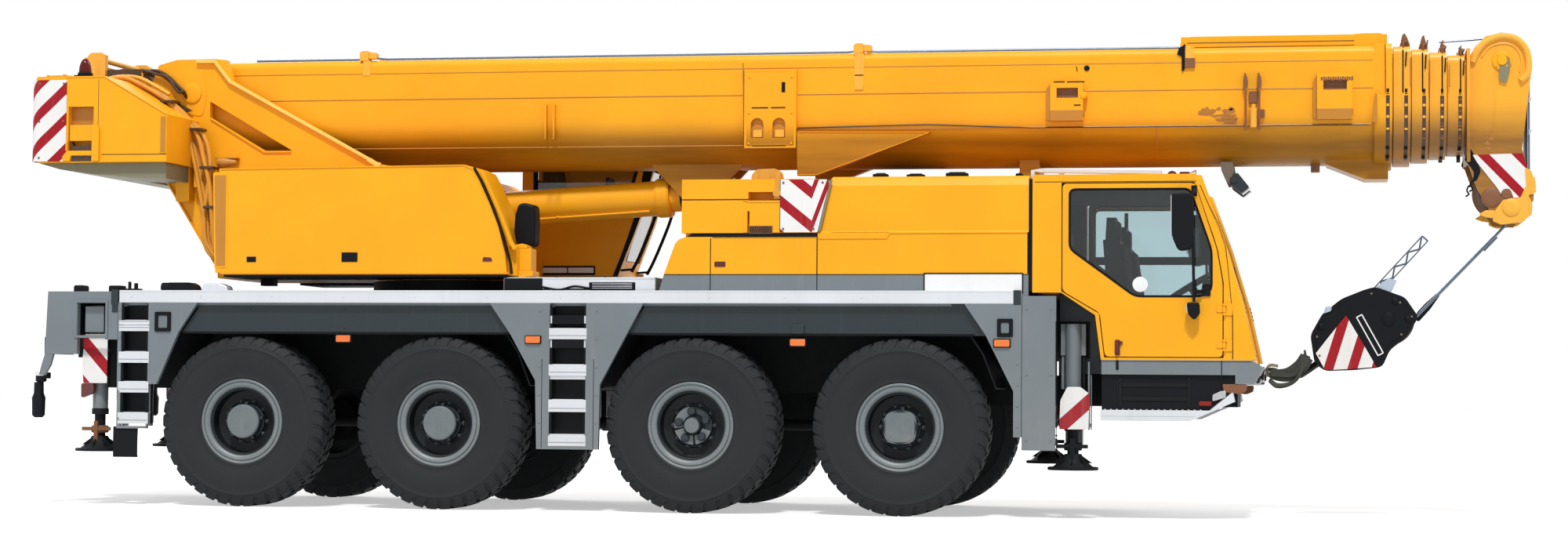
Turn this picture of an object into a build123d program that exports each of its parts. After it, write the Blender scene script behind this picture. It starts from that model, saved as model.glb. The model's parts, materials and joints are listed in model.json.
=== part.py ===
"""Four-axle mobile crane, parked with its telescopic boom over the cab.

Units are millimetres. X points forward and is counted from the rear axle while the pieces are
made, Y points to the vehicle's left and Z up from the ground. When the pieces are written they
move back by half the overall length, so that the origin lies under the middle of the crane.
The crane has a carrier on four steered axles, a superstructure that slews on it, a telescopic
boom of a base and five sections raised by one cylinder, and four outriggers with jacks.
"""

from build123d import *
import math
import os

# ------------------------------------------------------------------ driving sizes
# overall
HALF_WIDTH = 1275
TAIL_REAR_X = -1880
HEAD_FRONT_X = 10160

# fits: a running fit seats a piece on its carrier, a gap keeps moving pieces apart
FIT = 0.4
GAP = 8.0

# wheels and axles, rear axle first
AXLE_SPACINGS = (1650, 2050, 1650)
TYRE_RADIUS = 685
TYRE_WIDTH = 385
TYRE_FACE_Y = HALF_WIDTH - 10
BEAD_RADIUS = 323
RIM_FLANGE_RADIUS = 340
RIM_BARREL_RADIUS = 300
RIM_OPENING_RADIUS = 254
RIM_DISH_DEPTH = 150
HUB_CAP_RADIUS = 138
KINGPIN_OFFSET = 200
KINGPIN_RADIUS = 28
AXLE_BEAM_RADIUS = 85

# carrier frame and deck
FRAME_HALF = 430
FRAME_BOTTOM = 950
FRAME_TOP = 1620
FRAME_REAR_X = -1640
FRAME_FRONT_X = 6030
NOSE_FRONT_X = 7900
NOSE_BOTTOM = 860
NOSE_TOP = 1100
DECK_TOP = 1700
DECK_REAR_X = -1660
DECK_FRONT_X = 6290
DECK_HALF = HALF_WIDTH - 55
RAIL_TOP = 1740
RAIL_BOTTOM = 1640
RAIL_REAR_X = -1050
PANEL_THICK = 40
ARCH_Z = 1400
FENDER_THICK = 22

# outriggers: beam centre line X, which side it slides to, beam centre Z
OUTRIGGER_BEAM_WIDTH = 190
OUTRIGGER_BEAM_HEIGHT = 240
OUTRIGGER_BEAM_WALL = 12
OUTRIGGER_BOX_WALL = 15
OUTRIGGER_BOX_PLAY = 8
OUTRIGGER_BOX_SPACING = 9
OUTRIGGER_BOX_END_Y = HALF_WIDTH - 75
JACK_Y = HALF_WIDTH - 205
JACK_TUBE_RADIUS = 62
JACK_ROD_RADIUS = 44
JACK_PAD_RADIUS = 190

# driver's cab
CAB_HALF = HALF_WIDTH - 25
CAB_WALL = 60
CAB_REAR_X = 6370
CAB_ROOF_Z = 2630
CAB_FLOOR_Z = 1215
BAND_BOTTOM_Z = 1105
SKIRT_BOTTOM_Z = 836
GLASS_THICK = 8

# hoods and carried ballast
HOOD_HALF = HALF_WIDTH - 25
HOOD_WALL = 30
HOOD_REAR_X = 4700
HOOD_FRONT_X = 6340
HOOD_TOP_Z = 2630
HOOD_CREASE_Z = 2190
SKIRT_TOP_Z = 1866
LOCKER_REAR_X = 3430
LOCKER_TOP_Z = 2160
BALLAST_TOP_Z = 2610
BALLAST_REAR_X = 3620
BALLAST_INNER_Y = 620
BALLAST_HALF = HALF_WIDTH - 15
SWEEP_RADIUS = 2470

# superstructure; the boom swings between the side plates
BOOM_HALF = 420
PLATE_INNER_Y = BOOM_HALF + 50
SLEW_X = 1450
RING_RADIUS = 685
RING_SPLIT_Z = 1790
HOUSE_BOTTOM_Z = 1870
BASE_PLATE_TOP_Z = 1950
PLATE_THICK = 60
HOUSING_OUTER_Y = HALF_WIDTH - 75
HOUSING_INNER_Y = 560
TAIL_HALF = HALF_WIDTH - 85
TAIL_TOP_Z = 3500
TAIL_BOTTOM_Z = 2790
TAIL_FRONT_X = -700
TAIL_SLOPE_X = -1250
WINCH_AXIS = (-1420, 3420)
WINCH_HALF = 380
WINCH_DRUM_RADIUS = 165
WINCH_FLANGE_RADIUS = 235

# crane operator's cab
OPCAB_INNER_Y = 580
OPCAB_OUTER_Y = HALF_WIDTH - 60
OPCAB_WALL = 45
OPCAB_REAR_X = 1800
OPCAB_BOTTOM_Z = 1930
OPCAB_ROOF_Z = 3380

# luffing linkage, side view (x, z)
BOOM_PIVOT = (-760, 3420)
CYLINDER_FOOT = (550, 2385)
ROD_EYE = (3500, 2575)
BOOM_PIN_RADIUS = 70
CYLINDER_PIN_RADIUS = 45
BARREL_RADIUS = 145
ROD_RADIUS = 95
LUG_GAP = 130

# boom: top and belly of the base section, then one step in for each section
BOOM_TOP_Z = 3690
BOOM_BELLY_Z = 2780
BOOM_CORNER = 60
BOOM_WALL = 10
BOOM_REAR_X = -930
BOOM_NEST_STEP = 22
BOOM_SECTIONS = 5
SECTION_REAR_X = -440
SECTION_REAR_STEP = 30
COLLAR_GAP = 12
COLLAR_PROUD = 40
COLLAR_PROUD_STEP = 5
COLLAR_SLOT = (26, 62)
# front face X of the base collar and of the collars of sections 1 to 4
COLLAR_FRONTS = (9085, 9225, 9362, 9500, 9638)
BASE_COLLAR_REAR_X = 8950
COLLAR_UPPER_REAR_X = 9040
COLLAR_SPLIT_Z = 3300
COLLAR_SLOT_LEVELS = (2960, 3050, 3140, 3230)
BOOM_FLANGES = ((2280, 3010, 3300), (2350, 3010, 3300), (7955, 3030, 3470), (8060, 3030, 3470))
HEAD_REAR_X = 9655
SHEAVE_RADIUS = 200
ROPE_RADIUS = 11

# ------------------------------------------------------------------ worked out from them
BOX_CENTRE_X = (TAIL_REAR_X + HEAD_FRONT_X) / 2
AXLE_X = [sum(AXLE_SPACINGS[:index]) for index in range(len(AXLE_SPACINGS) + 1)]
WHEEL_Z = TYRE_RADIUS
WHEEL_Y = TYRE_FACE_Y - TYRE_WIDTH / 2
KINGPIN_Y = WHEEL_Y - KINGPIN_OFFSET
SIDES = {"right": -1, "left": 1}

nodes = {}


# ------------------------------------------------------------------ small helpers
def add(name, *shapes):
    """Put the solids of the shapes into the named node."""
    for shape in shapes:
        nodes.setdefault(name, []).extend(shape.solids())


def block(x0, x1, y0, y1, z0, z1):
    """Box between two corners."""
    return Pos(x0, y0, z0) * Box(x1 - x0, y1 - y0, z1 - z0, align=(Align.MIN,) * 3)


def slab(outline, y0, y1):
    """Side-view outline [(x, z), ...] made into a plate from y0 to y1."""
    low, high = min(y0, y1), max(y0, y1)
    face = make_face(Polyline(*[(x, low, z) for x, z in outline], close=True))
    return extrude(face, high - low, dir=(0, 1, 0))


def rod(start, end, radius):
    """Round bar between two points."""
    start, end = Vector(start), Vector(end)
    way = end - start
    bar = Cylinder(radius, way.length, align=(Align.CENTER, Align.CENTER, Align.MIN))
    return Plane(origin=start, z_dir=way) * bar


def cross_bar(point, half, radius):
    """Round bar along Y, centred on the middle plane, at the side-view point (x, z)."""
    x, z = point
    return rod((x, -half, z), (x, half, z), radius)


def lathe_y(profile, x, z):
    """Turn a profile [(radius, y), ...] about the axis along Y through (x, z)."""
    face = make_face(Polyline(*[(x + radius, y, z) for radius, y in profile], close=True))
    return revolve(face, Axis((x, 0, z), (0, 1, 0)), 360)


def mirrored(shape):
    """The same shape on the vehicle's other side."""
    return mirror(shape, about=Plane.XZ)


def on_side(shape, side):
    """A shape made for the left, put on the named side."""
    return shape if side == "left" else mirrored(shape)


def both(shape):
    """The shape made for the left with its mirror image."""
    return [shape, mirrored(shape)]


def slew_sweep(radius, z0, z1):
    """Room that the slewing superstructure needs, as a round bar on the slew axis."""
    return rod((SLEW_X, 0, z0), (SLEW_X, 0, z1), radius)


# ------------------------------------------------------------------ carrier frame
def outrigger_table():
    """Rows: name, side, beam centre X, beam centre Z, foot underside Z."""
    box_width = OUTRIGGER_BEAM_WIDTH + 2 * (OUTRIGGER_BOX_PLAY + OUTRIGGER_BOX_WALL)
    rear_left_x = -1290 - box_width - OUTRIGGER_BOX_SPACING
    return [
        ("front_right", "right", 6670, 1370, 370),
        ("front_left", "left", 6290, 1370, 370),
        ("rear_right", "right", -1290, 1500, 430),
        ("rear_left", "left", rear_left_x, 1500, 430),
    ]


def outrigger_box(side, x, z, grow):
    """Corners of the fixed box around a beam, grown beyond the beam by grow.

    The box ends at the blind side's edge and, on the beam's own side, short of the jack.
    """
    half_w = OUTRIGGER_BEAM_WIDTH / 2 + grow
    half_h = OUTRIGGER_BEAM_HEIGHT / 2 + grow
    mouth = JACK_Y - JACK_TUBE_RADIUS - 15
    y0, y1 = (-OUTRIGGER_BOX_END_Y, mouth) if side == "left" else (-mouth, OUTRIGGER_BOX_END_Y)
    return (x - half_w, x + half_w, y0, y1, z - half_h, z + half_h)


def build_frame():
    spine = block(FRAME_REAR_X, FRAME_FRONT_X, -FRAME_HALF, FRAME_HALF, FRAME_BOTTOM, FRAME_TOP)
    nose = block(FRAME_FRONT_X - 200, NOSE_FRONT_X, -FRAME_HALF, FRAME_HALF, NOSE_BOTTOM, NOSE_TOP)
    frame = spine + nose
    outer = OUTRIGGER_BOX_PLAY + OUTRIGGER_BOX_WALL
    for name, side, x, z, foot in outrigger_table():
        x0, x1, y0, y1, z0, z1 = outrigger_box(side, x, z, outer)
        frame += block(x0, x1, y0, y1, z0, z1)
        low = NOSE_TOP - 20 if x > 0 else FRAME_BOTTOM
        frame += block(x0, x1, -FRAME_HALF, FRAME_HALF, low, z0 + 1)
    for name, side, x, z, foot in outrigger_table():
        x0, x1, y0, y1, z0, z1 = outrigger_box(side, x, z, OUTRIGGER_BOX_PLAY)
        frame -= block(x0, x1, y0 - 10, y1 + 10, z0, z1)
    for name, side, x, z, foot in outrigger_table():
        # wear pads at the box mouth and at its blind end carry the beam
        half_w = OUTRIGGER_BEAM_WIDTH / 2 + OUTRIGGER_BOX_PLAY
        half_h = OUTRIGGER_BEAM_HEIGHT / 2
        sign = SIDES[side]
        for y in (sign * 910, -sign * 820):
            for low, high in (
                (z - half_h - OUTRIGGER_BOX_PLAY - 1, z - half_h - FIT),
                (z + half_h + FIT, z + half_h + OUTRIGGER_BOX_PLAY + 1),
            ):
                frame += block(x - half_w, x + half_w, y - 70, y + 70, low, high)
    # brackets for the suspension struts
    for x in AXLE_X:
        for sign in (-1, 1):
            inner, outer_y = sorted((sign * (FRAME_HALF - 10), sign * (FRAME_HALF + 230)))
            frame += block(x - 70, x + 70, inner, outer_y, 1200, 1390)
    # slew ring seat on the deck
    frame += rod((SLEW_X, 0, FRAME_TOP - 5), (SLEW_X, 0, RING_SPLIT_Z), RING_RADIUS)
    # drawbar eye at the rear
    eye = block(FRAME_REAR_X - 190, FRAME_REAR_X + 5, -90, 90, 960, 1090)
    eye -= rod((FRAME_REAR_X - 110, 0, 940), (FRAME_REAR_X - 110, 0, 1110), 26)
    frame += eye
    add("chassis_frame", frame)


def build_deck():
    deck = block(RAIL_REAR_X, DECK_FRONT_X, -DECK_HALF, DECK_HALF, FRAME_TOP, DECK_TOP)
    deck += block(DECK_REAR_X, RAIL_REAR_X + 5, -DECK_HALF, DECK_HALF, 1650, DECK_TOP)
    deck -= rod((SLEW_X, 0, FRAME_TOP - 10), (SLEW_X, 0, DECK_TOP + 10), RING_RADIUS + 2)
    rail = block(RAIL_REAR_X, DECK_FRONT_X, DECK_HALF, HALF_WIDTH, RAIL_BOTTOM, RAIL_TOP)
    add("edge_rails", *both(rail))
    # low white box and hatches that stand on the deck in front of the slew ring
    for box in both(block(2160, 3400, 700, DECK_HALF - 30, DECK_TOP - 5, 1842)):
        deck += box
    add("deck_plate", deck)


def build_side_panels():
    """Grey posts between the wheel arches, made for the left side."""
    outer, inner = HALF_WIDTH, HALF_WIDTH - PANEL_THICK
    first, second, third, fourth = AXLE_X
    rear_post = slab(
        [
            (-1060, RAIL_BOTTOM),
            (first - 380, RAIL_BOTTOM),
            (first - 540, ARCH_Z),
            (first - 720, 980),
            (first - 800, 980),
            (first - 800, 620),
            (-1060, 620),
        ],
        inner,
        outer,
    )
    rear_post -= block(-1030, first - 800, inner - 5, outer + 5, 640, RAIL_BOTTOM + 5)
    centre_post = slab(
        [
            (second + 420, RAIL_BOTTOM),
            (third - 380, RAIL_BOTTOM),
            (third - 510, ARCH_Z),
            (third - 725, 1000),
            (third - 733, 490),
            (second + 815, 490),
            (second + 800, 1030),
            (second + 590, ARCH_Z),
        ],
        inner,
        outer,
    )
    centre_post -= block(2565, 2860, inner - 5, outer + 5, 520, RAIL_BOTTOM + 5)
    for piece in (rear_post, centre_post):
        add("side_panels", *both(piece))
    # the front post, the cover plate and the rear corner leave room for that side's outrigger
    for name, side, x, z, foot in outrigger_table():
        room_top = z + OUTRIGGER_BEAM_HEIGHT / 2 + 15
        room = block(x - 120, x + 120, outer - 75, outer + 5, 300, room_top)
        if name.startswith("front"):
            front_post = slab(
                [
                    (fourth + 500, RAIL_BOTTOM),
                    (DECK_FRONT_X, RAIL_BOTTOM),
                    (DECK_FRONT_X, 620),
                    (fourth + 880, 620),
                    (fourth + 880, 970),
                    (fourth + 665, ARCH_Z),
                ],
                inner,
                outer,
            )
            cover = block(DECK_FRONT_X + 3, 6555, inner, outer - 5, 520, DECK_TOP)
            pieces = [front_post - room, cover - room]
        else:
            corner = slab(
                [
                    (-1670, 1730),
                    (-1063, 1730),
                    (-1063, 1340),
                    (-1370, 1340),
                    (-1390, 1220),
                    (-1690, 1220),
                ],
                DECK_HALF + FIT,
                outer,
            )
            pieces = [corner - room]
        for piece in pieces:
            add("side_panels", on_side(piece, side))


def build_fenders():
    """Recessed slate panels over the wheels with the shelves behind them."""
    pairs = ((AXLE_X[0], AXLE_X[1]), (AXLE_X[2], AXLE_X[3]))
    for rear, front in pairs:
        panel = slab(
            [
                (rear - 375, FRAME_TOP),
                (front + 415, FRAME_TOP),
                (front + 580, ARCH_Z),
                (rear - 530, ARCH_Z),
            ],
            HALF_WIDTH - 80,
            HALF_WIDTH - 50,
        )
        shelf = block(
            rear - 530,
            front + 580,
            FRAME_HALF + 2,
            HALF_WIDTH - 75,
            ARCH_Z,
            ARCH_Z + FENDER_THICK,
        )
        add("fenders", *both(panel + shelf))


def build_ladders():
    """Side ladders: rungs between two stiles, made for the left side."""
    for x0, x1, bottom, tops in (
        (-1026, -804, 640, (725, 985, 1235, 1470)),
        (2569, 2856, 524, (610, 850, 1100, 1350, 1540)),
    ):
        back, front, top_z = HALF_WIDTH - 145, HALF_WIDTH - 13, FRAME_TOP - FIT
        ladder = block(x0, x0 + 12, back, front, bottom, top_z)
        ladder += block(x1 - 12, x1, back, front, bottom, top_z)
        for top in tops:
            ladder += block(x0, x1, back - 10, front + 4, top - 60, top)
        add("ladders", *both(ladder))


def build_axles():
    """Driven axle beams with differentials, kingpin yokes, struts and propeller shafts."""
    line = None
    yoke_x = 35
    for x in AXLE_X:
        beam = rod((x, -KINGPIN_Y + 60, WHEEL_Z), (x, KINGPIN_Y - 60, WHEEL_Z), AXLE_BEAM_RADIUS)
        diff = lathe_y(
            [(0, -230), (95, -230), (205, -90), (205, 90), (95, 230), (0, 230)], x, WHEEL_Z
        )
        axle = beam + diff + rod((x - 260, 0, WHEEL_Z), (x + 260, 0, WHEEL_Z), 75)
        for sign in (-1, 1):
            web = (sign * (KINGPIN_Y - 100), sign * (KINGPIN_Y - 60))
            axle += block(x - yoke_x, x + yoke_x, min(web), max(web), WHEEL_Z - 195, WHEEL_Z + 195)
            ear = (sign * (KINGPIN_Y - 100), sign * KINGPIN_Y)
            for z0, z1 in ((WHEEL_Z + 155, WHEEL_Z + 195), (WHEEL_Z - 195, WHEEL_Z - 155)):
                axle += block(x - 45, x + 45, min(ear), max(ear), z0, z1)
                axle += rod((x, sign * KINGPIN_Y, z0), (x, sign * KINGPIN_Y, z1), 45)
                bore = KINGPIN_RADIUS + FIT
                axle -= rod((x, sign * KINGPIN_Y, z0 - 1), (x, sign * KINGPIN_Y, z1 + 1), bore)
            strut_y = sign * 580
            axle += rod((x, strut_y, WHEEL_Z), (x, strut_y, 1200), 52)
        line = axle if line is None else line + axle
    line += rod((AXLE_X[0], 0, WHEEL_Z), (AXLE_X[-1], 0, WHEEL_Z), 45)
    add("axles", line)


# ------------------------------------------------------------------ wheels
def build_wheels():
    """One wheel and one knuckle for each end of each axle; axle 1 is the front one."""
    half = TYRE_WIDTH / 2
    y = WHEEL_Y
    tyre_profile = [
        (BEAD_RADIUS, y - 150),
        (BEAD_RADIUS + 40, y - 172),
        (TYRE_RADIUS - 180, y - half),
        (TYRE_RADIUS - 90, y - half + 6),
        (TYRE_RADIUS - 22, y - half + 24),
        (TYRE_RADIUS, y - half + 52),
        (TYRE_RADIUS, y + half - 52),
        (TYRE_RADIUS - 22, y + half - 24),
        (TYRE_RADIUS - 90, y + half - 6),
        (TYRE_RADIUS - 180, y + half),
        (BEAD_RADIUS + 40, y + 172),
        (BEAD_RADIUS, y + 150),
    ]
    dish_y = y + 168 - RIM_DISH_DEPTH
    barrel = RIM_BARREL_RADIUS
    rim_profile = [
        (barrel, y - 168),
        (RIM_FLANGE_RADIUS, y - 168),
        (RIM_FLANGE_RADIUS, y - 151),
        (BEAD_RADIUS - FIT, y - 151 + 0.6),
        (barrel + 13, y - 110),
        (barrel + 13, y + 110),
        (BEAD_RADIUS - FIT, y + 151 - 0.6),
        (RIM_FLANGE_RADIUS, y + 151),
        (RIM_FLANGE_RADIUS, y + 168),
        (barrel - 8, y + 168),
        (RIM_OPENING_RADIUS, y + 135),
        (RIM_OPENING_RADIUS - 6, dish_y + 16),
        (175, dish_y + 16),
        (160, dish_y + 60),
        (HUB_CAP_RADIUS, dish_y + 66),
        (HUB_CAP_RADIUS - 6, y + 150),
        (HUB_CAP_RADIUS - 50, y + 162),
        (0, y + 162),
        (0, y + 120),
        (40 + FIT, y + 120),
        (40 + FIT, y - 60),
        (95, y - 60),
        (95, dish_y),
        (barrel, dish_y),
    ]
    for index, x in enumerate(reversed(AXLE_X)):
        tyre = lathe_y(tyre_profile, x, WHEEL_Z)
        rim = lathe_y(rim_profile, x, WHEEL_Z)
        for hole in range(8):
            angle = math.radians(hole * 45 + 22.5)
            hole_x = x + 215 * math.cos(angle)
            hole_z = WHEEL_Z + 215 * math.sin(angle)
            rim -= rod((hole_x, dish_y - 10, hole_z), (hole_x, dish_y + 30, hole_z), 30)
        block_half = 150
        pin_half = 200
        knuckle = rod(
            (x, KINGPIN_Y, WHEEL_Z - block_half), (x, KINGPIN_Y, WHEEL_Z + block_half), 48
        )
        knuckle += rod(
            (x, KINGPIN_Y, WHEEL_Z - pin_half), (x, KINGPIN_Y, WHEEL_Z + pin_half), KINGPIN_RADIUS
        )
        knuckle += rod((x, KINGPIN_Y, WHEEL_Z), (x, y + 110, WHEEL_Z), 40)
        knuckle += rod((x, KINGPIN_Y + 70, WHEEL_Z), (x, KINGPIN_Y + 95, WHEEL_Z), 195)
        knuckle += block(
            x - 240, x, KINGPIN_Y - 30, KINGPIN_Y + 5, WHEEL_Z - 135, WHEEL_Z - 105
        )
        for side in SIDES:
            add(f"wheel_{index + 1}_{side}", on_side(tyre, side), on_side(rim, side))
            add(f"knuckle_{index + 1}_{side}", on_side(knuckle, side))


# ------------------------------------------------------------------ outriggers
def build_outriggers():
    for name, side, x, z, foot in outrigger_table():
        half_w = OUTRIGGER_BEAM_WIDTH / 2
        half_h = OUTRIGGER_BEAM_HEIGHT / 2
        inner_end = -OUTRIGGER_BOX_END_Y + 10
        jack_y = JACK_Y
        tube_bottom = foot + 300
        beam = block(x - half_w, x + half_w, inner_end, jack_y, z - half_h, z + half_h)
        wall = OUTRIGGER_BEAM_WALL
        beam -= block(
            x - half_w + wall,
            x + half_w - wall,
            inner_end - 5,
            jack_y - 120,
            z - half_h + wall,
            z + half_h - wall,
        )
        beam += rod((x, jack_y, tube_bottom), (x, jack_y, z + half_h), JACK_TUBE_RADIUS)
        bore = JACK_ROD_RADIUS + FIT
        beam -= rod((x, jack_y, tube_bottom - 5), (x, jack_y, z + half_h - wall), bore)
        jack = rod((x, jack_y, foot + 60), (x, jack_y, z + half_h - 40), JACK_ROD_RADIUS)
        standing = (Align.CENTER, Align.CENTER, Align.MIN)
        neck = Cone(JACK_PAD_RADIUS * 0.55, JACK_ROD_RADIUS + 20, 70, align=standing)
        pad = Cone(JACK_PAD_RADIUS, JACK_PAD_RADIUS * 0.62, 56, align=standing)
        jack += Pos(x, jack_y, foot + 55) * neck
        jack += Pos(x, jack_y, foot) * pad
        add(f"outrigger_beam_{name}", on_side(beam, side))
        add(f"outrigger_jack_{name}", on_side(jack, side))


# ------------------------------------------------------------------ driver's cab
# side outline of the cab, from the rear foot round over the roof
CAB_OUTLINE = [
    (CAB_REAR_X, 1727),
    (CAB_REAR_X, CAB_ROOF_Z),
    (7610, CAB_ROOF_Z),
    (7780, 2160),
    (7930, 1660),
    (8030, CAB_FLOOR_Z),
    (6895, CAB_FLOOR_Z),
    (6850, 1555),
    (6590, 1727),
]
CAB_INSIDE = [
    (CAB_REAR_X + CAB_WALL, 1787),
    (CAB_REAR_X + CAB_WALL, CAB_ROOF_Z - CAB_WALL),
    (7568, CAB_ROOF_Z - CAB_WALL),
    (7722, 2142),
    (7870, 1648),
    (7954, CAB_FLOOR_Z + CAB_WALL),
    (6950, CAB_FLOOR_Z + CAB_WALL),
    (6905, 1592),
    (6608, 1787),
]
DOOR_OUTLINE = [
    (6600, 1740),
    (6600, 2560),
    (7600, 2560),
    (7765, 2060),
    (7810, 1800),
    (7810, 1240),
    (6925, 1240),
    (6885, 1572),
]
DOOR_WINDOW = [
    (6660, 2060),
    (6660, 2512),
    (7560, 2512),
    (7722, 2040),
    (7722, 1755),
    (7640, 1700),
    (7150, 1700),
]
DOOR_HINGE_X = 7822
DOOR_HINGE_PROUD = 13
DOOR_HINGE_Z = (1330, 1600)
HINGE_KNUCKLE_RADIUS = 11.5
HINGE_PIN_RADIUS = 6
WINDSCREEN_Z = (1750, 2545)
WINDSCREEN_HALF = 1150


def grown_slab(outline, amount, y0, y1):
    """Slab of the outline offset by amount in its own plane."""
    low, high = min(y0, y1), max(y0, y1)
    face = make_face(Polyline(*[(x, z) for x, z in outline], close=True))
    if amount:
        face = offset(face, amount, kind=Kind.INTERSECTION)
    plate = extrude(face, high - low)
    # the sketch plane XY becomes the side view XZ
    return Pos(0, high, 0) * Rot(90, 0, 0) * plate


def build_cab():
    inner_y = CAB_HALF - CAB_WALL
    shell = slab(CAB_OUTLINE, -CAB_HALF, CAB_HALF) - slab(CAB_INSIDE, -inner_y, inner_y)
    for sign in (-1, 1):
        shell -= grown_slab(DOOR_OUTLINE, GAP, sign * (inner_y - 5), sign * (CAB_HALF + 5))
    low, high = WINDSCREEN_Z
    shell -= block(7500, 8100, -WINDSCREEN_HALF, WINDSCREEN_HALF, low, high)
    # hinge knuckles outside the front pillars, with the pins the doors turn on
    hinge_y = CAB_HALF + DOOR_HINGE_PROUD
    radius = HINGE_KNUCKLE_RADIUS
    for z in DOOR_HINGE_Z:
        plate = block(
            DOOR_HINGE_X, DOOR_HINGE_X + 60, CAB_HALF - 2, CAB_HALF + 9, z - 44, z + 44
        )
        knuckle = rod((DOOR_HINGE_X, hinge_y, z - 44), (DOOR_HINGE_X, hinge_y, z + 44), radius)
        hinge = plate + knuckle
        hinge -= block(
            DOOR_HINGE_X - 20, DOOR_HINGE_X + 20, CAB_HALF, CAB_HALF + 50, z - 26, z + 26
        )
        pin_ends = [(DOOR_HINGE_X, hinge_y, z + offset) for offset in (-40, 40)]
        hinge += rod(*pin_ends, HINGE_PIN_RADIUS)
        for piece in both(hinge):
            shell += piece
    add("cab_shell", shell)

    inset = 22
    pane = grown_slab(CAB_OUTLINE, -inset, -WINDSCREEN_HALF + FIT, WINDSCREEN_HALF - FIT)
    pane -= grown_slab(CAB_OUTLINE, -inset - GLASS_THICK, -CAB_HALF, CAB_HALF)
    pane &= block(7500, 8100, -CAB_HALF, CAB_HALF, low + FIT, high - FIT)
    add("cab_windscreen", pane)

    for side in SIDES:
        door = slab(DOOR_OUTLINE, inner_y, CAB_HALF)
        door -= slab(DOOR_WINDOW, inner_y - 5, CAB_HALF + 5)
        for z in DOOR_HINGE_Z:
            low_z, high_z = z - 22, z + 22
            leaf = block(
                DOOR_HINGE_X - 60, DOOR_HINGE_X, CAB_HALF - 2, CAB_HALF + 9, low_z, high_z
            )
            leaf -= block(
                DOOR_HINGE_X - 8, DOOR_HINGE_X + 5, CAB_HALF - 5, CAB_HALF + 2, z - 30, z + 30
            )
            knuckle_ends = [(DOOR_HINGE_X, hinge_y, level) for level in (low_z, high_z)]
            leaf += rod(*knuckle_ends, radius)
            bore = HINGE_PIN_RADIUS + FIT
            leaf -= rod((DOOR_HINGE_X, hinge_y, z - 30), (DOOR_HINGE_X, hinge_y, z + 30), bore)
            door += leaf
        add(f"{side}_door", on_side(door, side))
        glass = grown_slab(DOOR_WINDOW, -FIT, inner_y + 26, inner_y + 26 + GLASS_THICK)
        add(f"{side}_door", on_side(glass, side))


def build_cab_inside():
    floor = CAB_FLOOR_Z + CAB_WALL
    for y in (-640, 640):
        seat = block(7080, 7480, y - 150, y + 150, floor, 1480)
        seat += block(7010, 7520, y - 250, y + 250, 1480, 1610)
        seat += slab([(6920, 1615), (7080, 1615), (7010, 2150), (6880, 2150)], y - 240, y + 240)
        seat += block(6930, 7090, y - 240, y + 240, 1605, 1650)
        seat += slab([(6890, 2145), (6980, 2145), (6970, 2330), (6900, 2330)], y - 120, y + 120)
        add("cab_interior", seat)
    dash_outline = [(7640, floor), (7900, floor), (7830, 1640), (7740, 1740), (7560, 1640)]
    dash = slab(dash_outline, -1100, 1100)
    column = rod((7640, 640, 1600), (7490, 640, 1850), 35)
    steering = Plane(origin=(7490, 640, 1850), z_dir=(-150, 0, 250))
    wheel = steering * Torus(205, 17)
    spokes = steering * Box(50, 410, 20)
    add("cab_interior", dash + column + wheel + spokes)


def build_cab_base():
    band = slab(
        [(6900, BAND_BOTTOM_Z), (6900, CAB_FLOOR_Z - FIT), (8030, CAB_FLOOR_Z - FIT), (8110, 1160)]
        + [(8050, 1040), (7905, 1040), (7905, BAND_BOTTOM_Z)],
        -CAB_HALF,
        CAB_HALF,
    )
    add("front_bumper", band)
    skirt = None
    for piece in both(
        slab(
            [(6900, BAND_BOTTOM_Z), (7900, BAND_BOTTOM_Z), (7900, 1000), (7700, SKIRT_BOTTOM_Z)]
            + [(6900, SKIRT_BOTTOM_Z)],
            FRAME_HALF,
            CAB_HALF - 25,
        )
    ):
        add("cab_skirt", piece)
    step = slab(
        [
            (6890, SKIRT_BOTTOM_Z - FIT),
            (6890, 752),
            (7560, 752),
            (7900, 905),
            (7885, 975),
            (7715, SKIRT_BOTTOM_Z - FIT),
        ],
        CAB_HALF - 200,
        CAB_HALF,
    )
    for piece in both(step):
        add("ladders", piece)


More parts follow.
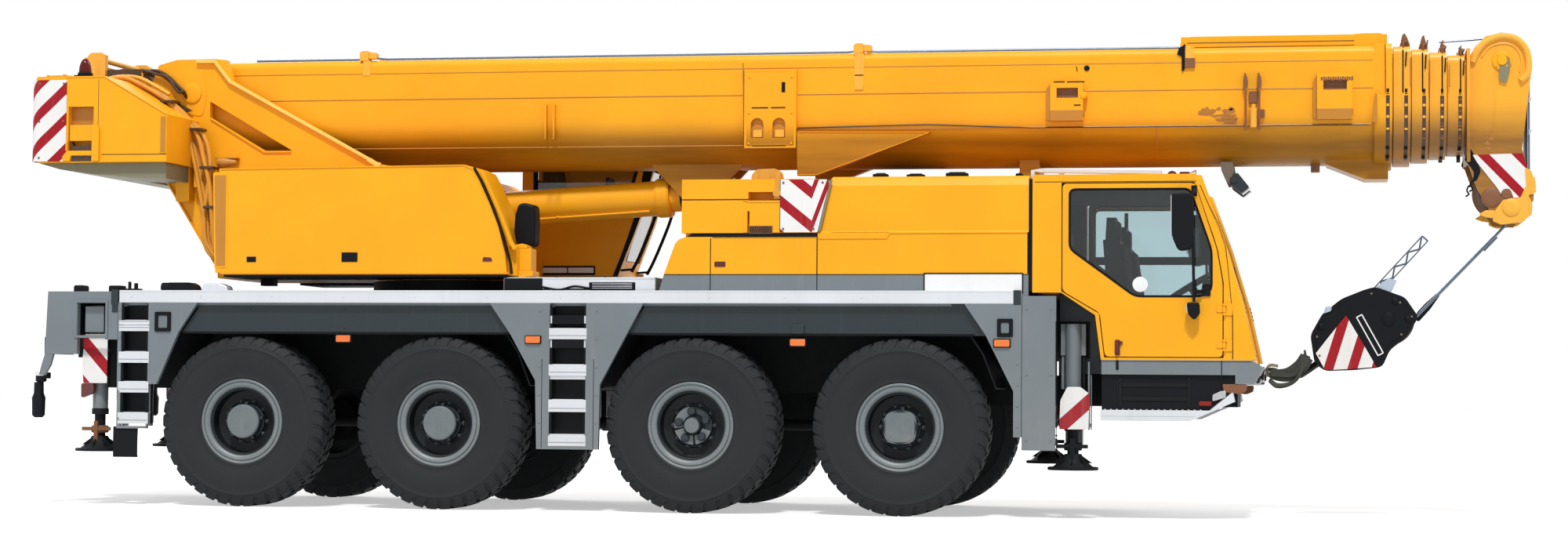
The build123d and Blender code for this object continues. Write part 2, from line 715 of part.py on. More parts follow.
# ------------------------------------------------------------------ hoods, engine, ballast
def build_hoods():
    sweep = slew_sweep(SWEEP_RADIUS - 250, DECK_TOP - 10, LOCKER_TOP_Z + 10)
    wide = slew_sweep(SWEEP_RADIUS, LOCKER_TOP_Z - 10, 3000)
    # the hood's cross section steps in above the crease and rounds over to the top
    half, crease, top = HOOD_HALF, HOOD_CREASE_Z, HOOD_TOP_Z
    right_side = [(half, SKIRT_TOP_Z), (half, crease), (half - 18, crease + 18)]
    right_side += [(half - 18, top - 75), (half - 40, top - 22), (half - 95, top)]
    section = right_side + [(-y, z) for y, z in reversed(right_side)]
    face = make_face(Polyline(*[(HOOD_REAR_X, y, z) for y, z in section], close=True))
    hood = extrude(face, HOOD_FRONT_X - HOOD_REAR_X, dir=(1, 0, 0))
    # the rear end leans forward over the ballast
    hood -= slab(
        [(HOOD_REAR_X - 5, crease), (HOOD_REAR_X, crease), (HOOD_REAR_X + 105, top + 5)]
        + [(HOOD_REAR_X - 5, top + 5)],
        -half - 5,
        half + 5,
    )
    hood -= block(
        HOOD_REAR_X + HOOD_WALL + 110,
        HOOD_FRONT_X - HOOD_WALL,
        -half + HOOD_WALL + 20,
        half - HOOD_WALL - 20,
        SKIRT_TOP_Z - 5,
        top - 85,
    )
    add("engine_hood", hood)
    locker = slab(
        [
            (LOCKER_REAR_X + 48, SKIRT_TOP_Z),
            (3550, LOCKER_TOP_Z - 95),
            (3568, LOCKER_TOP_Z - 50),
            (3598, LOCKER_TOP_Z - 18),
            (3650, LOCKER_TOP_Z),
            (HOOD_REAR_X - GAP, LOCKER_TOP_Z),
            (HOOD_REAR_X - GAP, SKIRT_TOP_Z),
        ],
        -HOOD_HALF,
        HOOD_HALF,
    )
    add("engine_hood", locker - sweep)
    skirt = slab(
        [
            (LOCKER_REAR_X, DECK_TOP),
            (LOCKER_REAR_X + 48, SKIRT_TOP_Z - FIT),
            (HOOD_FRONT_X, SKIRT_TOP_Z - FIT),
            (HOOD_FRONT_X, DECK_TOP),
        ],
        -HOOD_HALF,
        HOOD_HALF,
    )
    skirt -= block(
        HOOD_REAR_X + HOOD_WALL,
        HOOD_FRONT_X - HOOD_WALL,
        -HOOD_HALF + HOOD_WALL,
        HOOD_HALF - HOOD_WALL,
        DECK_TOP - 5,
        SKIRT_TOP_Z + 5,
    )
    # the skirt stands on the deck plate between the edge rails
    seat = block(
        3000, DECK_FRONT_X + 1, DECK_HALF - 1, HALF_WIDTH + 25, DECK_TOP - 5, RAIL_TOP + FIT
    )
    for piece in both(seat):
        skirt -= piece
    add("hood_skirt", skirt - sweep)
    engine = block(4850, 6150, -430, 430, DECK_TOP, 2480)
    add("engine_block", engine)

    side, low = BALLAST_HALF, LOCKER_TOP_Z
    ballast = block(BALLAST_REAR_X, HOOD_REAR_X - GAP, -side, side, low + 30, BALLAST_TOP_Z)
    ballast -= block(
        BALLAST_REAR_X - 5, HOOD_REAR_X, -BALLAST_INNER_Y, BALLAST_INNER_Y, 2330, BALLAST_TOP_Z + 5
    )
    foot = block(BALLAST_REAR_X + 25, HOOD_REAR_X - 30, -side + 40, side - 40, low, low + 31)
    # upper and lower slabs meet in a groove, and a notch and a slot hold the lifting gear
    for piece in both(block(BALLAST_REAR_X, 4170, side - 10, side + 10, 2446, 2456)):
        ballast -= piece
    for piece in both(block(4150, 4410, side - 140, side + 10, 2440, 2510)):
        ballast -= piece
    for piece in both(block(4145, 4162, side - 60, side + 10, low + 25, 2360)):
        ballast -= piece
    add("ballast_blocks", (ballast + foot) - wide)


# ------------------------------------------------------------------ superstructure
# side view of the side plates: rear leg, foot, front leg and the slanted brace between
SIDE_PLATE = [
    (-510, BASE_PLATE_TOP_Z - 5),
    (1880, BASE_PLATE_TOP_Z - 5),
    (1900, 2120),
    (1500, 2700),
    (900, 2808),
    (-400, 3518),
    (-455, 3694),
    (-560, 3706),
    (-900, 3703),
    (-1060, 3660),
    (-1130, 3480),
    (-1130, 2800),
    (-1040, 2790),
]
SIDE_PLATE_HOLE = [(-600, 3350), (-600, 3214), (-112, 2930), (130, 2930)]


def build_turntable():
    ring = rod((SLEW_X, 0, RING_SPLIT_Z + FIT), (SLEW_X, 0, HOUSE_BOTTOM_Z), RING_RADIUS)
    outer = PLATE_INNER_Y + PLATE_THICK
    base = block(-510, 2000, -outer, outer, HOUSE_BOTTOM_Z - 2, BASE_PLATE_TOP_Z)
    frame = ring + base
    plate = slab(SIDE_PLATE, PLATE_INNER_Y, PLATE_INNER_Y + PLATE_THICK)
    plate -= slab(SIDE_PLATE_HOLE, PLATE_INNER_Y - 5, PLATE_INNER_Y + PLATE_THICK + 5)
    for piece in both(plate):
        frame += piece
    # boom foot pin, cylinder foot clevis and its pin
    outer = PLATE_INNER_Y + PLATE_THICK
    frame += cross_bar(BOOM_PIVOT, outer, BOOM_PIN_RADIUS)
    foot_x, foot_z = CYLINDER_FOOT
    lug = slab(
        [
            (foot_x - 260, BASE_PLATE_TOP_Z - 5),
            (foot_x + 300, BASE_PLATE_TOP_Z - 5),
            (foot_x + 90, foot_z + 60),
            (foot_x, foot_z + 95),
            (foot_x - 90, foot_z + 60),
        ],
        LUG_GAP + FIT,
        LUG_GAP + 50,
    )
    for piece in both(lug):
        frame += piece
    frame += cross_bar(CYLINDER_FOOT, LUG_GAP + 50, CYLINDER_PIN_RADIUS)
    # cross wall behind the cylinder foot ties the plates together
    frame += block(-330, -290, -PLATE_INNER_Y - 5, PLATE_INNER_Y + 5, BASE_PLATE_TOP_Z - 5, 2500)
    add("turntable_frame", frame)


def build_housings():
    right = slab(
        [(-220, HOUSE_BOTTOM_Z), (-240, 2730), (1825, 2747), (1898, 2714), (1951, 2624)]
        + [(2036, 2444), (2110, 2264), (2175, 2025), (2190, HOUSE_BOTTOM_Z)],
        HOUSING_INNER_Y,
        HOUSING_OUTER_Y,
    )
    shelf = block(-150, 1800, PLATE_INNER_Y + PLATE_THICK, HOUSING_INNER_Y + 5, 1900, 2000)
    add("side_housings", mirrored(right + shelf))
    left = slab(
        [(-220, HOUSE_BOTTOM_Z), (-240, 2730), (1560, 2740), (1720, 2600), (1720, HOUSE_BOTTOM_Z)],
        HOUSING_INNER_Y,
        HOUSING_OUTER_Y,
    )
    add("side_housings", left + shelf)


def build_tail():
    outer = PLATE_INNER_Y + PLATE_THICK
    top, bottom = TAIL_TOP_Z, TAIL_BOTTOM_Z
    body = slab(
        [
            (TAIL_REAR_X, top - 40),
            (TAIL_REAR_X, bottom + 60),
            (TAIL_REAR_X + 60, bottom),
            (TAIL_FRONT_X, bottom),
            (TAIL_FRONT_X, bottom + 390),
            (TAIL_SLOPE_X, top),
            (TAIL_REAR_X + 40, top),
        ],
        -TAIL_HALF,
        TAIL_HALF,
    )
    corners = body.edges().filter_by(Axis.Z).group_by(Axis.X)[0]
    body = chamfer(corners, 45)
    body -= block(-1140, TAIL_FRONT_X + 20, -outer - FIT, outer + FIT, bottom - 5, top + 5)
    # well for the hoist winch
    body -= block(-1720, -1100, -430, 430, 3140, top + 5)
    # open pocket low on each side with the step below it
    for piece in both(block(-1560, -1340, TAIL_HALF - 90, TAIL_HALF + 5, bottom + 70, 3250)):
        body -= piece
    add("tail_counterweight", body)
    pan = slab(
        [(TAIL_REAR_X + 50, bottom - FIT), (TAIL_FRONT_X - 30, bottom - FIT)]
        + [(TAIL_FRONT_X - 30, 2664), (-1000, 2674), (-1370, 2705), (-1650, 2745)],
        -TAIL_HALF + 60,
        TAIL_HALF - 60,
    )
    pan -= block(-1136, TAIL_FRONT_X + 20, -outer - FIT, outer + FIT, 2600, bottom + 5)
    add("tail_counterweight", pan)
    drum = cross_bar(WINCH_AXIS, WINCH_HALF, WINCH_DRUM_RADIUS)
    x, z = WINCH_AXIS
    for y in (-WINCH_HALF, WINCH_HALF - 40):
        drum += rod((x, y, z), (x, y + 40, z), WINCH_FLANGE_RADIUS)
    drum += cross_bar(WINCH_AXIS, 430 - FIT, 60)
    add("hoist_winch", drum)


# side outline of the crane operator's cab, from the rear foot over the roof
OPCAB_OUTLINE = [
    (OPCAB_REAR_X, OPCAB_BOTTOM_Z),
    (OPCAB_REAR_X, OPCAB_ROOF_Z - 40),
    (OPCAB_REAR_X + 60, OPCAB_ROOF_Z),
    (2880, OPCAB_ROOF_Z),
    (3000, 3290),
    (2960, 2870),
    (2830, 2400),
    (2650, OPCAB_BOTTOM_Z),
]
OPDOOR_OUTLINE = [
    (1960, 1990),
    (1960, 3310),
    (2620, 3310),
    (2700, 3200),
    (2700, 2300),
    (2560, 1990),
]
OPDOOR_WINDOW = [(2010, 2420), (2010, 3250), (2600, 3250), (2650, 3180), (2650, 2420)]


def build_operator_cab():
    shell = slab(OPCAB_OUTLINE, OPCAB_INNER_Y, OPCAB_OUTER_Y)
    shell -= grown_slab(
        OPCAB_OUTLINE, -OPCAB_WALL, OPCAB_INNER_Y + OPCAB_WALL, OPCAB_OUTER_Y - OPCAB_WALL
    )
    # doorway, front screen, side window towards the boom, rear window
    shell -= grown_slab(OPDOOR_OUTLINE, -30, OPCAB_OUTER_Y - OPCAB_WALL - 5, OPCAB_OUTER_Y + 5)
    screen_y = (OPCAB_INNER_Y + 60, OPCAB_OUTER_Y - 60)
    screen_box = block(2500, 3100, screen_y[0], screen_y[1], 2060, 3230)
    shell -= screen_box
    side_window = [(1920, 2500), (1920, 3260), (2780, 3260), (2820, 2900), (2700, 2500)]
    shell -= slab(side_window, OPCAB_INNER_Y - 5, OPCAB_INNER_Y + OPCAB_WALL + 5)
    shell -= block(1790, 1850, 700, 1100, 2780, 3240)
    # foot that stands on the base plate, and rails for the door
    shell += block(OPCAB_REAR_X, 1995, PLATE_INNER_Y + PLATE_THICK, OPCAB_INNER_Y + 5, 1935, 2060)
    for z in (1962, 3328):
        shell += block(1820, 2720, OPCAB_OUTER_Y - 2, OPCAB_OUTER_Y + 22, z - 12, z + 12)
    add("operator_cab_shell", shell)

    pane = grown_slab(OPCAB_OUTLINE, -18, screen_y[0] + FIT, screen_y[1] - FIT)
    pane -= grown_slab(OPCAB_OUTLINE, -18 - GLASS_THICK, 0, 2000)
    pane &= block(2500, 3100, 0, 2000, 2060 + FIT, 3230 - FIT)
    side_pane = grown_slab(
        side_window, -FIT, OPCAB_INNER_Y + 18, OPCAB_INNER_Y + 18 + GLASS_THICK
    )
    rear_pane = block(1818, 1826, 700 + FIT, 1100 - FIT, 2780 + FIT, 3240 - FIT)
    add("operator_cab_glass", pane, side_pane, rear_pane)

    seat = block(2080, 2380, 790, 1010, OPCAB_BOTTOM_Z + OPCAB_WALL, 2280)
    seat += block(2030, 2480, 720, 1080, 2280, 2400)
    seat += slab([(1960, 2380), (2080, 2380), (2020, 2980), (1930, 2980)], 730, 1070)
    for y in (660, 1085):
        seat += block(2090, 2560, y, y + 55, 2440, 2540)
        seat += block(2090, 2200, y, y + 55, 2300, 2450)
    for y in (700, 1040):
        seat += block(2080, 2200, y, y + 60, 2290, 2400)
    add("operator_seat", seat)

    door = slab(OPDOOR_OUTLINE, OPCAB_OUTER_Y + FIT, OPCAB_OUTER_Y + 34)
    for z in (1962, 3328):
        door -= block(1700, 2900, OPCAB_OUTER_Y - 5, OPCAB_OUTER_Y + 24, z - 14, z + 14)
    door -= slab(OPDOOR_WINDOW, OPCAB_OUTER_Y - 5, OPCAB_OUTER_Y + 60)
    add("operator_door", door)
    glass = grown_slab(OPDOOR_WINDOW, -FIT, OPCAB_OUTER_Y + 14, OPCAB_OUTER_Y + 14 + GLASS_THICK)
    add("operator_door", glass)


# ------------------------------------------------------------------ luffing cylinder
def along_cylinder(distance):
    """Point (x, z) on the cylinder's centre line at a distance from its foot pin."""
    dx, dz = ROD_EYE[0] - CYLINDER_FOOT[0], ROD_EYE[1] - CYLINDER_FOOT[1]
    length = math.hypot(dx, dz)
    return CYLINDER_FOOT[0] + dx * distance / length, CYLINDER_FOOT[1] + dz * distance / length


def cylinder_bar(start, end, radius):
    """Round bar on the cylinder's centre line between two distances from its foot pin."""
    x0, z0 = along_cylinder(start)
    x1, z1 = along_cylinder(end)
    return rod((x0, 0, z0), (x1, 0, z1), radius)


def build_luff_cylinder():
    reach = math.hypot(ROD_EYE[0] - CYLINDER_FOOT[0], ROD_EYE[1] - CYLINDER_FOOT[1])
    mouth = reach - 250
    barrel = cylinder_bar(150, mouth, BARREL_RADIUS)
    barrel += cylinder_bar(mouth - 120, mouth, BARREL_RADIUS + 12)
    # gland neck that reaches in between the lugs of the rod's bracket
    neck = mouth + 130
    barrel += cylinder_bar(mouth - 10, neck, LUG_GAP - 8)
    barrel += cylinder_bar(0, 200, 90)
    barrel += cross_bar(CYLINDER_FOOT, LUG_GAP - FIT, 110)
    barrel -= cylinder_bar(260, neck + 20, ROD_RADIUS + FIT)
    barrel -= cross_bar(CYLINDER_FOOT, LUG_GAP + 10, CYLINDER_PIN_RADIUS + FIT)
    add("luff_cylinder_barrel", barrel)
    piston = cylinder_bar(300, reach - 40, ROD_RADIUS)
    piston += cross_bar(ROD_EYE, LUG_GAP - 1, 88)
    add("luff_cylinder_rod", piston)


# ------------------------------------------------------------------ telescopic boom
def boom_profile(half, top, belly):
    """Boom section across the boom (y, z): flat top, straight sides, half-round belly."""
    corner = BOOM_CORNER
    bend = corner * (1 - math.sqrt(0.5))
    edges = [
        Line((-half + corner, top), (half - corner, top)),
        ThreePointArc((half - corner, top), (half - bend, top - bend), (half, top - corner)),
        Line((half, top - corner), (half, belly + half)),
        ThreePointArc((half, belly + half), (0, belly), (-half, belly + half)),
        Line((-half, belly + half), (-half, top - corner)),
        ThreePointArc((-half, top - corner), (-half + bend, top - bend), (-half + corner, top)),
    ]
    return make_face(edges)


def boom_bar(x0, x1, half, top, belly):
    """Solid bar of the boom section between two X positions."""
    return extrude(Plane.YZ.offset(x0) * boom_profile(half, top, belly), x1 - x0)


def section_size(index):
    """Outer half width, top and belly of a section; index 0 is the base."""
    shrink = index * BOOM_NEST_STEP
    return BOOM_HALF - shrink, BOOM_TOP_Z - shrink, BOOM_BELLY_Z + shrink


def section_tube(index, x0, x1):
    """Hollow section between two X positions."""
    half, top, belly = section_size(index)
    tube = boom_bar(x0, x1, half, top, belly)
    wall = BOOM_WALL
    return tube - boom_bar(x0 - 5, x1 + 5, half - wall, top - wall, belly + wall)


def collar(index, x0, x1):
    """Thick front collar of a section with the wear pads that guide the next one."""
    half, top, belly = section_size(index)
    proud = COLLAR_PROUD - COLLAR_PROUD_STEP * index
    ring = boom_bar(x0, x1, half + proud, top + 12, belly - proud)
    # a column of openings on each side shows the pads of the next section
    wide, tall = COLLAR_SLOT
    for z in COLLAR_SLOT_LEVELS:
        slot = block(x1 - 20 - wide, x1 - 20, half - 110, half + 60, z, z + tall)
        for piece in both(slot):
            ring -= piece
    wall = BOOM_WALL
    ring -= boom_bar(x0 - 5, x1 + 5, half - wall, top - wall, belly + wall)
    next_half, next_top, next_belly = section_size(index + 1)
    for sign in (-1, 1):
        y = sorted((sign * (next_half + FIT), sign * (half - wall + 3)))
        ring += block(x0, x1, y[0], y[1], 3380, 3500)
        y = sorted((sign * 60, sign * 190))
        ring += block(x0, x1, y[0], y[1], next_top + FIT, top - wall + 3)
    belly_pad = block(x0, x1, -90, 90, belly, next_belly + 25)
    ring += belly_pad - boom_bar(
        x0 - 5, x1 + 5, next_half + FIT, next_top + FIT, next_belly - FIT
    )
    return ring


def build_boom_base():
    half, top, belly = section_size(0)
    front = COLLAR_FRONTS[0]
    base = section_tube(0, BOOM_REAR_X, front)
    base += collar(0, BASE_COLLAR_REAR_X, front)
    # the collar's upper half starts farther forward than its lower half
    rear = BASE_COLLAR_REAR_X - 5
    step = block(rear, COLLAR_UPPER_REAR_X, half + 2, half + 80, COLLAR_SPLIT_Z, top + 110)
    for piece in both(step):
        base -= piece
    # foot bearings each side of the pivot pin
    pivot_x, pivot_z = BOOM_PIVOT
    for sign in (-1, 1):
        ends = (sign * (half - 30), sign * (PLATE_INNER_Y - FIT))
        base += rod((pivot_x, ends[0], pivot_z), (pivot_x, ends[1], pivot_z), 150)
    base -= cross_bar(BOOM_PIVOT, PLATE_INNER_Y + 20, BOOM_PIN_RADIUS + FIT)
    # bracket for the rod eye: two lugs under the belly
    eye_x, eye_z = ROD_EYE
    lug = slab(
        [
            (eye_x - 420, belly + 70),
            (eye_x + 420, belly + 70),
            (eye_x + 100, eye_z - 60),
            (eye_x, eye_z - 95),
            (eye_x - 100, eye_z - 60),
        ],
        LUG_GAP + FIT,
        LUG_GAP + 45,
    )
    lug -= boom_bar(eye_x - 500, eye_x + 500, half - 2, top - 2, belly + 2)
    lug -= rod((eye_x, LUG_GAP - 5, eye_z), (eye_x, LUG_GAP + 60, eye_z), 46)
    for piece in both(lug):
        base += piece
    # deepened chin under the front of the base section
    chin = slab(
        [(8580, belly + 60), (8580, belly), (8880, belly - 120), (9060, belly - 120)]
        + [(9060, belly + 60)],
        -180,
        180,
    )
    chin -= boom_bar(8500, 9200, half - 2, top - 2, belly + 2)
    base += chin
    # guide box and gusset on each side
    guide = slab([(3950, 2920), (4380, 2920), (4380, 3560), (3950, 3560)], half - 40, half + 45)
    for x in (4005, 4185):
        window = block(x, x + 105, half + 12, half + 60, 3005, 3115)
        window += rod((x + 52.5, half + 12, 3115), (x + 52.5, half + 60, 3115), 52.5)
        guide -= window
    gusset = slab([(4385, 3055), (5470, 3040), (4560, 2700), (4390, 2700)], half - 40, half + 40)
    room = boom_bar(3900, 5600, half - 2, top - 2, belly + 2)
    for piece in both(guide - room) + both(gusset - room):
        base += piece
    # side lugs, cable cover on top and the boom's rest shoe
    for x0, x1, z0, z1 in ((6430, 6690, 3120, 3430), (8510, 8780, 3110, 3470)):
        lug = block(x0, x1, half - 10, half + 60, z0, z1)
        lug -= block(x0 + 50, x1 - 40, half + 20, half + 65, z1 - 130, z1 - 50)
        for piece in both(lug):
            base += piece
    # pairs of upright flanges that guided the stays
    for x, z0, z1 in BOOM_FLANGES:
        flange = block(x, x + 14, half - 8, half + 48, z0, z1)
        for piece in both(flange):
            base += piece
    cover = block(7450, 9050, 60, 300, top - 5, top + 100)
    for piece in both(cover):
        base += piece
    shoe = block(6160, 6320, -200, 200, belly - 90, belly + 60)
    shoe -= boom_bar(6000, 6500, half - 2, top - 2, belly + 2)
    base += shoe
    add("boom_base", base)


def build_boom_sections():
    for index in range(1, BOOM_SECTIONS + 1):
        rear = SECTION_REAR_X + SECTION_REAR_STEP * index
        if index < BOOM_SECTIONS:
            front = COLLAR_FRONTS[index]
            section = section_tube(index, rear, front)
            section += collar(index, COLLAR_FRONTS[index - 1] + COLLAR_GAP, front)
        else:
            section = section_tube(index, rear, HEAD_REAR_X + 25) + boom_head()
        add(f"boom_section_{index}", section)


HEAD_PINS = ((9925, 3570), (9925, 2560))
HEAD_OUTLINE = [
    (HEAD_REAR_X, 3560),
    (9720, 3680),
    (9800, 3760),
    (9920, 3790),
    (10040, 3750),
    (10120, 3650),
    (10150, 3520),
    (10075, 2880),
    (HEAD_FRONT_X, 2560),
    (HEAD_FRONT_X, 2480),
    (10040, 2300),
    (9880, 2310),
    (9740, 2560),
    (HEAD_REAR_X, 2800),
]
HEAD_PLATE_Y = (250, 290)


def boom_head():
    """Head of the last section: two side plates on a rear plate, with the sheave pins."""
    half, top, belly = section_size(BOOM_SECTIONS)
    wide = half + 60
    head = block(HEAD_REAR_X, HEAD_REAR_X + 25, -wide, wide, 2780, 3660)
    head -= boom_bar(9600, 9900, half - BOOM_WALL, top - BOOM_WALL, belly + BOOM_WALL)
    for piece in both(slab(HEAD_OUTLINE, *HEAD_PLATE_Y)):
        head += piece
    for pin in HEAD_PINS:
        head += cross_bar(pin, HEAD_PLATE_Y[1], 45)
    return head


def build_boom_sheaves():
    for x, z in HEAD_PINS:
        for y in (-200, -115, -30, 55, 140):
            sheave = rod((x, y, z), (x, y + 60, z), SHEAVE_RADIUS)
            sheave -= cross_bar((x, z), 300, 45 + FIT)
            add("boom_sheaves", sheave)


# ------------------------------------------------------------------ hook block
# the block hangs tied forward, its long axis from the hook (low, rear) to the rope sheaves
HOOK_LOW = (8640, 1330)
HOOK_HIGH = (9200, 1640)
HOOK_SHEAVE_RADIUS = 190
HOOK_SHANK_START = (8760, 1390)
HOOK_SHANK_ANGLE = math.radians(36)
HOOK_SHANK_LENGTH = 290


def along_hook(distance, across):
    """Point (x, z) at a distance from the hook end and across the block's long axis."""
    dx, dz = HOOK_HIGH[0] - HOOK_LOW[0], HOOK_HIGH[1] - HOOK_LOW[1]
    length = math.hypot(dx, dz)
    ux, uz = dx / length, dz / length
    return HOOK_LOW[0] + ux * distance - uz * across, HOOK_LOW[1] + uz * distance + ux * across


def build_hook_block():
    shape = [(60, -210), (250, -275), (480, -285), (690, -190), (760, -20)]
    shape += [(690, 165), (520, 245), (300, 250), (90, 140), (0, -40)]
    outline = [along_hook(*point) for point in shape]
    plates = both(slab(outline, 120, 150))
    centre_x, centre_z = along_hook(460, -20)
    hook = rod((centre_x, -150, centre_z), (centre_x, 150, centre_z), 60)
    hook += rod((centre_x, -120.2, centre_z), (centre_x, 120.2, centre_z), HOOK_SHEAVE_RADIUS)
    for piece in plates:
        hook += piece
    # crosshead between the plates; the open hook under it is turned edge-on, its shank tilted
    head_shape = [(60, -90), (240, -120), (240, 90), (60, 60)]
    hook += slab([along_hook(*point) for point in head_shape], -120.2, 120.2)
    start_x, start_z = HOOK_SHANK_START
    down_x, down_z = math.cos(HOOK_SHANK_ANGLE), math.sin(HOOK_SHANK_ANGLE)
    shank_end = (start_x - HOOK_SHANK_LENGTH * down_x, 0, start_z - HOOK_SHANK_LENGTH * down_z)
    hook += rod((start_x, 0, start_z), shank_end, 40)
    bow = [(-30, -50), (-30, 50), (55, 105), (145, 95), (200, 35), (190, -50), (145, -100)]
    bow += [(85, -112), (72, -78), (125, -52), (132, 5), (88, 40), (45, 25), (30, -50)]
    tilted = Plane(origin=shank_end, x_dir=(-down_x, 0, -down_z), z_dir=(down_z, 0, -down_x))
    hook += extrude(tilted * make_face(Polyline(*bow, close=True)), 30, both=True)
    # three falls of rope run from the block to the underside of the head's lower sheaves
    low_x, low_z = along_hook(600, 60)
    pin_x, pin_z = HEAD_PINS[1]
    touch = SHEAVE_RADIUS + ROPE_RADIUS + FIT
    reach = math.hypot(pin_x - low_x, pin_z - low_z)
    angle = math.atan2(pin_z - low_z, pin_x - low_x) - math.asin(touch / reach)
    end_x, end_z = pin_x + touch * math.sin(angle), pin_z - touch * math.cos(angle)
    for y in (-85, 0, 85):
        hook += rod((low_x, y, low_z), (end_x, y, end_z), ROPE_RADIUS)
    add("hook_block", hook)


# ------------------------------------------------------------------ build and write
def main():
    build_frame()
    build_deck()
    build_side_panels()
    build_fenders()
    build_ladders()
    build_axles()
    build_wheels()
    build_outriggers()
    build_cab()
    build_cab_inside()
    build_cab_base()
    build_hoods()
    build_turntable()
    build_housings()
    build_tail()
    build_operator_cab()
    build_luff_cylinder()
    build_boom_base()
    build_boom_sections()
    build_boom_sheaves()
    build_hook_block()
    os.makedirs("parts", exist_ok=True)
    shift = Location((-BOX_CENTRE_X, 0, 0))
    for name, solids in nodes.items():
        moved = [solid.moved(shift) for solid in solids]
        export_step(Compound(moved), f"parts/{name}.step")


main()
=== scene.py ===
"""Looks of the four-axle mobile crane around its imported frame.

Metres. X points forward, Y to the crane's left, Z up. Shapes are made with X counted from the rear
axle, as a maker measures a carrier, and piece() moves them onto the frame.
"""

import bpy
import json
import math
from functools import partial
import numpy as np
from mathutils import Matrix, Vector

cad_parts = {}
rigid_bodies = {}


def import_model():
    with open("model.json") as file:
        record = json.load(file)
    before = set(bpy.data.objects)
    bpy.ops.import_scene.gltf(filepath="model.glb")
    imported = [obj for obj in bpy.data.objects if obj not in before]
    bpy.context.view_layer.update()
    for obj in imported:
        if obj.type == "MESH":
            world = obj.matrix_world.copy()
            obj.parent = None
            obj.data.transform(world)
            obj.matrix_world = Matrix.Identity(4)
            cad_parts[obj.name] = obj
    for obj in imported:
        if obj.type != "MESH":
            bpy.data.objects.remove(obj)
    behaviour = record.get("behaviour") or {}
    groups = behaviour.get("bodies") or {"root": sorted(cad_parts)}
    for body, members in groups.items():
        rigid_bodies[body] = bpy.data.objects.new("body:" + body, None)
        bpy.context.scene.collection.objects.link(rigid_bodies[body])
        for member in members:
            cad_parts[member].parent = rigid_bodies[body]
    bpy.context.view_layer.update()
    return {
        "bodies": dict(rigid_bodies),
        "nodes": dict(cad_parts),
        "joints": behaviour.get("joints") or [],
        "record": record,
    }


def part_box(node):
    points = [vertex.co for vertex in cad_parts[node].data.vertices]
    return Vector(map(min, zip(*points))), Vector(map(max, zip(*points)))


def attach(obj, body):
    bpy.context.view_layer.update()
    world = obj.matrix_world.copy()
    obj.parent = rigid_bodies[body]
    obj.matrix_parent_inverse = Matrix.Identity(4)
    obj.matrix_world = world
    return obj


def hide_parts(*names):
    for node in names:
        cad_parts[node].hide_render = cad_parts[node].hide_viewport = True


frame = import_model()
record = frame["record"]
scene = bpy.context.scene


def middle(node):
    """Middle of a node's box."""
    low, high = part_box(node)
    return (low + high) / 2


REAR_AXLE = middle("wheel_4_left").x
AXLES = {k: middle(f"wheel_{k}_left").x - REAR_AXLE for k in (1, 2, 3, 4)}
WHEEL_Y = middle("wheel_1_left").y
WHEEL_Z = middle("wheel_1_left").z
TYRE_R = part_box("wheel_1_left")[1].z - WHEEL_Z
SIDES = {"right": -1, "left": 1}
TAU = 2 * math.pi
HOUSING_IN = 0.56  # inner faces of the side housings


# ------------------------------------------------------------------ shapes as arrays
# a shape is (points, faces): an (n, 3) array and a list of index lists
def joined(*shapes):
    """Shapes side by side in one list of points and faces."""
    points, faces, count = [], [], 0
    for shape_points, shape_faces in shapes:
        points.append(shape_points)
        faces += [[index + count for index in face] for face in shape_faces]
        count += len(shape_points)
    return np.vstack(points), faces


def grid(points, wrap_rows=False, wrap_columns=False, cap=False):
    """Quads over a (rows, columns, 3) array: corner (i, j) joins (i+1, j), (i+1, j+1), (i, j+1).

    Wrapping joins the last row or column to the first; a cap closes the first and last rows.
    """
    rows, columns = points.shape[:2]
    index = np.arange(rows * columns).reshape(rows, columns)
    if wrap_rows:
        index = np.vstack([index, index[:1]])
    if wrap_columns:
        index = np.hstack([index, index[:, :1]])
    quads = np.stack([index[:-1, :-1], index[:-1, 1:], index[1:, 1:], index[1:, :-1]], -1)
    faces = quads.reshape(-1, 4).tolist()
    if cap:
        faces += [index[0, :columns][::-1].tolist(), index[rows - 1, :columns].tolist()]
    return points.reshape(-1, 3), faces


def moved(shape, by=(0, 0, 0), turn=None, about=(0, 0, 0)):
    """The shape turned by a matrix about a point, then moved."""
    points = shape[0]
    if turn is not None:
        points = (points - np.array(about)) @ np.array(turn).T + np.array(about)
    return points + np.array(by), shape[1]


def mirrored(*shapes):
    """Mirror image on the other side of the crane, with its faces still outward."""
    points, faces = joined(*shapes)
    return points * np.array([1, -1, 1]), [face[::-1] for face in faces]


def both(*shapes):
    """Shapes with their mirror image."""
    return joined(*shapes, mirrored(*shapes))


def on_side(side, *shapes):
    """Shapes made for the left, put on the named side."""
    return joined(*shapes) if side == "left" else mirrored(*shapes)


def around(count):
    """Angles spread evenly round a circle."""
    return np.arange(count) * (TAU / count)


# a turned profile's two radial axes and its own, and an outline's two axes and the one across it
AXES = {"x": (1, 2, 0), "y": (2, 0, 1), "z": (0, 1, 2)}
PLANES = {"x": (1, 2, 0), "y": (0, 2, 1), "z": (0, 1, 2)}


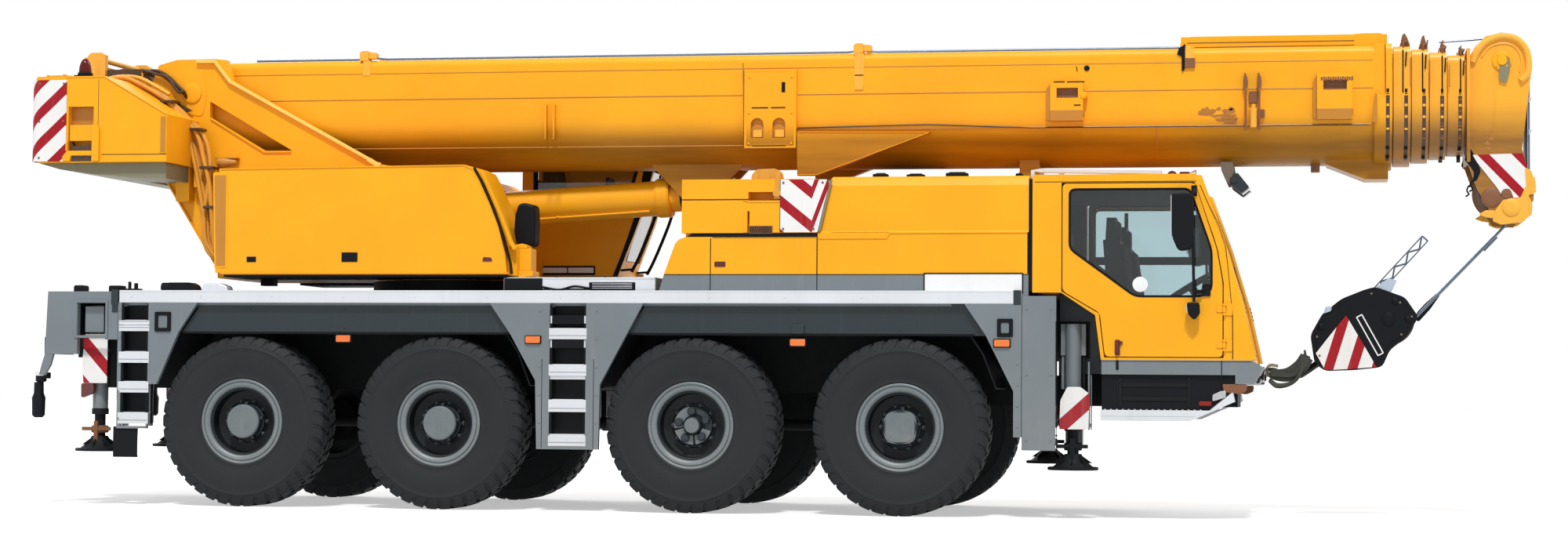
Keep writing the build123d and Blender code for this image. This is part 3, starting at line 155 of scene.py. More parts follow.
def lathe(profile, centre, axis="y", columns=48, hollow=False):
    """Profile of (radius, along) turned about an axis: point = centre + along + radius (cos, sin).

    A hollow one joins its last row to its first, any other is closed with a disc at each end.
    """
    profile = np.array(profile, float)
    a, b, c = AXES[axis]
    angle = around(columns)
    points = np.zeros((len(profile), columns, 3))
    points[..., a] = profile[:, :1] * np.cos(angle)
    points[..., b] = profile[:, :1] * np.sin(angle)
    points[..., c] = profile[:, 1:]
    shape = grid(points + np.array(centre), wrap_rows=hollow, wrap_columns=True, cap=not hollow)
    return outward(shape)


def outward(shape):
    """Faces turned over if the closed shape's signed volume is negative."""
    points, faces = shape
    volume = 0.0
    for size in {len(face) for face in faces}:
        group = points[np.array([face for face in faces if len(face) == size])]
        for k in range(1, size - 1):
            volume += np.einsum("ij,ij->", group[:, 0], np.cross(group[:, k], group[:, k + 1]))
    return (points, [face[::-1] for face in faces]) if volume < 0 else shape


def prism(outline, low, high, axis="y"):
    """Outline in the plane across an axis, carried from low to high along it.

    Along y the outline is (x, z), along x it is (y, z), along z it is (x, y).
    """
    outline = np.array(outline, float)
    a, b, across = PLANES[axis]
    points = np.zeros((2, len(outline), 3))
    points[..., a] = outline[:, 0]
    points[..., b] = outline[:, 1]
    points[0, :, across] = low
    points[1, :, across] = high
    return outward(grid(points, wrap_columns=True, cap=True))


def block(x0, x1, y0, y1, z0, z1, radius=0.0):
    """Block between two corners; a radius rounds its four edges that lie across the crane."""
    face = rectangle(x0, x1, z0, z1)
    return prism(rounded(face, radius) if radius else face, y0, y1)


def rounded(outline, radius, steps=4):
    """Each corner turned into a curve: (1 - t)^2 a + 2t(1 - t) corner + t^2 b."""
    corner = np.array(outline, float)
    ends = []
    for turn in (1, -1):
        way = np.roll(corner, turn, 0) - corner
        length = np.linalg.norm(way, axis=1)[:, None]
        ends.append(corner + way / length * np.minimum(radius, 0.45 * length))
    t = np.linspace(0, 1, steps + 1)[None, :, None]
    points = (1 - t) ** 2 * ends[0][:, None] + 2 * t * (1 - t) * corner[:, None]
    return (points + t ** 2 * ends[1][:, None]).reshape(-1, 2)


def inset(outline, distance):
    """Outline moved inwards: corner + distance (n1 + n2) / (1 + n1.n2), n the inward normals."""
    corner = np.array(outline, float)
    after = np.roll(corner, -1, 0)
    turn = np.sign(np.sum(corner[:, 0] * after[:, 1] - corner[:, 1] * after[:, 0]))
    way = (after - corner) / np.linalg.norm(after - corner, axis=1)[:, None]
    normal = turn * np.stack([-way[:, 1], way[:, 0]], -1)
    both_ways = normal + np.roll(normal, 1, 0)
    share = 1 + np.sum(normal * np.roll(normal, 1, 0), axis=1)[:, None]
    return corner + distance * both_ways / share


def inner_place(place, distance, radius=0.004):
    """Rounded rectangle a distance inside (x0, x1, z0, z1)."""
    x0, x1, z0, z1 = place
    return rounded(rectangle(x0 + distance, x1 - distance, z0 + distance, z1 - distance), radius)


def seen_from(outline, centre, angles):
    """Where rays from a centre cross an outline: s = -(ray x a) / (ray x side) along each side."""
    a = np.array(outline, float) - centre
    side = np.roll(a, -1, 0) - a
    ray = np.stack([np.cos(angles), np.sin(angles)], -1)[:, None]
    across = ray[..., 0] * side[:, 1] - ray[..., 1] * side[:, 0]
    across = np.where(np.abs(across) < 1e-12, 1e-12, across)
    s = -(ray[..., 0] * a[:, 1] - ray[..., 1] * a[:, 0]) / across
    far = np.sum(ray * (a + s[..., None] * side), -1)
    reach = np.where((s > -1e-06) & (s < 1 + 1e-06), far, 0).max(1)
    return centre + ray[:, 0] * reach[:, None]


def ring_plate(outer, inner, low, high, axis="y"):
    """Plate between two outlines, which both show all their corners to the inner one's middle."""
    outer, inner = np.array(outer, float), np.array(inner, float)
    centre = (inner.min(0) + inner.max(0)) / 2
    corners = np.vstack([outer, inner]) - centre
    angles = np.unique(np.round(np.arctan2(corners[:, 1], corners[:, 0]), 4))
    a, b, across = PLANES[axis]
    points = np.zeros((4, len(angles), 3))
    for row, (outline, along) in enumerate((
        (outer, low), (outer, high), (inner, high), (inner, low)
    )):
        flat = seen_from(outline, centre, angles)
        points[row, :, a] = flat[:, 0]
        points[row, :, b] = flat[:, 1]
        points[row, :, across] = along
    return outward(grid(points, wrap_rows=True, wrap_columns=True))


def rectangle(x0, x1, z0, z1):
    """Corners of a rectangle, in order."""
    corners = (x0, z0), (x1, z0), (x1, z1), (x0, z1)
    return list(corners)


def rotation(angle):
    """Turn about the upright axis."""
    return [
        (math.cos(angle), -math.sin(angle), 0), (math.sin(angle), math.cos(angle), 0), (0, 0, 1)
    ]


def dome(centre, radius, height, base=0.0, columns=24):
    """Round cap on a short wall: radius cos(a) at height sin(a)."""
    angle = np.linspace(0, math.pi / 2 * 0.96, 8)
    profile = [(radius, 0.0)] + [(
        radius * math.cos(a), base + (height - base) * math.sin(a)
    ) for a in angle]
    return lathe(profile, centre, "z", columns)


def circle(radius, columns, start=0.0):
    """Points (radius cos, radius sin) round a circle."""
    angle = around(columns) + start
    return np.stack([radius * np.cos(angle), radius * np.sin(angle)], -1)


def rail(path, section, closed=False):
    """Flat section (n, 2) carried along a path: point = path + u across + v over.

    Across and over stay square to the path's direction; over starts nearest to the axis
    that the path runs least along.
    """
    path, section = np.array(path, float), np.array(section, float)
    if closed:
        way = np.roll(path, -1, 0) - np.roll(path, 1, 0)
    else:
        way = np.gradient(path, axis=0)
    way /= np.linalg.norm(way, axis=1)[:, None]
    guide = np.eye(3)[np.argmin(np.abs(way).max(0))]
    across = np.cross(way, guide)
    across /= np.linalg.norm(across, axis=1)[:, None]
    over = np.cross(across, way)
    section = np.broadcast_to(section, (len(path),) + section.shape[-2:])
    points = path[:, None] + section[..., :1] * across[:, None] + section[..., 1:] * over[:, None]
    return outward(grid(points, wrap_rows=closed, wrap_columns=True, cap=not closed))


def tube(path, radius, sides=10, closed=False):
    """Round bar along a path; the radius may be one number or one for each point."""
    radius = np.broadcast_to(np.array(radius, float), (len(path),))
    return rail(path, radius[:, None, None] * circle(1.0, sides), closed)


def curve(points, count=24):
    """Smooth path through points: cubic runs whose slopes come from the points on both sides."""
    points = np.array(points, float)
    slope = np.gradient(points, axis=0)
    at = np.linspace(0, len(points) - 1, count)
    k = np.minimum(at.astype(int), len(points) - 2)
    t = (at - k)[:, None]
    a, b, ma, mb = points[k], points[k + 1], slope[k], slope[k + 1]
    cube = 2 * t ** 3 - 3 * t ** 2
    return (cube + 1) * a + (t ** 3 - 2 * t ** 2 + t) * ma - cube * b + (t ** 3 - t ** 2) * mb


def bent(points, count, radius, sides=10):
    """Round bar along a smooth path through points."""
    path = curve(points, count)
    return tube(path, radius, sides)


def bar(start, end, radius, sides=12):
    """Straight round bar."""
    return tube(np.linspace(start, end, 2), radius, sides)


def bolt_heads(places, normal_axis, sign, radius=0.012, height=0.008):
    """Six-sided heads standing on the places, along one axis."""
    c = "xyz".index(normal_axis)
    heads = []
    for place in places:
        profile = [(radius, 0), (radius, height * 0.8 * sign), (radius * 0.8, height * sign)]
        heads.append(lathe(profile, place, normal_axis, 6))
    return joined(*heads)


def piece(body, name, material, *shapes, slot=None, bevel=0.0, sharp=35, segments=2):
    """Object of the shapes on a body, moved from the rear axle's frame onto the crane.

    Without a slot of its own it takes the one that its material belongs to.
    """
    slot = slot or USUAL_SLOT.get(material.name, "rail_aluminium")
    points, faces = joined(*shapes)
    points = points + np.array([REAR_AXLE, 0, 0])
    mesh = bpy.data.meshes.new(name)
    mesh.from_pydata(points.tolist(), [], faces)
    mesh.validate()
    mesh.polygons.foreach_set("use_smooth", np.ones(len(mesh.polygons), bool))
    mesh.set_sharp_from_angle(angle=math.radians(sharp))
    obj = bpy.data.objects.new(name, mesh)
    scene.collection.objects.link(obj)
    mesh.materials.append(material)
    if bevel:
        cut = obj.modifiers.new("bevel", "BEVEL")
        cut.width = bevel
        cut.segments = segments
        cut.limit_method = "ANGLE"
        cut.angle_limit = math.radians(40)
        cut.harden_normals = True
    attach(obj, body)
    return obj


on_carrier = partial(piece, "carrier")
on_superstructure = partial(piece, "superstructure")
on_barrel = partial(piece, "luff_barrel")
on_boom = partial(piece, "boom")
on_head = partial(piece, "section_5")
on_operator_door = partial(piece, "operator_door")


# ------------------------------------------------------------------ material groups
def new_group(name, inputs, outputs):
    """Shader node group with named sockets; inputs are (name, kind, default)."""
    group = bpy.data.node_groups.new(name, "ShaderNodeTree")
    for label, kind, value in inputs:
        socket = group.interface.new_socket(label, in_out="INPUT", socket_type=kind)
        socket.default_value = value
    for label, kind in outputs:
        group.interface.new_socket(label, in_out="OUTPUT", socket_type=kind)
    return group, group.nodes.new("NodeGroupInput"), group.nodes.new("NodeGroupOutput")


COLOUR, NUMBER = "NodeSocketColor", "NodeSocketFloat"


def node(tree, kind, links=(), **values):
    """Node with settings and linked inputs; links are (input, source socket or value)."""
    made = tree.nodes.new(kind)
    for key, value in values.items():
        setattr(made, key, value)
    for key, source in links:
        if isinstance(source, bpy.types.NodeSocket):
            tree.links.new(source, made.inputs[key])
        else:
            made.inputs[key].default_value = source
    return made


def noise(tree, where, scale, detail=4.0, rough=0.55):
    """Cloudy value from 0 to 1."""
    return node(tree, "ShaderNodeTexNoise", [
        ("Vector", where), ("Scale", scale), ("Detail", detail), ("Roughness", rough)
    ]).outputs[0]


def ramp(tree, value, low, high, to_low=0.0, to_high=1.0):
    """Value from low to high spread smoothly over to_low to to_high."""
    made = node(
        tree, "ShaderNodeMapRange", [(0, value), (1, low), (2, high), (3, to_low), (4, to_high)],
        interpolation_type="SMOOTHSTEP"
    )
    return made.outputs[0]


def maths(tree, kind, a, b=0.0):
    """Result of a sum, product or the like."""
    return node(tree, "ShaderNodeMath", [(0, a), (1, b)], operation=kind).outputs[0]


def mixed(tree, share, a, b):
    """Colour a blended towards b by the share."""
    made = node(tree, "ShaderNodeMix", data_type="RGBA")
    for key, source in ((0, share), (6, a), (7, b)):
        if isinstance(source, bpy.types.NodeSocket):
            tree.links.new(source, made.inputs[key])
        else:
            made.inputs[key].default_value = source
    return made.outputs[2]


def build_weather():
    """Road weather on paint: cloudy tone, rain streaks down the sides, dust low and on ledges."""
    group, start, end = new_group(
        "weather",
        [
            ("Colour", COLOUR, (0.5, 0.5, 0.5, 1)), ("Dust Colour", COLOUR, (0.35, 0.31, 0.26, 1)),
            ("Dust", NUMBER, 0.3), ("Streaks", NUMBER, 0.2), ("Roughness", NUMBER, 0.35)
        ],
        [("Colour", COLOUR), ("Roughness", NUMBER), ("Height", NUMBER)]
    )
    where = node(group, "ShaderNodeTexCoord").outputs["Object"]
    level = node(group, "ShaderNodeSeparateXYZ", [(0, where)]).outputs["Z"]
    upward = node(
        group, "ShaderNodeSeparateXYZ",
        [(0, node(group, "ShaderNodeNewGeometry").outputs["Normal"])]
    ).outputs["Z"]
    cloud = noise(group, where, 1.7, 5.0)
    stretched = node(group, "ShaderNodeMapping", [("Vector", where), ("Scale", (7, 7, 0.55))])
    streak = ramp(group, noise(group, stretched.outputs[0], 2.2, 6.0, 0.65), 0.52, 0.74)
    grain = noise(group, where, 55.0, 6.0, 0.7)
    fine = noise(group, where, 9.0, 8.0, 0.7)
    low = ramp(group, level, 1.5, 0.35)
    ledge = maths(group, "MULTIPLY", ramp(group, upward, 0.6, 0.95), 0.55)
    settled = maths(group, "ADD", maths(group, "MULTIPLY", low, 0.8), ledge)
    settled = maths(group, "MULTIPLY", settled, ramp(group, fine, 0.28, 0.72, 0.35, 1.0))
    dust = maths(group, "MULTIPLY", settled, start.outputs["Dust"])
    marks = maths(group, "MULTIPLY", streak, start.outputs["Streaks"])
    dark = node(group, "ShaderNodeMix", data_type="RGBA", blend_type="MULTIPLY")
    group.links.new(start.outputs["Colour"], dark.inputs[6])
    shade = mixed(group, ramp(group, cloud, 0.3, 0.7), (0.93, 0.92, 0.91, 1), (1, 1, 1, 1))
    dark.inputs[0].default_value = 1.0
    group.links.new(shade, dark.inputs[7])
    tinted = mixed(group, marks, dark.outputs[2], start.outputs["Dust Colour"])
    final = mixed(group, dust, tinted, start.outputs["Dust Colour"])
    group.links.new(final, end.inputs["Colour"])
    rough = maths(group, "ADD", start.outputs["Roughness"], maths(group, "MULTIPLY", dust, 0.35))
    rough = maths(group, "ADD", rough, ramp(group, fine, 0.3, 0.7, -0.04, 0.06))
    group.links.new(rough, end.inputs["Roughness"])
    group.links.new(grain, end.inputs["Height"])
    return group


WEATHER = build_weather()
# brown-black that the downward darkening blends to: painted shade with a little oil
OIL_AND_SHADE = 0.16, 0.06, 0.004, 1
CRANE_YELLOW = 0.9, 0.398, 0.008
OCHRE_DUST = 0.42, 0.2, 0.04
STRIPE_WHITE, STRIPE_RED = (0.8, 0.8, 0.79, 1), (0.34, 0.006, 0.014, 1)


def painted(
    name, colour, dust=0.3, streaks=0.12, rough=0.34,
    metal=0.0, coat=0.0, bump=0.03, dirt=None, shade_and_oil=None, shine=0.5,
):
    """Paint or bare metal with road weather; a (top, bottom, share) triple darkens it downwards
    towards brown-black: painted shade with a little oil.
    """
    material = bpy.data.materials.new(name)
    material.use_nodes = True
    tree = material.node_tree
    shader = tree.nodes["Principled BSDF"]
    weather = node(tree, "ShaderNodeGroup", node_tree=WEATHER)
    weather.inputs["Colour"].default_value = *colour, 1
    if dirt:
        weather.inputs["Dust Colour"].default_value = *dirt, 1
    weather.inputs["Dust"].default_value = dust
    weather.inputs["Streaks"].default_value = streaks
    weather.inputs["Roughness"].default_value = rough
    surface = weather.outputs["Colour"]
    # painted shade with a little oil: darker from top down to bottom, in cloudy patches
    if shade_and_oil:
        where = node(tree, "ShaderNodeTexCoord").outputs["Object"]
        level = node(tree, "ShaderNodeSeparateXYZ", [(0, where)]).outputs["Z"]
        drawn = node(tree, "ShaderNodeMapping", [("Vector", where), ("Scale", (0.5, 2.0, 5.0))])
        patch = ramp(tree, noise(tree, drawn.outputs[0], 1.6, 5.0), 0.3, 0.72, 0.72, 1.0)
        low = maths(tree, "MULTIPLY", ramp(tree, level, shade_and_oil[0], shade_and_oil[1]), shade_and_oil[2])
        surface = mixed(tree, maths(tree, "MULTIPLY", low, patch), surface, OIL_AND_SHADE)
    tree.links.new(surface, shader.inputs["Base Color"])
    tree.links.new(weather.outputs["Roughness"], shader.inputs["Roughness"])
    raised = node(tree, "ShaderNodeBump", [
        ("Height", weather.outputs["Height"]), ("Strength", bump), ("Distance", 0.002)
    ])
    tree.links.new(raised.outputs[0], shader.inputs["Normal"])
    shader.inputs["Metallic"].default_value = metal
    shader.inputs["Coat Weight"].default_value = coat
    shader.inputs["Specular IOR Level"].default_value = shine
    shader.inputs["Coat Roughness"].default_value = 0.12
    return material


YELLOW = painted(
    "crane_yellow", CRANE_YELLOW, 0.07, 0.05, 0.4, coat=0.03, dirt=OCHRE_DUST, shine=0.25
)
# boom yellow that darkens towards the belly: painted shade under the boom, with a little oil
YELLOW_BOOM = painted(
    "boom_yellow_shade_and_oil", (0.9, 0.398, 0.01), 0.07, 0.05, 0.4, coat=0.03, dirt=OCHRE_DUST,
    shade_and_oil=(3.16, 2.93, 0.8), shine=0.25
)
# sections' yellow that darkens towards the belly: painted shade, with oil and dirt
YELLOW_SLEEVE = painted(
    "sleeve_yellow_shade_and_oil", (0.86, 0.385, 0.014), 0.12, 0.16, 0.4, dirt=(0.2, 0.08, 0.02),
    shade_and_oil=(3.3, 2.92, 0.92)
)
# darker copy of the crane yellow: painted shade in recesses, under edges and behind parts, and the
# colour of some seams and weld beads
SHADE_AND_SEAM_YELLOW = painted(
    "painted_shade_and_seam_yellow", (0.5, 0.205, 0.014), 0.25, 0.15, 0.45, dirt=(0.22, 0.12, 0.04)
)
YELLOW_WORN = painted("worn_yellow", (0.86, 0.42, 0.035), 0.45, 0.35, 0.45, dirt=(0.3, 0.13, 0.04))
WORN_PAINT = painted(
    "worn_paint", (0.4, 0.155, 0.02), 0.6, 0.5, 0.6, bump=0.2, dirt=(0.11, 0.05, 0.02)
)
BLUE_PALE = painted("pale_blue_guard", (0.42, 0.5, 0.6), 0.2, 0.2, 0.35, metal=0.3)
GREY = painted("carrier_grey", (0.155, 0.185, 0.205), 0.25, 0.12, 0.42)
SLATE = painted(
    "fender_slate", (0.016, 0.025, 0.031), 0.22, 0.1, 0.4, dirt=(0.06, 0.07, 0.075), shine=0.35
)
CHASSIS = painted(
    "chassis_black", (0.006, 0.0075, 0.009), 0.2, 0.1, 0.6, dirt=(0.025, 0.024, 0.022), shine=0.15
)
BLACK = painted(
    "trim_black", (0.005, 0.006, 0.008), 0.12, 0.05, 0.5, dirt=(0.03, 0.03, 0.03), shine=0.12
)
ALUMINIUM = painted("deck_aluminium", (0.66, 0.69, 0.73), 0.22, 0.1, 0.38, metal=0.35)
CHROME = painted("rod_chrome", (0.72, 0.73, 0.75), 0.02, 0.02, 0.12, metal=1.0, bump=0.0)
STEEL = painted("winch_steel", (0.17, 0.13, 0.1), 0.2, 0.2, 0.5, metal=0.6)
RUBBER = painted(
    "tyre_rubber", (0.0125, 0.015, 0.017), 0.35, 0.05, 0.66, bump=0.25, dirt=(0.04, 0.043, 0.045),
    shine=0.25
)
RIM = painted("rim_grey", (0.14, 0.175, 0.192), 0.3, 0.25, 0.42, metal=0.2)
# near black for the rim's dish and barrel behind the ring: painted shade inside the deep rim
RIM_DISH_SHADE = painted(
    "rim_dish_painted_shade", (0.003, 0.006, 0.0075), 0.2, 0.3, 0.5, dirt=(0.018, 0.024, 0.025), shine=0.25
)
HUB_GREY = painted("hub_grey", (0.095, 0.13, 0.148), 0.35, 0.25, 0.5, bump=0.15)
WHITE = painted("plate_white", (0.8, 0.81, 0.83), 0.1, 0.06, 0.4)
RED_DARK = painted("dark_red_plastic", (0.1, 0.008, 0.008), 0.15, 0.05, 0.35)
RUST = painted("worn_brown", (0.2, 0.075, 0.025), 0.3, 0.4, 0.6, bump=0.3, dirt=(0.06, 0.03, 0.015))
GREASE = painted(
    "greased_steel", (0.055, 0.024, 0.01), 0.3, 0.5, 0.42, bump=0.3, dirt=(0.16, 0.07, 0.02)
)
OLIVE = painted("pan_olive", (0.2, 0.19, 0.115), 0.2, 0.35, 0.5, dirt=(0.1, 0.1, 0.075))
FABRIC = painted(
    "seat_fabric", (0.018, 0.022, 0.027), 0.1, 0.05, 0.9, bump=0.5, dirt=(0.04, 0.04, 0.04),
    shine=0.1
)
# pale yellow for the brace's upper edge: painted highlight
HIGHLIGHT_YELLOW = painted("painted_highlight_yellow", (0.94, 0.6, 0.13), 0.1, 0.15, 0.4, dirt=(0.6, 0.3, 0.06))
HOSE = painted("dusty_hose", (0.68, 0.3, 0.025), 0.4, 0.5, 0.6, bump=0.2, dirt=(0.22, 0.1, 0.03))
BLUE_GREY = painted("rope_steel", (0.12, 0.15, 0.2), 0.1, 0.2, 0.35, metal=0.8)
TEXTILE = painted("sling_textile", (0.035, 0.04, 0.034), 0.3, 0.2, 0.9, bump=0.6)


def striped(name, along_x, along_y, period, share, start, apex=None, slopes=(1.0, 1.0)):
    """Red bands on white where frac((z + a x + b |y| - start) / period) is below the share.

    With an apex the level is z - slope * distance from the apex instead, which folds the bands.
    """
    material = painted(name, (0.8, 0.8, 0.8), 0.12, 0.08, 0.45, dirt=(0.4, 0.36, 0.34), shine=0.2)
    tree = material.node_tree
    where = node(tree, "ShaderNodeTexCoord").outputs["Object"]
    axes = node(tree, "ShaderNodeSeparateXYZ", [(0, where)]).outputs
    x = maths(tree, "SUBTRACT", axes[0], REAR_AXLE)
    if apex is None:
        level = maths(tree, "MULTIPLY_ADD", x, along_x)
        level.node.inputs[2].default_value = -start
        wide = maths(tree, "MULTIPLY", maths(tree, "ABSOLUTE", axes[1]), along_y)
        level = maths(tree, "ADD", maths(tree, "ADD", level, wide), axes[2])
    else:
        rear = maths(tree, "MAXIMUM", maths(tree, "SUBTRACT", apex, x), 0.0)
        front = maths(tree, "MAXIMUM", maths(tree, "SUBTRACT", x, apex), 0.0)
        level = maths(tree, "SUBTRACT", axes[2], start)
        level = maths(tree, "SUBTRACT", level, maths(tree, "MULTIPLY", rear, slopes[0]))
        level = maths(tree, "SUBTRACT", level, maths(tree, "MULTIPLY", front, slopes[1]))
    band = maths(tree, "FRACT", maths(tree, "DIVIDE", level, period))
    red = maths(tree, "LESS_THAN", band, share)
    weather = next((n for n in tree.nodes if n.type == "GROUP"))
    tree.links.new(mixed(tree, red, STRIPE_WHITE, STRIPE_RED), weather.inputs["Colour"])
    return material


def glass(name, colour, rough=0.03, share=0.85):
    """Tinted safety glass."""
    material = bpy.data.materials.new(name)
    material.use_nodes = True
    shader = material.node_tree.nodes["Principled BSDF"]
    shader.inputs["Base Color"].default_value = *colour, 1
    shader.inputs["Roughness"].default_value = rough
    shader.inputs["IOR"].default_value = 1.45
    shader.inputs["Specular IOR Level"].default_value = 0.2
    shader.inputs["Transmission Weight"].default_value = share
    return material


GLASS = glass("cab_glass", (0.86, 0.92, 0.94), share=0.98)
GLASS_BLUE = glass("cab_glass_blue", (0.62, 0.74, 0.76), share=1.0)
AMBER = glass("amber_lens", (0.95, 0.18, 0.01), 0.2, 0.25)
RED_LENS = glass("red_lens", (0.35, 0.01, 0.01), 0.2, 0.3)
RED_LENS_DARK = glass("dark_red_lens", (0.12, 0.004, 0.004), 0.12, 0.3)
CLEAR_LENS = glass("clear_lens", (0.85, 0.88, 0.9), 0.12, 0.5)
SMOKED = glass("smoked_visor", (0.05, 0.06, 0.06), 0.08, 0.4)
ORANGE = painted("marker_orange", (0.8, 0.17, 0.012), 0.05, 0.05, 0.25, coat=0.4)


def chequer(name, colour):
    """Tread plate: short bars on a grid whose direction swaps from cell to cell, as bump."""
    material = painted(name, colour, 0.35, 0.1, 0.42, metal=0.4)
    tree = material.node_tree
    where = node(tree, "ShaderNodeTexCoord").outputs["Object"]
    cells = node(
        tree, "ShaderNodeVectorMath", [(0, where), (3, 36.0)], operation="SCALE"
    ).outputs[0]
    axes = node(tree, "ShaderNodeSeparateXYZ", [(0, cells)]).outputs
    swap = maths(tree, "FLOORED_MODULO", maths(
        tree, "ADD", maths(tree, "FLOOR", axes[0]), maths(tree, "FLOOR", axes[1])
    ), 2.0)
    u = maths(tree, "ABSOLUTE", maths(tree, "SUBTRACT", maths(tree, "FRACT", axes[0]), 0.5))
    v = maths(tree, "ABSOLUTE", maths(tree, "SUBTRACT", maths(tree, "FRACT", axes[1]), 0.5))
    flat = maths(tree, "MULTIPLY", ramp(tree, u, 0.16, 0.08), ramp(tree, v, 0.44, 0.36))
    tall = maths(tree, "MULTIPLY", ramp(tree, v, 0.16, 0.08), ramp(tree, u, 0.44, 0.36))
    height = maths(
        tree, "ADD", maths(tree, "MULTIPLY", flat, swap),
        maths(tree, "MULTIPLY", tall, maths(tree, "SUBTRACT", 1.0, swap))
    )
    old = tree.nodes["Principled BSDF"].inputs["Normal"].links[0].from_node
    made = node(tree, "ShaderNodeBump", [
        ("Height", height), ("Strength", 0.7), ("Distance", 0.003), ("Normal", old.outputs[0])
    ])
    tree.links.new(made.outputs[0], tree.nodes["Principled BSDF"].inputs["Normal"])
    return material


TREAD = chequer("deck_tread", (0.3, 0.32, 0.34))
# the slot that each finish belongs to; the striped plates are aluminium
SLOT_FINISHES = {
    "boom_yellow": (YELLOW, SHADE_AND_SEAM_YELLOW, YELLOW_WORN, HIGHLIGHT_YELLOW, HOSE),
    "carrier_grey": (GREY, RIM_DISH_SHADE, HUB_GREY), "fender_slate": (SLATE,),
    "chassis_dark": (CHASSIS,), "rail_aluminium": (ALUMINIUM, WHITE, BLUE_PALE, TREAD, RIM),
    "tyre_rubber": (RUBBER,),
    "trim_black": (BLACK, RED_DARK, AMBER, RED_LENS_DARK, FABRIC, ORANGE, TEXTILE),
    "cab_glass": (GLASS_BLUE, CLEAR_LENS, RED_LENS, SMOKED), "rod_chrome": (CHROME,),
    "winch_steel": (STEEL, RUST, GREASE, OLIVE, BLUE_GREY, WORN_PAINT)
}
USUAL_SLOT = {made.name: slot for slot, group in SLOT_FINISHES.items() for made in group}
SLOT_MATERIALS = {
    "boom_yellow": YELLOW, "carrier_grey": GREY, "fender_slate": SLATE, "chassis_dark": CHASSIS,
    "rail_aluminium": ALUMINIUM, "tyre_rubber": RUBBER, "trim_black": BLACK, "cab_glass": GLASS,
    "rod_chrome": CHROME, "winch_steel": STEEL, "hook_black": BLACK
}
for row in record["subparts"]:
    cad = frame["nodes"][row["node"]]
    cad.data.materials.clear()
    material = SLOT_MATERIALS[row["material_slot"]]
    if material is YELLOW and row["node"].startswith("boom_"):
        material = YELLOW_SLEEVE if "section" in row["node"] else YELLOW_BOOM
    cad.data.materials.append(material)

# ------------------------------------------------------------------ wheels
TYRE_PITCHES = 38
# outer half of the tyre from the bead to the middle: radius, distance from the middle plane,
# share of a shoulder groove, share of a zigzag
TYRE_ROWS = [
    (0.323, 0.15, 0, 0), (0.346, 0.171, 0, 0), (0.354, 0.176, 0, 0), (0.366, 0.1715, 0, 0),
    (0.4, 0.181, 0, 0), (0.45, 0.1895, 0, 0), (0.505, 0.1925, 0, 0), (0.55, 0.1905, 0, 0),
    (0.578, 0.187, 0, 0), (0.583, 0.1895, 0, 0), (0.592, 0.189, 0, 0), (0.596, 0.185, 0, 0),
    (0.612, 0.1815, 0, 0), (0.616, 0.18, 0.75, 0), (0.645, 0.168, 1, 0), (0.668, 0.155, 1, 0),
    (0.681, 0.144, 1, 0), (0.685, 0.136, 1, 0), (0.685, 0.093, 1, 1), (0.668, 0.09, 0, 1),
    (0.668, 0.078, 0, 1), (0.685, 0.075, 0.7, 1), (0.685, 0.012, 0.7, 1), (0.67, 0.009, 0, 1)
]


def tyre(x, side):
    """Tyre as rows across it times columns round it; grooves lower the rows' radius.

    radius = row radius - groove depth * (column lies in a groove) * row share, and the middle
    rows' distance wanders by a triangle wave, which makes the zigzag ribs.
    """
    half = np.array(TYRE_ROWS)
    other = half[::-1] * np.array([1, -1, 1, 1])
    rows = np.vstack([half, other])
    sign = np.sign(rows[:, 1])
    steps = np.array([0.0, 0.03, 0.3, 0.33, 0.66])
    groove = np.array([0, 1, 1, 0, 0])
    pitch = (np.arange(TYRE_PITCHES)[:, None] + steps).ravel()
    in_groove = np.tile(groove, TYRE_PITCHES)
    lean = 0.35 * (np.abs(rows[:, 1]) / 0.14) ** 2 + np.where(sign > 0, 0.0, 0.5)
    angle = TAU / TYRE_PITCHES * (pitch[None] + lean[:, None] * (rows[:, 2:3] > 0))
    wave = np.abs(pitch % 1.0 * 2 - 1) - 0.5
    radius = rows[:, :1] * (TYRE_R / rows[:, 0].max()) - 0.016 * rows[:, 2:3] * in_groove[None]
    along = rows[:, 1:2] + 0.012 * rows[:, 3:4] * wave[None] * sign[:, None]
    points = np.stack([
        x + radius * np.cos(angle), WHEEL_Y + along, WHEEL_Z + radius * np.sin(angle)
    ], -1)
    return on_side(side, outward(grid(points, wrap_columns=True, wrap_rows=True)))


RIM_PROFILE = [
    (0.3, -0.165), (0.338, -0.168), (0.34, -0.152), (0.322, -0.15), (0.312, -0.1), (0.312, 0.1),
    (0.322, 0.15), (0.338, 0.152), (0.343, 0.158), (0.342, 0.166), (0.334, 0.17), (0.322, 0.166),
    (0.318, 0.158), (0.314, 0.158), (0.31, 0.168), (0.296, 0.17), (0.278, 0.16), (0.262, 0.146),
    (0.254, 0.13), (0.25, 0.06), (0.246, 0.034), (0.225, 0.026), (0.176, 0.026), (0.17, 0.02),
    (0.1, 0.02), (0.1, 0.0), (0.285, 0.0), (0.292, -0.06)
]


# the ring that shows from outside, and the dish and barrel behind it
RIM_RING = [(0.312, 0.14)] + RIM_PROFILE[6:17] + [(0.272, 0.15), (0.272, 0.14)]
RIM_DISH = RIM_PROFILE[:6] + [(0.312, 0.1395), (0.2715, 0.1395)] + RIM_PROFILE[18:]


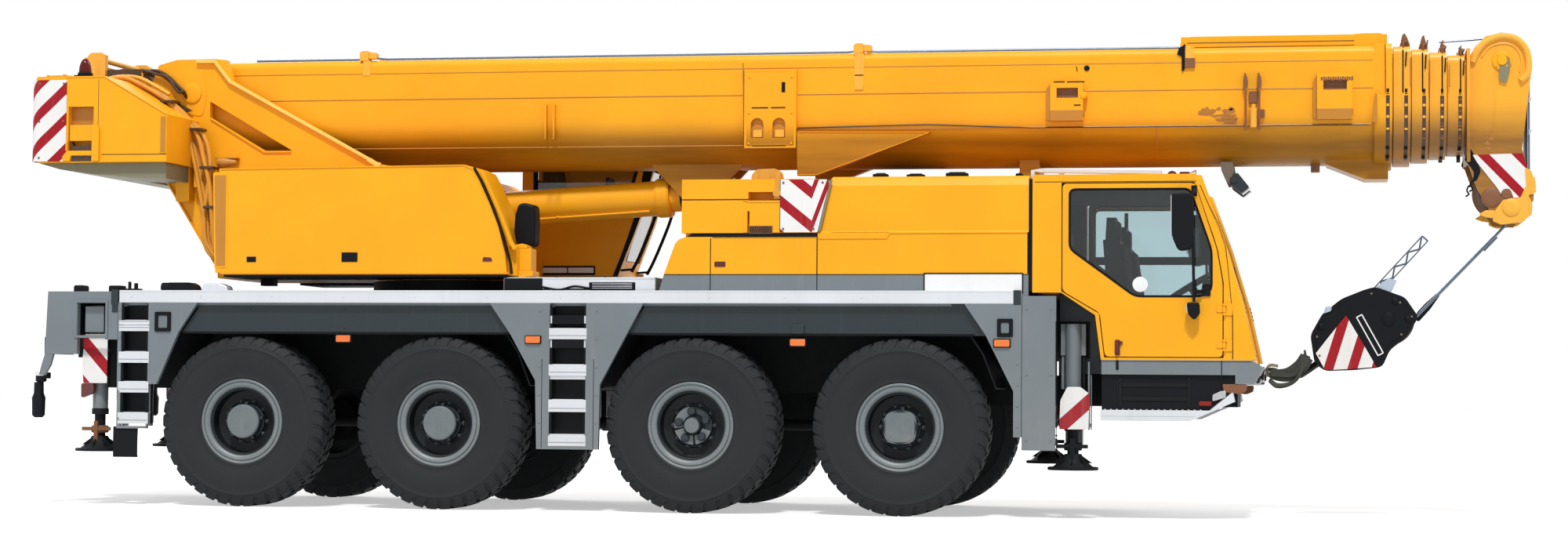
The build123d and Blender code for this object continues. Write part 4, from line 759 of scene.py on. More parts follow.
def cap(x, kind):
    """Cap on the hub's end: round, flattened on four sides, or small inside a split cover."""
    if kind == "square":
        way = circle(1.0, 48)
        lobe = 0.126 * np.sign(way) * np.abs(way) ** 0.62
        plate = lobe + np.array([x, WHEEL_Z])
        return joined(
            prism(plate, WHEEL_Y + 0.1, WHEEL_Y + 0.15),
            prism(inset(plate, 0.012), WHEEL_Y + 0.149, WHEEL_Y + 0.154)
        )
    if kind == "round":
        rows = [(0.136, 0.13), (0.136, 0.14), (0.128, 0.151), (0.06, 0.154), (0.02, 0.154)]
        return lathe(rows, (x, WHEEL_Y, WHEEL_Z), columns=48)
    rows = [(0.066, 0.06), (0.064, 0.122), (0.056, 0.13), (0.02, 0.131)]
    leaf = []
    for a0, a1 in ((1.75, 3.3), (3.42, 4.75), (4.87, 6.0)):
        arc = [
            (x + r * math.cos(a), WHEEL_Z + r * math.sin(a))
            for r, way in ((0.078, 1), (0.15, -1))
            for a in np.linspace(a0, a1, 12)[::way]
        ]
        leaf.append(prism(arc, WHEEL_Y + 0.07, WHEEL_Y + 0.084))
    return joined(lathe(rows, (x, WHEEL_Y, WHEEL_Z), columns=32), *leaf)


def hub(x, deep):
    """Hub with its ring of nuts; the deep kind shows its planet carrier round a small cap."""
    centre = np.array([x, WHEEL_Y, WHEEL_Z])
    ring = circle(0.1675, 10)
    nuts = [lathe(
        [(0.021, 0.026), (0.021, 0.034), (0.016, 0.036), (0.016, 0.058), (0.01, 0.062)],
        centre + [u, 0, v], columns=6
    ) for u, v in ring]
    if deep:
        body = lathe(
            [
                (0.15, 0.018), (0.15, 0.05), (0.135, 0.062), (0.095, 0.066), (0.085, 0.05)
            ] + [(0.072, 0.05), (0.068, 0.12), (0.06, 0.128)],
            centre, columns=40
        )
        lobes = [lathe(
            [(0.034, 0.05), (0.034, 0.095), (0.026, 0.104)], centre + [u, 0, v], columns=14
        ) for u, v in circle(0.112, 5, 0.4)]
        return joined(body, *lobes, *nuts)
    body = lathe(
        [
            (0.15, 0.018), (0.15, 0.06), (0.141, 0.066), (0.138, 0.075), (0.134, 0.138)
        ] + [(0.126, 0.15), (0.06, 0.152), (0.056, 0.147), (0.02, 0.147)],
        centre, columns=48
    )
    caps = [block(
        x + u - 0.012, x + u + 0.012, WHEEL_Y + 0.03, WHEEL_Y + 0.118, WHEEL_Z + v - 0.012,
        WHEEL_Z + v + 0.012
    ) for u, v in circle(0.146, 5, 0.2)]
    return joined(body, *caps, *nuts)


for k, x in AXLES.items():
    for side in SIDES:
        wheel = f"wheel_{k}_{side}"
        made = piece(wheel, f"tyre_{k}_{side}", RUBBER, tyre(x, side), sharp=38)
        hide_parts(wheel)
        centre = x, WHEEL_Y, WHEEL_Z
        piece(
            wheel, f"rim_{k}_{side}", RIM,
            on_side(side, lathe(RIM_RING, centre, columns=72, hollow=True)), sharp=40,
            slot="carrier_grey"
        )
        # the dish and barrel in near black: painted shade inside the rim
        piece(
            wheel, f"rim_dish_{k}_{side}", RIM_DISH_SHADE,
            on_side(side, lathe(RIM_DISH, centre, columns=72, hollow=True)), sharp=40
        )
        piece(wheel, f"hub_{k}_{side}", SLATE, on_side(side, hub(x, k == 2)), slot="carrier_grey")
        kind = {1: "square", 2: "split"}.get(k, "round")
        piece(wheel, f"hub_cap_{k}_{side}", HUB_GREY, on_side(side, cap(x, kind)), bevel=0.003)

# ------------------------------------------------------------------ driver's cab
DOOR = rounded(
    [
        (6.6, 1.74), (6.6, 2.56), (7.6, 2.56), (7.765, 2.06), (7.81, 1.8)
    ] + [(7.81, 1.24), (6.925, 1.24), (6.885, 1.572)],
    0.035
)
WINDOW = rounded([
    (6.65, 2.06), (6.65, 2.52), (7.568, 2.52), (7.732, 2.05), (7.732, 1.745)
] + [(7.66, 1.695), (7.15, 1.695)], 0.05)
DOOR_INNER_Y, CAB_Y = 1.19, 1.25


def strip(path, wide, thick, y):
    """Flat strip standing on a side wall along a path of (x, z); y is its outer face."""
    points = [(x, y - thick / 2, z) for x, z in path]
    half = wide / 2
    return rail(points, rectangle(-thick / 2, thick / 2, -half, half))


for side in SIDES:
    body = f"{side}_door"
    panel = joined(
        ring_plate(DOOR, WINDOW, CAB_Y - 0.012, CAB_Y + 0.001),
        ring_plate(inset(DOOR, 0.022), inset(WINDOW, -0.012), DOOR_INNER_Y + 0.004, CAB_Y - 0.012)
    )
    made = piece(body, f"{body}_panel", YELLOW, on_side(side, panel), bevel=0.003)
    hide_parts(body)
    rubber = joined(
        ring_plate(inset(WINDOW, -0.004), inset(WINDOW, 0.008), CAB_Y - 0.012, CAB_Y + 0.004),
        ring_plate(inset(WINDOW, 0.006), inset(WINDOW, 0.013), CAB_Y - 0.02, CAB_Y - 0.006),
        ring_plate(
            inset(DOOR, 0.032), inset(WINDOW, -0.006), DOOR_INNER_Y - 0.01, DOOR_INNER_Y + 0.003
        ),
        ring_plate(inset(DOOR, 0.006), inset(DOOR, 0.021), DOOR_INNER_Y, CAB_Y - 0.014)
    )
    piece(body, f"{body}_rubber", BLACK, on_side(side, rubber), bevel=0.002)
    pane = prism(inset(WINDOW, 0.007), CAB_Y - 0.016, CAB_Y - 0.01)
    piece(body, f"{body}_glass", GLASS_BLUE, on_side(side, pane))
    # handle, inner lining, grab and the bars of the sliding window
    grip = joined(
        block(7.0, 7.04, CAB_Y, CAB_Y + 0.01, 1.248, 1.368, 0.012),
        bent([
            (7.02, 1.262, 1.262), (7.02, 1.282, 1.28), (7.02, 1.282, 1.33), (7.02, 1.262, 1.352)
        ], 12, 0.008),
        lathe([(0.014, 1.25), (0.014, 1.264), (0.01, 1.266)], (7.046, 0, 1.345), columns=16)
    )
    piece(body, f"{body}_handle", RED_DARK, on_side(side, grip))
    hinges = [joined(
        lathe([(0.0112, z - 0.022), (0.0112, z + 0.022)], (7.822, 1.263, 0), "z", 16),
        block(7.764, 7.822, 1.2485, 1.2585, z - 0.021, z + 0.021)
    ) for z in (1.33, 1.6)]
    piece(body, f"{body}_hinges", YELLOW, on_side(side, *hinges), bevel=0.002)
    lining = joined(
        prism(rounded([
            (6.96, 1.29), (6.96, 1.62), (7.14, 1.66), (7.72, 1.66), (7.76, 1.29)
        ], 0.05), 1.178, 1.19),
        bent([
            (7.2, 1.178, 1.56), (7.2, 1.15, 1.56), (7.58, 1.15, 1.56), (7.58, 1.178, 1.56)
        ], 20, 0.011)
    )
    piece(body, f"{body}_lining", BLACK, on_side(side, lining), bevel=0.004)

# bars of the driver's sliding window, which stand on the far door
bars = joined(
    block(6.905, 6.937, 1.222, 1.234, 1.86, 2.49), block(6.66, 7.71, 1.222, 1.234, 2.05, 2.118),
    prism([
        (7.5, 2.515), (7.565, 2.515), (7.728, 2.05), (7.728, 1.75), (7.62, 1.75), (7.61, 2.06)
    ], 1.222, 1.232)
)
piece("left_door", "left_door_bars", BLACK, bars)


def front_x(z):
    """Outline of the cab's front at a height."""
    return float(np.interp(z, [1.217, 1.66, 2.159, 2.628], [8.028, 7.929, 7.779, 7.609]))


# door gaps, roof seam and corner line as dark strips sunk almost flush
door_gap = strip([
    (6.596, 1.742), (6.596, 2.564), (7.602, 2.564), (7.768, 2.062), (7.814, 1.8), (7.814, 1.245)
], 0.008, 0.004, CAB_Y + 0.0008)
seams = joined(
    door_gap, strip([(6.385, 2.574), (7.612, 2.574)], 0.006, 0.004, CAB_Y + 0.001),
    strip([
        (7.64, 2.545), (7.7, 2.405), (7.778, 2.25), (7.832, 2.09), (7.852, 1.9), (7.884, 1.56)
    ], 0.007, 0.004, CAB_Y + 0.0015),
    strip([(7.884, 1.56), (7.886, 1.225)], 0.01, 0.006, CAB_Y + 0.003),
    strip([(7.803, 1.212), (7.803, 1.045)], 0.008, 0.004, CAB_Y + 0.001),
    strip([(7.019, 1.212), (7.019, 1.14)], 0.02, 0.008, CAB_Y + 0.006)
)
on_carrier("cab_seams", BLACK, both(seams))

# rounded corner pillars that stand a little proud of the windscreen
pillar_rows = []
for z in (1.219, 1.4, 1.66, 1.9, 2.159, 2.35, 2.52, 2.622):
    x = front_x(z)
    section = [
        (x - 0.04, 1.2505), (x + 0.004, 1.25), (x + 0.026, 1.238), (x + 0.038, 1.212),
        (x + 0.036, 1.165), (x + 0.018, 1.135), (x - 0.02, 1.12)
    ]
    pillar_rows.append([(u, v, z) for u, v in section])
pillar = outward(grid(np.array(pillar_rows), wrap_columns=True, cap=True))
on_carrier("corner_pillars", YELLOW, both(pillar), bevel=0.004)

# windscreen rubber, wipers, grille, corner vents and lamps
rubber = []
for z in (1.742, 2.555):
    rubber.append(bar((front_x(z) - 0.008, -1.17, z), (front_x(z) - 0.008, 1.17, z), 0.018, 8))
for sign in (-1, 1):
    rubber.append(tube([
        (front_x(z) - 0.014, sign * 1.15, z) for z in (1.74, 1.95, 2.159, 2.35, 2.558)
    ], 0.012, 8))
on_carrier("windscreen_rubber", BLACK, *rubber)
wipers = []
for y in (-0.95, 0.1):
    x = front_x(1.7) + 0.012
    wipers += [
        lathe([(0.018, -0.03), (0.018, 0.008), (0.01, 0.012)], (x - 0.008, y, 1.69), "x", 14),
        tube([
            (x, y, 1.69), (front_x(1.8) + 0.012, y + 0.1, 1.8),
            (front_x(2.0) + 0.014, y + 0.42, 2.0)
        ], 0.006),
        tube([
            (front_x(z) + 0.006, y + 0.14 + 0.62 * (z - 1.8), z)
            for z in (1.8, 1.95, 2.1, 2.25, 2.38)
        ], 0.007, 6)
    ]
on_carrier("cab_wipers", BLACK, *wipers)
grille = [prism([
    (front_x(z) - 0.004, z), (front_x(z) + 0.003, z + 0.004), (front_x(z + 0.03) - 0.001, z + 0.03)
], -0.62, 0.62) for z in np.arange(1.3, 1.6, 0.048)]
surround = [
    tube([(front_x(z) - 0.004, s * 0.65, z) for z in (1.275, 1.45, 1.63)], 0.007, 8)
    for s in (-1, 1)
] + [bar((front_x(z), -0.65, z), (front_x(z), 0.65, z), 0.01) for z in (1.275, 1.63)]
on_carrier("front_grille", BLACK, *grille, *surround)
vents = [prism([
    (front_x(z) + 0.03, z), (front_x(z) + 0.043, z), (front_x(z + 0.02) + 0.041, z + 0.018)
], 1.175, 1.205) for z in np.arange(1.575, 1.7, 0.032)]
on_carrier("corner_vents", RED_DARK, both(*vents))

lamps, lenses, blinkers = [], [], []
for sign in (-1, 1):
    for y, radius in ((0.98, 0.062), (0.8, 0.055)):
        at = 8.062, sign * y, 1.118
        lamps.append(lathe([
            (radius + 0.012, -0.04), (radius + 0.012, 0.016), (radius + 0.004, 0.02),
            (radius, 0.006)
        ], at, "x", 32))
        lenses.append(lathe([
            (radius, -0.01), (radius, 0.008), (radius * 0.7, 0.014), (radius * 0.2, 0.017)
        ], at, "x", 32))
    y0, y1 = sorted((sign * 1.1, sign * 1.2))
    blinkers.append(block(8.04, 8.08, y0, y1, 1.085, 1.15))
on_carrier("headlamp_bezels", BLACK, *lamps)
on_carrier("headlamp_lenses", CLEAR_LENS, *lenses)
on_carrier("front_indicators", AMBER, *blinkers, bevel=0.006)
under = prism(rounded([
    (7.806, 1.036), (7.99, 1.036), (7.985, 0.985), (7.93, 0.962), (7.82, 0.975)
], 0.015), 1.13, 1.245)
on_carrier("bumper_lower_lamps", RUST, both(under), bevel=0.006, slot="trim_black")
on_carrier(
    "step_reflectors", RED_LENS,
    both(block(7.635, 7.728, CAB_Y - 0.002, CAB_Y + 0.006, 0.872, 0.905)), bevel=0.003,
    slot="trim_black"
)
side_lamp = prism(rounded(
    [(7.735, 0.905), (7.735, 0.955), (7.8, 0.985), (7.835, 0.985), (7.835, 0.935)], 0.01
), CAB_Y - 0.1, CAB_Y + 0.004)
on_carrier("step_lamps", CLEAR_LENS, both(side_lamp), bevel=0.004)
plate = block(8.06, 8.092, -0.26, 0.26, 1.06, 1.15)
on_carrier("front_plate", WHITE, plate, bevel=0.003)
tow = joined(
    lathe([(0.035, -0.03), (0.035, 0.025), (0.022, 0.025)], (8.075, -0.52, 1.115), "x", 20),
    tube([(
        8.095, -0.52 + 0.035 * math.cos(a), 1.115 + 0.035 * math.sin(a)
    ) for a in around(20)], 0.01, 8, True)
)
on_carrier("tow_eyes", CHASSIS, both(tow))

# step: treads with raised bars on the aluminium bar, black opening above
treads = [block(x, x + 0.012, 1.06, 1.245, 0.8365, 0.842) for x in np.arange(6.92, 7.66, 0.045)]
seat_line = strip([(6.9, 0.792), (7.6, 0.792)], 0.006, 0.004, CAB_Y + 0.002)
on_carrier("step_treads", ALUMINIUM, both(*treads, seat_line))
steps = joined(
    *[block(7.05, 7.55, 1.2, 1.232, z, z + 0.03) for z in (0.905, 1.01)],
    *[block(x, x + 0.02, 1.19, 1.232, 0.86, 1.09) for x in (7.03, 7.55)]
)
on_carrier("cab_steps", CHASSIS, both(steps), bevel=0.003)
band_lines = strip([(6.905, 1.205), (8.025, 1.205)], 0.006, 0.003, CAB_Y + 0.001)
on_carrier("band_lines", BLACK, both(band_lines))

# roof: rails, beacons, hatch, horns
roof = []
for sign in (-1, 1):
    y = sign * 1.02
    roof.append(rail(
        [(6.35, y, 2.5), (6.35, y, 2.675), (6.42, y, 2.678), (7.34, y, 2.66)],
        rectangle(-0.016, 0.016, -0.03, 0.03)
    ))
    for x in (6.55, 6.95, 7.28):
        roof.append(block(x, x + 0.04, y - 0.02, y + 0.02, 2.615, 2.665))
on_carrier("roof_rails", ALUMINIUM, *roof, bevel=0.004)
hatch = prism(rounded(rectangle(6.62, 7.28, -0.42, 0.42), 0.06), 2.625, 2.662, "z")
on_carrier("roof_hatch", YELLOW, hatch, bevel=0.012)
beacon_base, beacon_top = [], []
for y in (-0.86, 0.86):
    beacon_base += [lathe([(0.062, 2.625), (0.062, 2.64), (0.045, 2.645)], (7.41, y, 0), "z", 24)]
    beacon_top += [
        dome((7.41, y, 2.642), 0.04, 0.042), block(7.47, 7.545, y - 0.05, y + 0.05, 2.628, 2.672)
    ]
on_carrier("roof_beacon_bases", BLACK, *beacon_base)
on_carrier("roof_beacons", RED_LENS_DARK, *beacon_top, bevel=0.003)
horns = [lathe(
    [(0.012, 0.0), (0.014, 0.2), (0.026, 0.27), (0.044, 0.3), (0.04, 0.302)], (7.28, y, 2.668), "x",
    20
) for y in (-0.6, -0.5)]
on_carrier("roof_horns", CHROME, *horns)

# mirrors on both sides: arm, tall mirror, rod and the small wide-angle one below
arm = [
    bent([
        (7.6, 1.245, 2.5), (7.6, 1.29, 2.5), (7.58, 1.315, 2.45), (7.585, 1.32, 2.38)
    ], 16, 0.014),
    bent([
        (7.585, 1.32, 2.4), (7.592, 1.322, 2.0), (7.596, 1.322, 1.82), (7.6, 1.322, 1.655)
    ], 16, 0.011),
    bent([(7.68, 1.248, 1.745), (7.64, 1.29, 1.735), (7.596, 1.32, 1.735)], 12, 0.013),
    block(7.66, 7.72, 1.248, 1.262, 1.7, 1.79), block(7.575, 7.618, 1.24, 1.258, 2.46, 2.54)
]
head = [
    prism(rounded([
        (7.428, 2.475), (7.59, 2.48), (7.6, 2.1), (7.555, 2.045), (7.48, 2.04), (7.436, 2.14)
    ], 0.03), 1.27, 1.35),
    prism(rounded([
        (7.545, 1.652), (7.64, 1.65), (7.645, 1.565), (7.6, 1.515), (7.555, 1.56)
    ], 0.02), 1.292, 1.35)
]
faces = [block(7.424, 7.432, 1.28, 1.34, 2.15, 2.46), block(7.54, 7.547, 1.298, 1.344, 1.575, 1.64)]
for side in SIDES:
    piece(f"{side}_door", f"mirror_arms_{side}", BLACK, on_side(side, *arm))
    piece(
        f"{side}_door", f"mirror_heads_{side}", BLACK, on_side(side, *head), bevel=0.018, segments=3
    )
    piece(
        f"{side}_door", f"mirror_faces_{side}", CHROME, on_side(side, *faces), bevel=0.003,
        slot="cab_glass"
    )

# dark gap behind the cab and the liners of its wheel arches
on_carrier("cab_rear_gap", BLACK, block(6.341, 6.371, -1.235, 1.235, 1.735, 2.6))
arch = rounded([
    (6.556, 1.728), (6.6, 1.722), (6.846, 1.56), (6.896, 1.42), (6.898, 1.11), (6.556, 1.11)
], 0.03)
liner = ring_plate(arch, rectangle(6.562, 6.778, 1.232, 1.508), 0.955, 0.972)
lip = rail([
    (6.556, 1.1, 1.733), (6.6, 1.1, 1.724), (6.852, 1.1, 1.558), (6.892, 1.1, 1.43),
    (6.896, 1.1, 1.2), (6.896, 1.1, 1.11)
], rectangle(-0.006, 0.004, -0.14, 0.125))
on_carrier("cab_arch_liner_right", SLATE, mirrored(liner), mirrored(lip), bevel=0.002)
liner = prism(arch, 0.955, 0.972)
on_carrier("cab_arch_liner_left", SLATE, liner, lip, bevel=0.002)

# inside: consoles, gear lever, lining and cushions
inner = [
    block(7.6, 7.74, -0.45, 0.3, 1.62, 1.78),
    prism(rounded([(7.56, 1.66), (7.6, 1.9), (7.74, 1.88), (7.78, 1.66)], 0.03), 0.38, 0.9),
    block(7.1, 7.6, -0.16, 0.16, 1.28, 1.56), tube([(7.4, 0.05, 1.55), (7.42, 0.05, 1.72)], 0.011),
    lathe([(0.026, 1.7), (0.03, 1.74), (0.018, 1.765)], (7.42, 0.05, 0), "z", 16),
    block(6.44, 6.5, -1.05, 1.05, 1.8, 2.3)
]
on_carrier("cab_consoles", BLACK, *inner, bevel=0.012)
inside = [block(6.42, 7.56, -1.17, 1.17, 2.548, 2.56), block(6.405, 6.42, -1.17, 1.17, 1.3, 2.56)]
inside += [block(6.42, 6.585, y - 0.006, y + 0.006, 1.75, 2.555) for y in (-1.165, 1.165)]
on_carrier("cab_lining", FABRIC, *inside)
cushions = []
for y in (-0.64, 0.64):
    for z0, z1, x0, x1, half in ((1.6, 1.665, 7.03, 7.5, 0.23), (2.15, 2.3, 6.975, 7.0, 0.11)):
        cushions.append(block(x0, x1, y - half, y + half, z0, z1, 0.025))
    cushions.append(prism(rounded(
        [(7.085, 1.67), (7.115, 1.67), (7.045, 2.12), (7.018, 2.12)], 0.012
    ), y - 0.21, y + 0.21))
on_carrier("cab_cushions", FABRIC, *cushions, bevel=0.02, segments=3)
disc = lathe([
    (0.058, CAB_Y - 0.011), (0.058, CAB_Y - 0.008), (0.054, CAB_Y - 0.007)
], (7.19, 0, 1.79), columns=28)
piece("right_door", "window_disc", WHITE, mirrored(disc))
# ------------------------------------------------------------------ carrier sides and deck
PANEL_Y, FENDER_Y = 1.275, 1.225
markers, marker_bases = [], []
for x, z, y in (
    (0.846, 1.354, FENDER_Y), (2.431, 1.35, PANEL_Y), (4.546, 1.337, FENDER_Y),
    (6.142, 1.337, PANEL_Y)
):
    marker_bases.append(block(
        x - 0.068, x + 0.068, y - 0.004, y + 0.008, z - 0.034, z + 0.034, 0.012
    ))
    markers.append(block(x - 0.06, x + 0.06, y + 0.006, y + 0.022, z - 0.027, z + 0.027, 0.012))
# on the left the front beam slides out where the last marker and window stand on the right
on_carrier("side_marker_bases", BLACK, mirrored(*marker_bases), *marker_bases[:3], bevel=0.002)
on_carrier("side_markers", ORANGE, mirrored(*markers), *markers[:3], bevel=0.006)
frames, panes = [], []
for x0, x1, z0, z1 in ((-0.74, -0.602, 1.405, 1.565), (6.104, 6.226, 1.385, 1.525)):
    frames.append(ring_plate(
        inner_place((x0, x1, z0, z1), 0, 0.012), inner_place((x0, x1, z0, z1), 0.03, 0.012),
        PANEL_Y - 0.01, PANEL_Y + 0.012
    ))
    panes.append(prism(
        inner_place((x0, x1, z0, z1), 0.028, 0.006), PANEL_Y - 0.01, PANEL_Y + 0.004
    ))
on_carrier("marker_windows", BLACK, mirrored(*frames), frames[0], bevel=0.003)
on_carrier("marker_panes", RIM, mirrored(*panes), panes[0])

# aluminium rail: rolled lip, its joints and screws; black end block
rails = [block(
    -1.048, 6.225, PANEL_Y - 0.001, PANEL_Y + 0.0025, z - 0.004, z + 0.004
) for z in (1.648, 1.732)]
rails += [block(
    x - 0.003, x + 0.003, PANEL_Y - 0.001, PANEL_Y + 0.002, 1.642, 1.738
) for x in (1.1, 3.2, 5.3)]
rails.append(bolt_heads(
    [(x, PANEL_Y, 1.69) for x in np.arange(-0.95, 6.2, 0.6)], "y", 1, 0.009, 0.004
))
on_carrier("rail_trim", ALUMINIUM, both(*rails))
ends = joined(
    block(6.228, 6.288, PANEL_Y - 0.03, PANEL_Y + 0.004, 1.632, 1.744, 0.008),
    block(-1.118, -1.058, PANEL_Y - 0.03, PANEL_Y + 0.01, 1.62, 1.744, 0.012),
    block(-1.112, -1.064, PANEL_Y - 0.01, PANEL_Y + 0.006, 1.56, 1.625)
)
seam = strip([(6.2915, 1.7), (6.2915, 0.62)], 0.005, 0.004, PANEL_Y + 0.001)
on_carrier("rail_ends", SLATE, both(ends), mirrored(seam), bevel=0.003)

# panel seams and rivets
lines = [
    strip([(x, z0), (x, z1)], 0.005, 0.004, PANEL_Y + 0.0005)
    for x, z0, z1 in ((-0.8, 0.66, 1.63), (2.505, 0.5, 1.2), (2.925, 0.5, 1.2), (6.56, 0.53, 1.7))
]
on_carrier("panel_seams", BLACK, both(*lines))
places = [(x, PANEL_Y, z) for x in (-1.045, 2.485, 2.945) for z in np.arange(0.7, 1.6, 0.22)]
places += [
    (6.262, PANEL_Y, z) for z in np.arange(0.7, 1.2, 0.16)
] + [(6.33, PANEL_Y - 0.005, z) for z in (0.6, 1.1, 1.6)]
places += [(6.515, PANEL_Y - 0.005, z) for z in (0.6, 1.1, 1.6)]
on_carrier("panel_bolts", GREY, both(bolt_heads(places, "y", 1, 0.01, 0.005)))
fender_bolts = [
    (x, FENDER_Y, z) for x in (0.05, 0.85, 1.65, 3.75, 4.55, 5.35) for z in (1.44, 1.59)
]
on_carrier("fender_bolts", SLATE, both(bolt_heads(fender_bolts, "y", 1, 0.01, 0.005)))
# slanted shoulders that lead from the posts back to the recessed fender panels
bracket = block(4.546 - 0.05, 4.546 + 0.05, FENDER_Y - 0.002, FENDER_Y + 0.02, 1.405, 1.475, 0.01)
shoulder = prism(
    [(5.74, 1.642), (5.92, 1.642), (6.04, 1.394), (5.86, 1.394)], FENDER_Y - 0.012, FENDER_Y - 0.002
)
on_carrier("front_fender_shoulder", SLATE, both(shoulder))
on_carrier("fender_bracket", SLATE, both(bracket), bevel=0.006)
# rubber lips along the wheel arches and flaps behind the wheels
lips = []
for rear, front in ((AXLES[4], AXLES[3]), (AXLES[2], AXLES[1])):
    lips.append(rail([
        (rear - 0.525, FENDER_Y - 0.008, 1.398), (front + 0.575, FENDER_Y - 0.008, 1.398)
    ], rectangle(-0.006, 0.01, -0.012, 0.012)))
on_carrier("arch_lips", BLACK, both(*lips))
liners = []
for x in (AXLES[4] - 0.74, AXLES[3] + 0.74, AXLES[2] - 0.74, AXLES[1] + 0.74):
    s = np.sign(
        x - (AXLES[4] + AXLES[3]) / 2
    ) if x < 2.6 else np.sign(x - (AXLES[2] + AXLES[1]) / 2)
    wall = [(x, 0.86, 0.99), (x - 0.1 * s, 0.86, 1.25), (x - 0.2 * s, 0.86, 1.398)]
    liners.append(rail(wall, rectangle(-0.006, 0.006, -0.345, 0.345)))
on_carrier("wheel_arch_liners", BLACK, both(*liners))

# dark backing behind the ladders, and their worn treads
backs = joined(
    block(-1.042, -0.79, 1.175, 1.19, 0.66, 1.615), block(2.566, 2.86, 1.175, 1.19, 0.53, 1.615)
)
on_carrier("ladder_backs", BLACK, both(backs))
treads, rung_gaps, ladder_shade = [], [], []
rear_rungs = (1.405, 1.456), (1.456, 1.499), (1.148, 1.245), (0.907, 1.003), (0.655, 0.752)
front_rungs = (1.352, 1.445), (1.064, 1.159), (0.78, 0.883), (0.512, 0.598)
for x0, x1, rungs in ((-1.05, -0.788, rear_rungs), (2.56, 2.866, front_rungs)):
    for low, high in rungs:
        treads.append(block(x0, x1, 1.262, 1.277, low + 0.003, high - 0.003))
        treads += [
            block(x0 + 0.006, x1 - 0.006, y, y + 0.006, high - 0.006, high + 0.001)
            for y in np.arange(1.205, 1.26, 0.02)
        ]
        rung_gaps.append(block(x0 + 0.004, x1 - 0.004, 1.276, 1.2785, low + 0.03, low + 0.034))
on_carrier("rung_treads", ALUMINIUM, both(*treads), bevel=0.002)
on_carrier("rung_grooves", GREY, both(*rung_gaps))
# painted shade: black sheets on the inner faces and fronts of the ladders' uprights, and black
# blocks for the two rungs that lie in the shade
for x, low in ((-1.013, 0.66), (2.582, 0.53), (-0.8185, 0.66), (2.8425, 0.53)):
    ladder_shade.append(block(x, x + 0.002, 1.135, 1.262, low, 1.61))
for x0, x1, low in (
    (-1.05, -1.012, 0.66), (-0.818, -0.788, 0.66), (2.56, 2.583, 0.53), (2.842, 2.866, 0.53)
):
    ladder_shade.append(block(x0, x1, 1.2605, 1.2635, low, 1.62))
for low, high in ((1.475, 1.545), (1.286, 1.351)):
    ladder_shade.append(block(2.583, 2.842, 1.19, 1.272, low, high))
on_carrier("ladder_stile_covers", BLACK, both(*ladder_shade))

# rear corner: dark frame round the beam's opening, hanging skirt end, flap and coupling
hole = rectangle(-1.414, -1.166, 1.372, 1.64)
frame_ring = ring_plate(inset(hole, -0.02), hole, PANEL_Y - 0.02, PANEL_Y + 0.01)
on_carrier(
    "rear_opening_frame", GREY, mirrored(frame_ring), moved(frame_ring, (-0.245, 0, 0)), bevel=0.003
)
skirt_end = prism([
    (-1.688, 1.235), (-1.615, 1.225), (-1.64, 1.13), (-1.69, 1.045), (-1.742, 1.05), (-1.715, 1.15)
], PANEL_Y - 0.035, PANEL_Y - 0.002)
on_carrier("rear_skirt_end", GREY, both(skirt_end), bevel=0.006)
socket = joined(
    lathe([(0.03, 0.99), (0.044, 1.0), (0.044, 1.045), (0.036, 1.055)], (-1.772, 1.16, 0), "z", 18),
    lathe([
        (0.034, 0.7), (0.052, 0.72), (0.055, 0.86), (0.04, 0.9), (0.038, 0.99)
    ], (-1.79, 1.16, 0), "z", 18),
    block(-1.765, -1.7, 1.13, 1.19, 1.02, 1.07)
)
on_carrier("hanging_coupling", BLACK, both(socket), bevel=0.004)
cap = lathe([(0.045, 1.043), (0.047, 1.075), (0.03, 1.083)], (-1.772, 1.16, 0), "z", 18)
on_carrier("coupling_cap", WHITE, both(cap))
for side in SIDES:
    x1 = -1.09 if side == "right" else -1.036
    flap = grid(np.array([[
        (x, 1.258 + 0.006 * math.sin(9 * z + 3 * x), z) for x in np.linspace(x1, -0.882, 5)
    ] for z in np.linspace(0.395, 0.635, 9)]))
    back = flap[0] + np.array([0, -0.01, 0]), [face[::-1] for face in flap[1]]
    edge_path = [(x1, 1.254, 0.395), (-0.882, 1.254, 0.395)]
    on_carrier(f"mud_flap_{side}", BLACK, on_side(side, flap, back, bar(*edge_path, 0.008)))

# rear face: lamps, wall, coupling, blank plate and reflectors
rear_lamps = [
    (RED_LENS, "red", (0.8, 0.98)), (AMBER, "amber", (0.99, 1.09)),
    (CLEAR_LENS, "clear", (1.1, 1.16))
]
housing = block(-1.735, -1.66, 0.78, 1.19, 1.22, 1.36)
on_carrier(
    "rear_lamp_housings", BLACK, both(housing, block(-1.72, -1.645, 0.9, 0.96, 1.36, 1.66)),
    bevel=0.006
)
for material, name, (y0, y1) in rear_lamps:
    lamp = prism(rounded(rectangle(y0, y1, 1.235, 1.345), 0.012), -1.746, -1.73, "x")
    on_carrier(f"rear_lamps_{name}", material, both(lamp), bevel=0.004, slot="cab_glass")
rear = joined(
    block(-1.7, -1.64, -0.62, 0.62, 1.2, 1.6), block(-1.715, -1.695, -0.58, -0.3, 1.3, 1.5),
    block(-1.715, -1.695, 0.3, 0.58, 1.3, 1.5),
    lathe([(0.075, -0.1), (0.075, -0.02), (0.05, 0.0)], (-1.7, 0.0, 1.28), "x", 24)
)
on_carrier("rear_wall", CHASSIS, rear, bevel=0.008)
rear_plate = block(-1.722, -1.716, -0.26, 0.26, 1.42, 1.53)
on_carrier("rear_plate", WHITE, rear_plate, bevel=0.002)
reflect = [prism(
    rounded(rectangle(y, y + 0.16, 1.6, 1.64), 0.006), -1.668, -1.655, "x"
) for y in (0.7, 0.98)]
on_carrier("rear_reflectors", RED_LENS, both(*reflect))

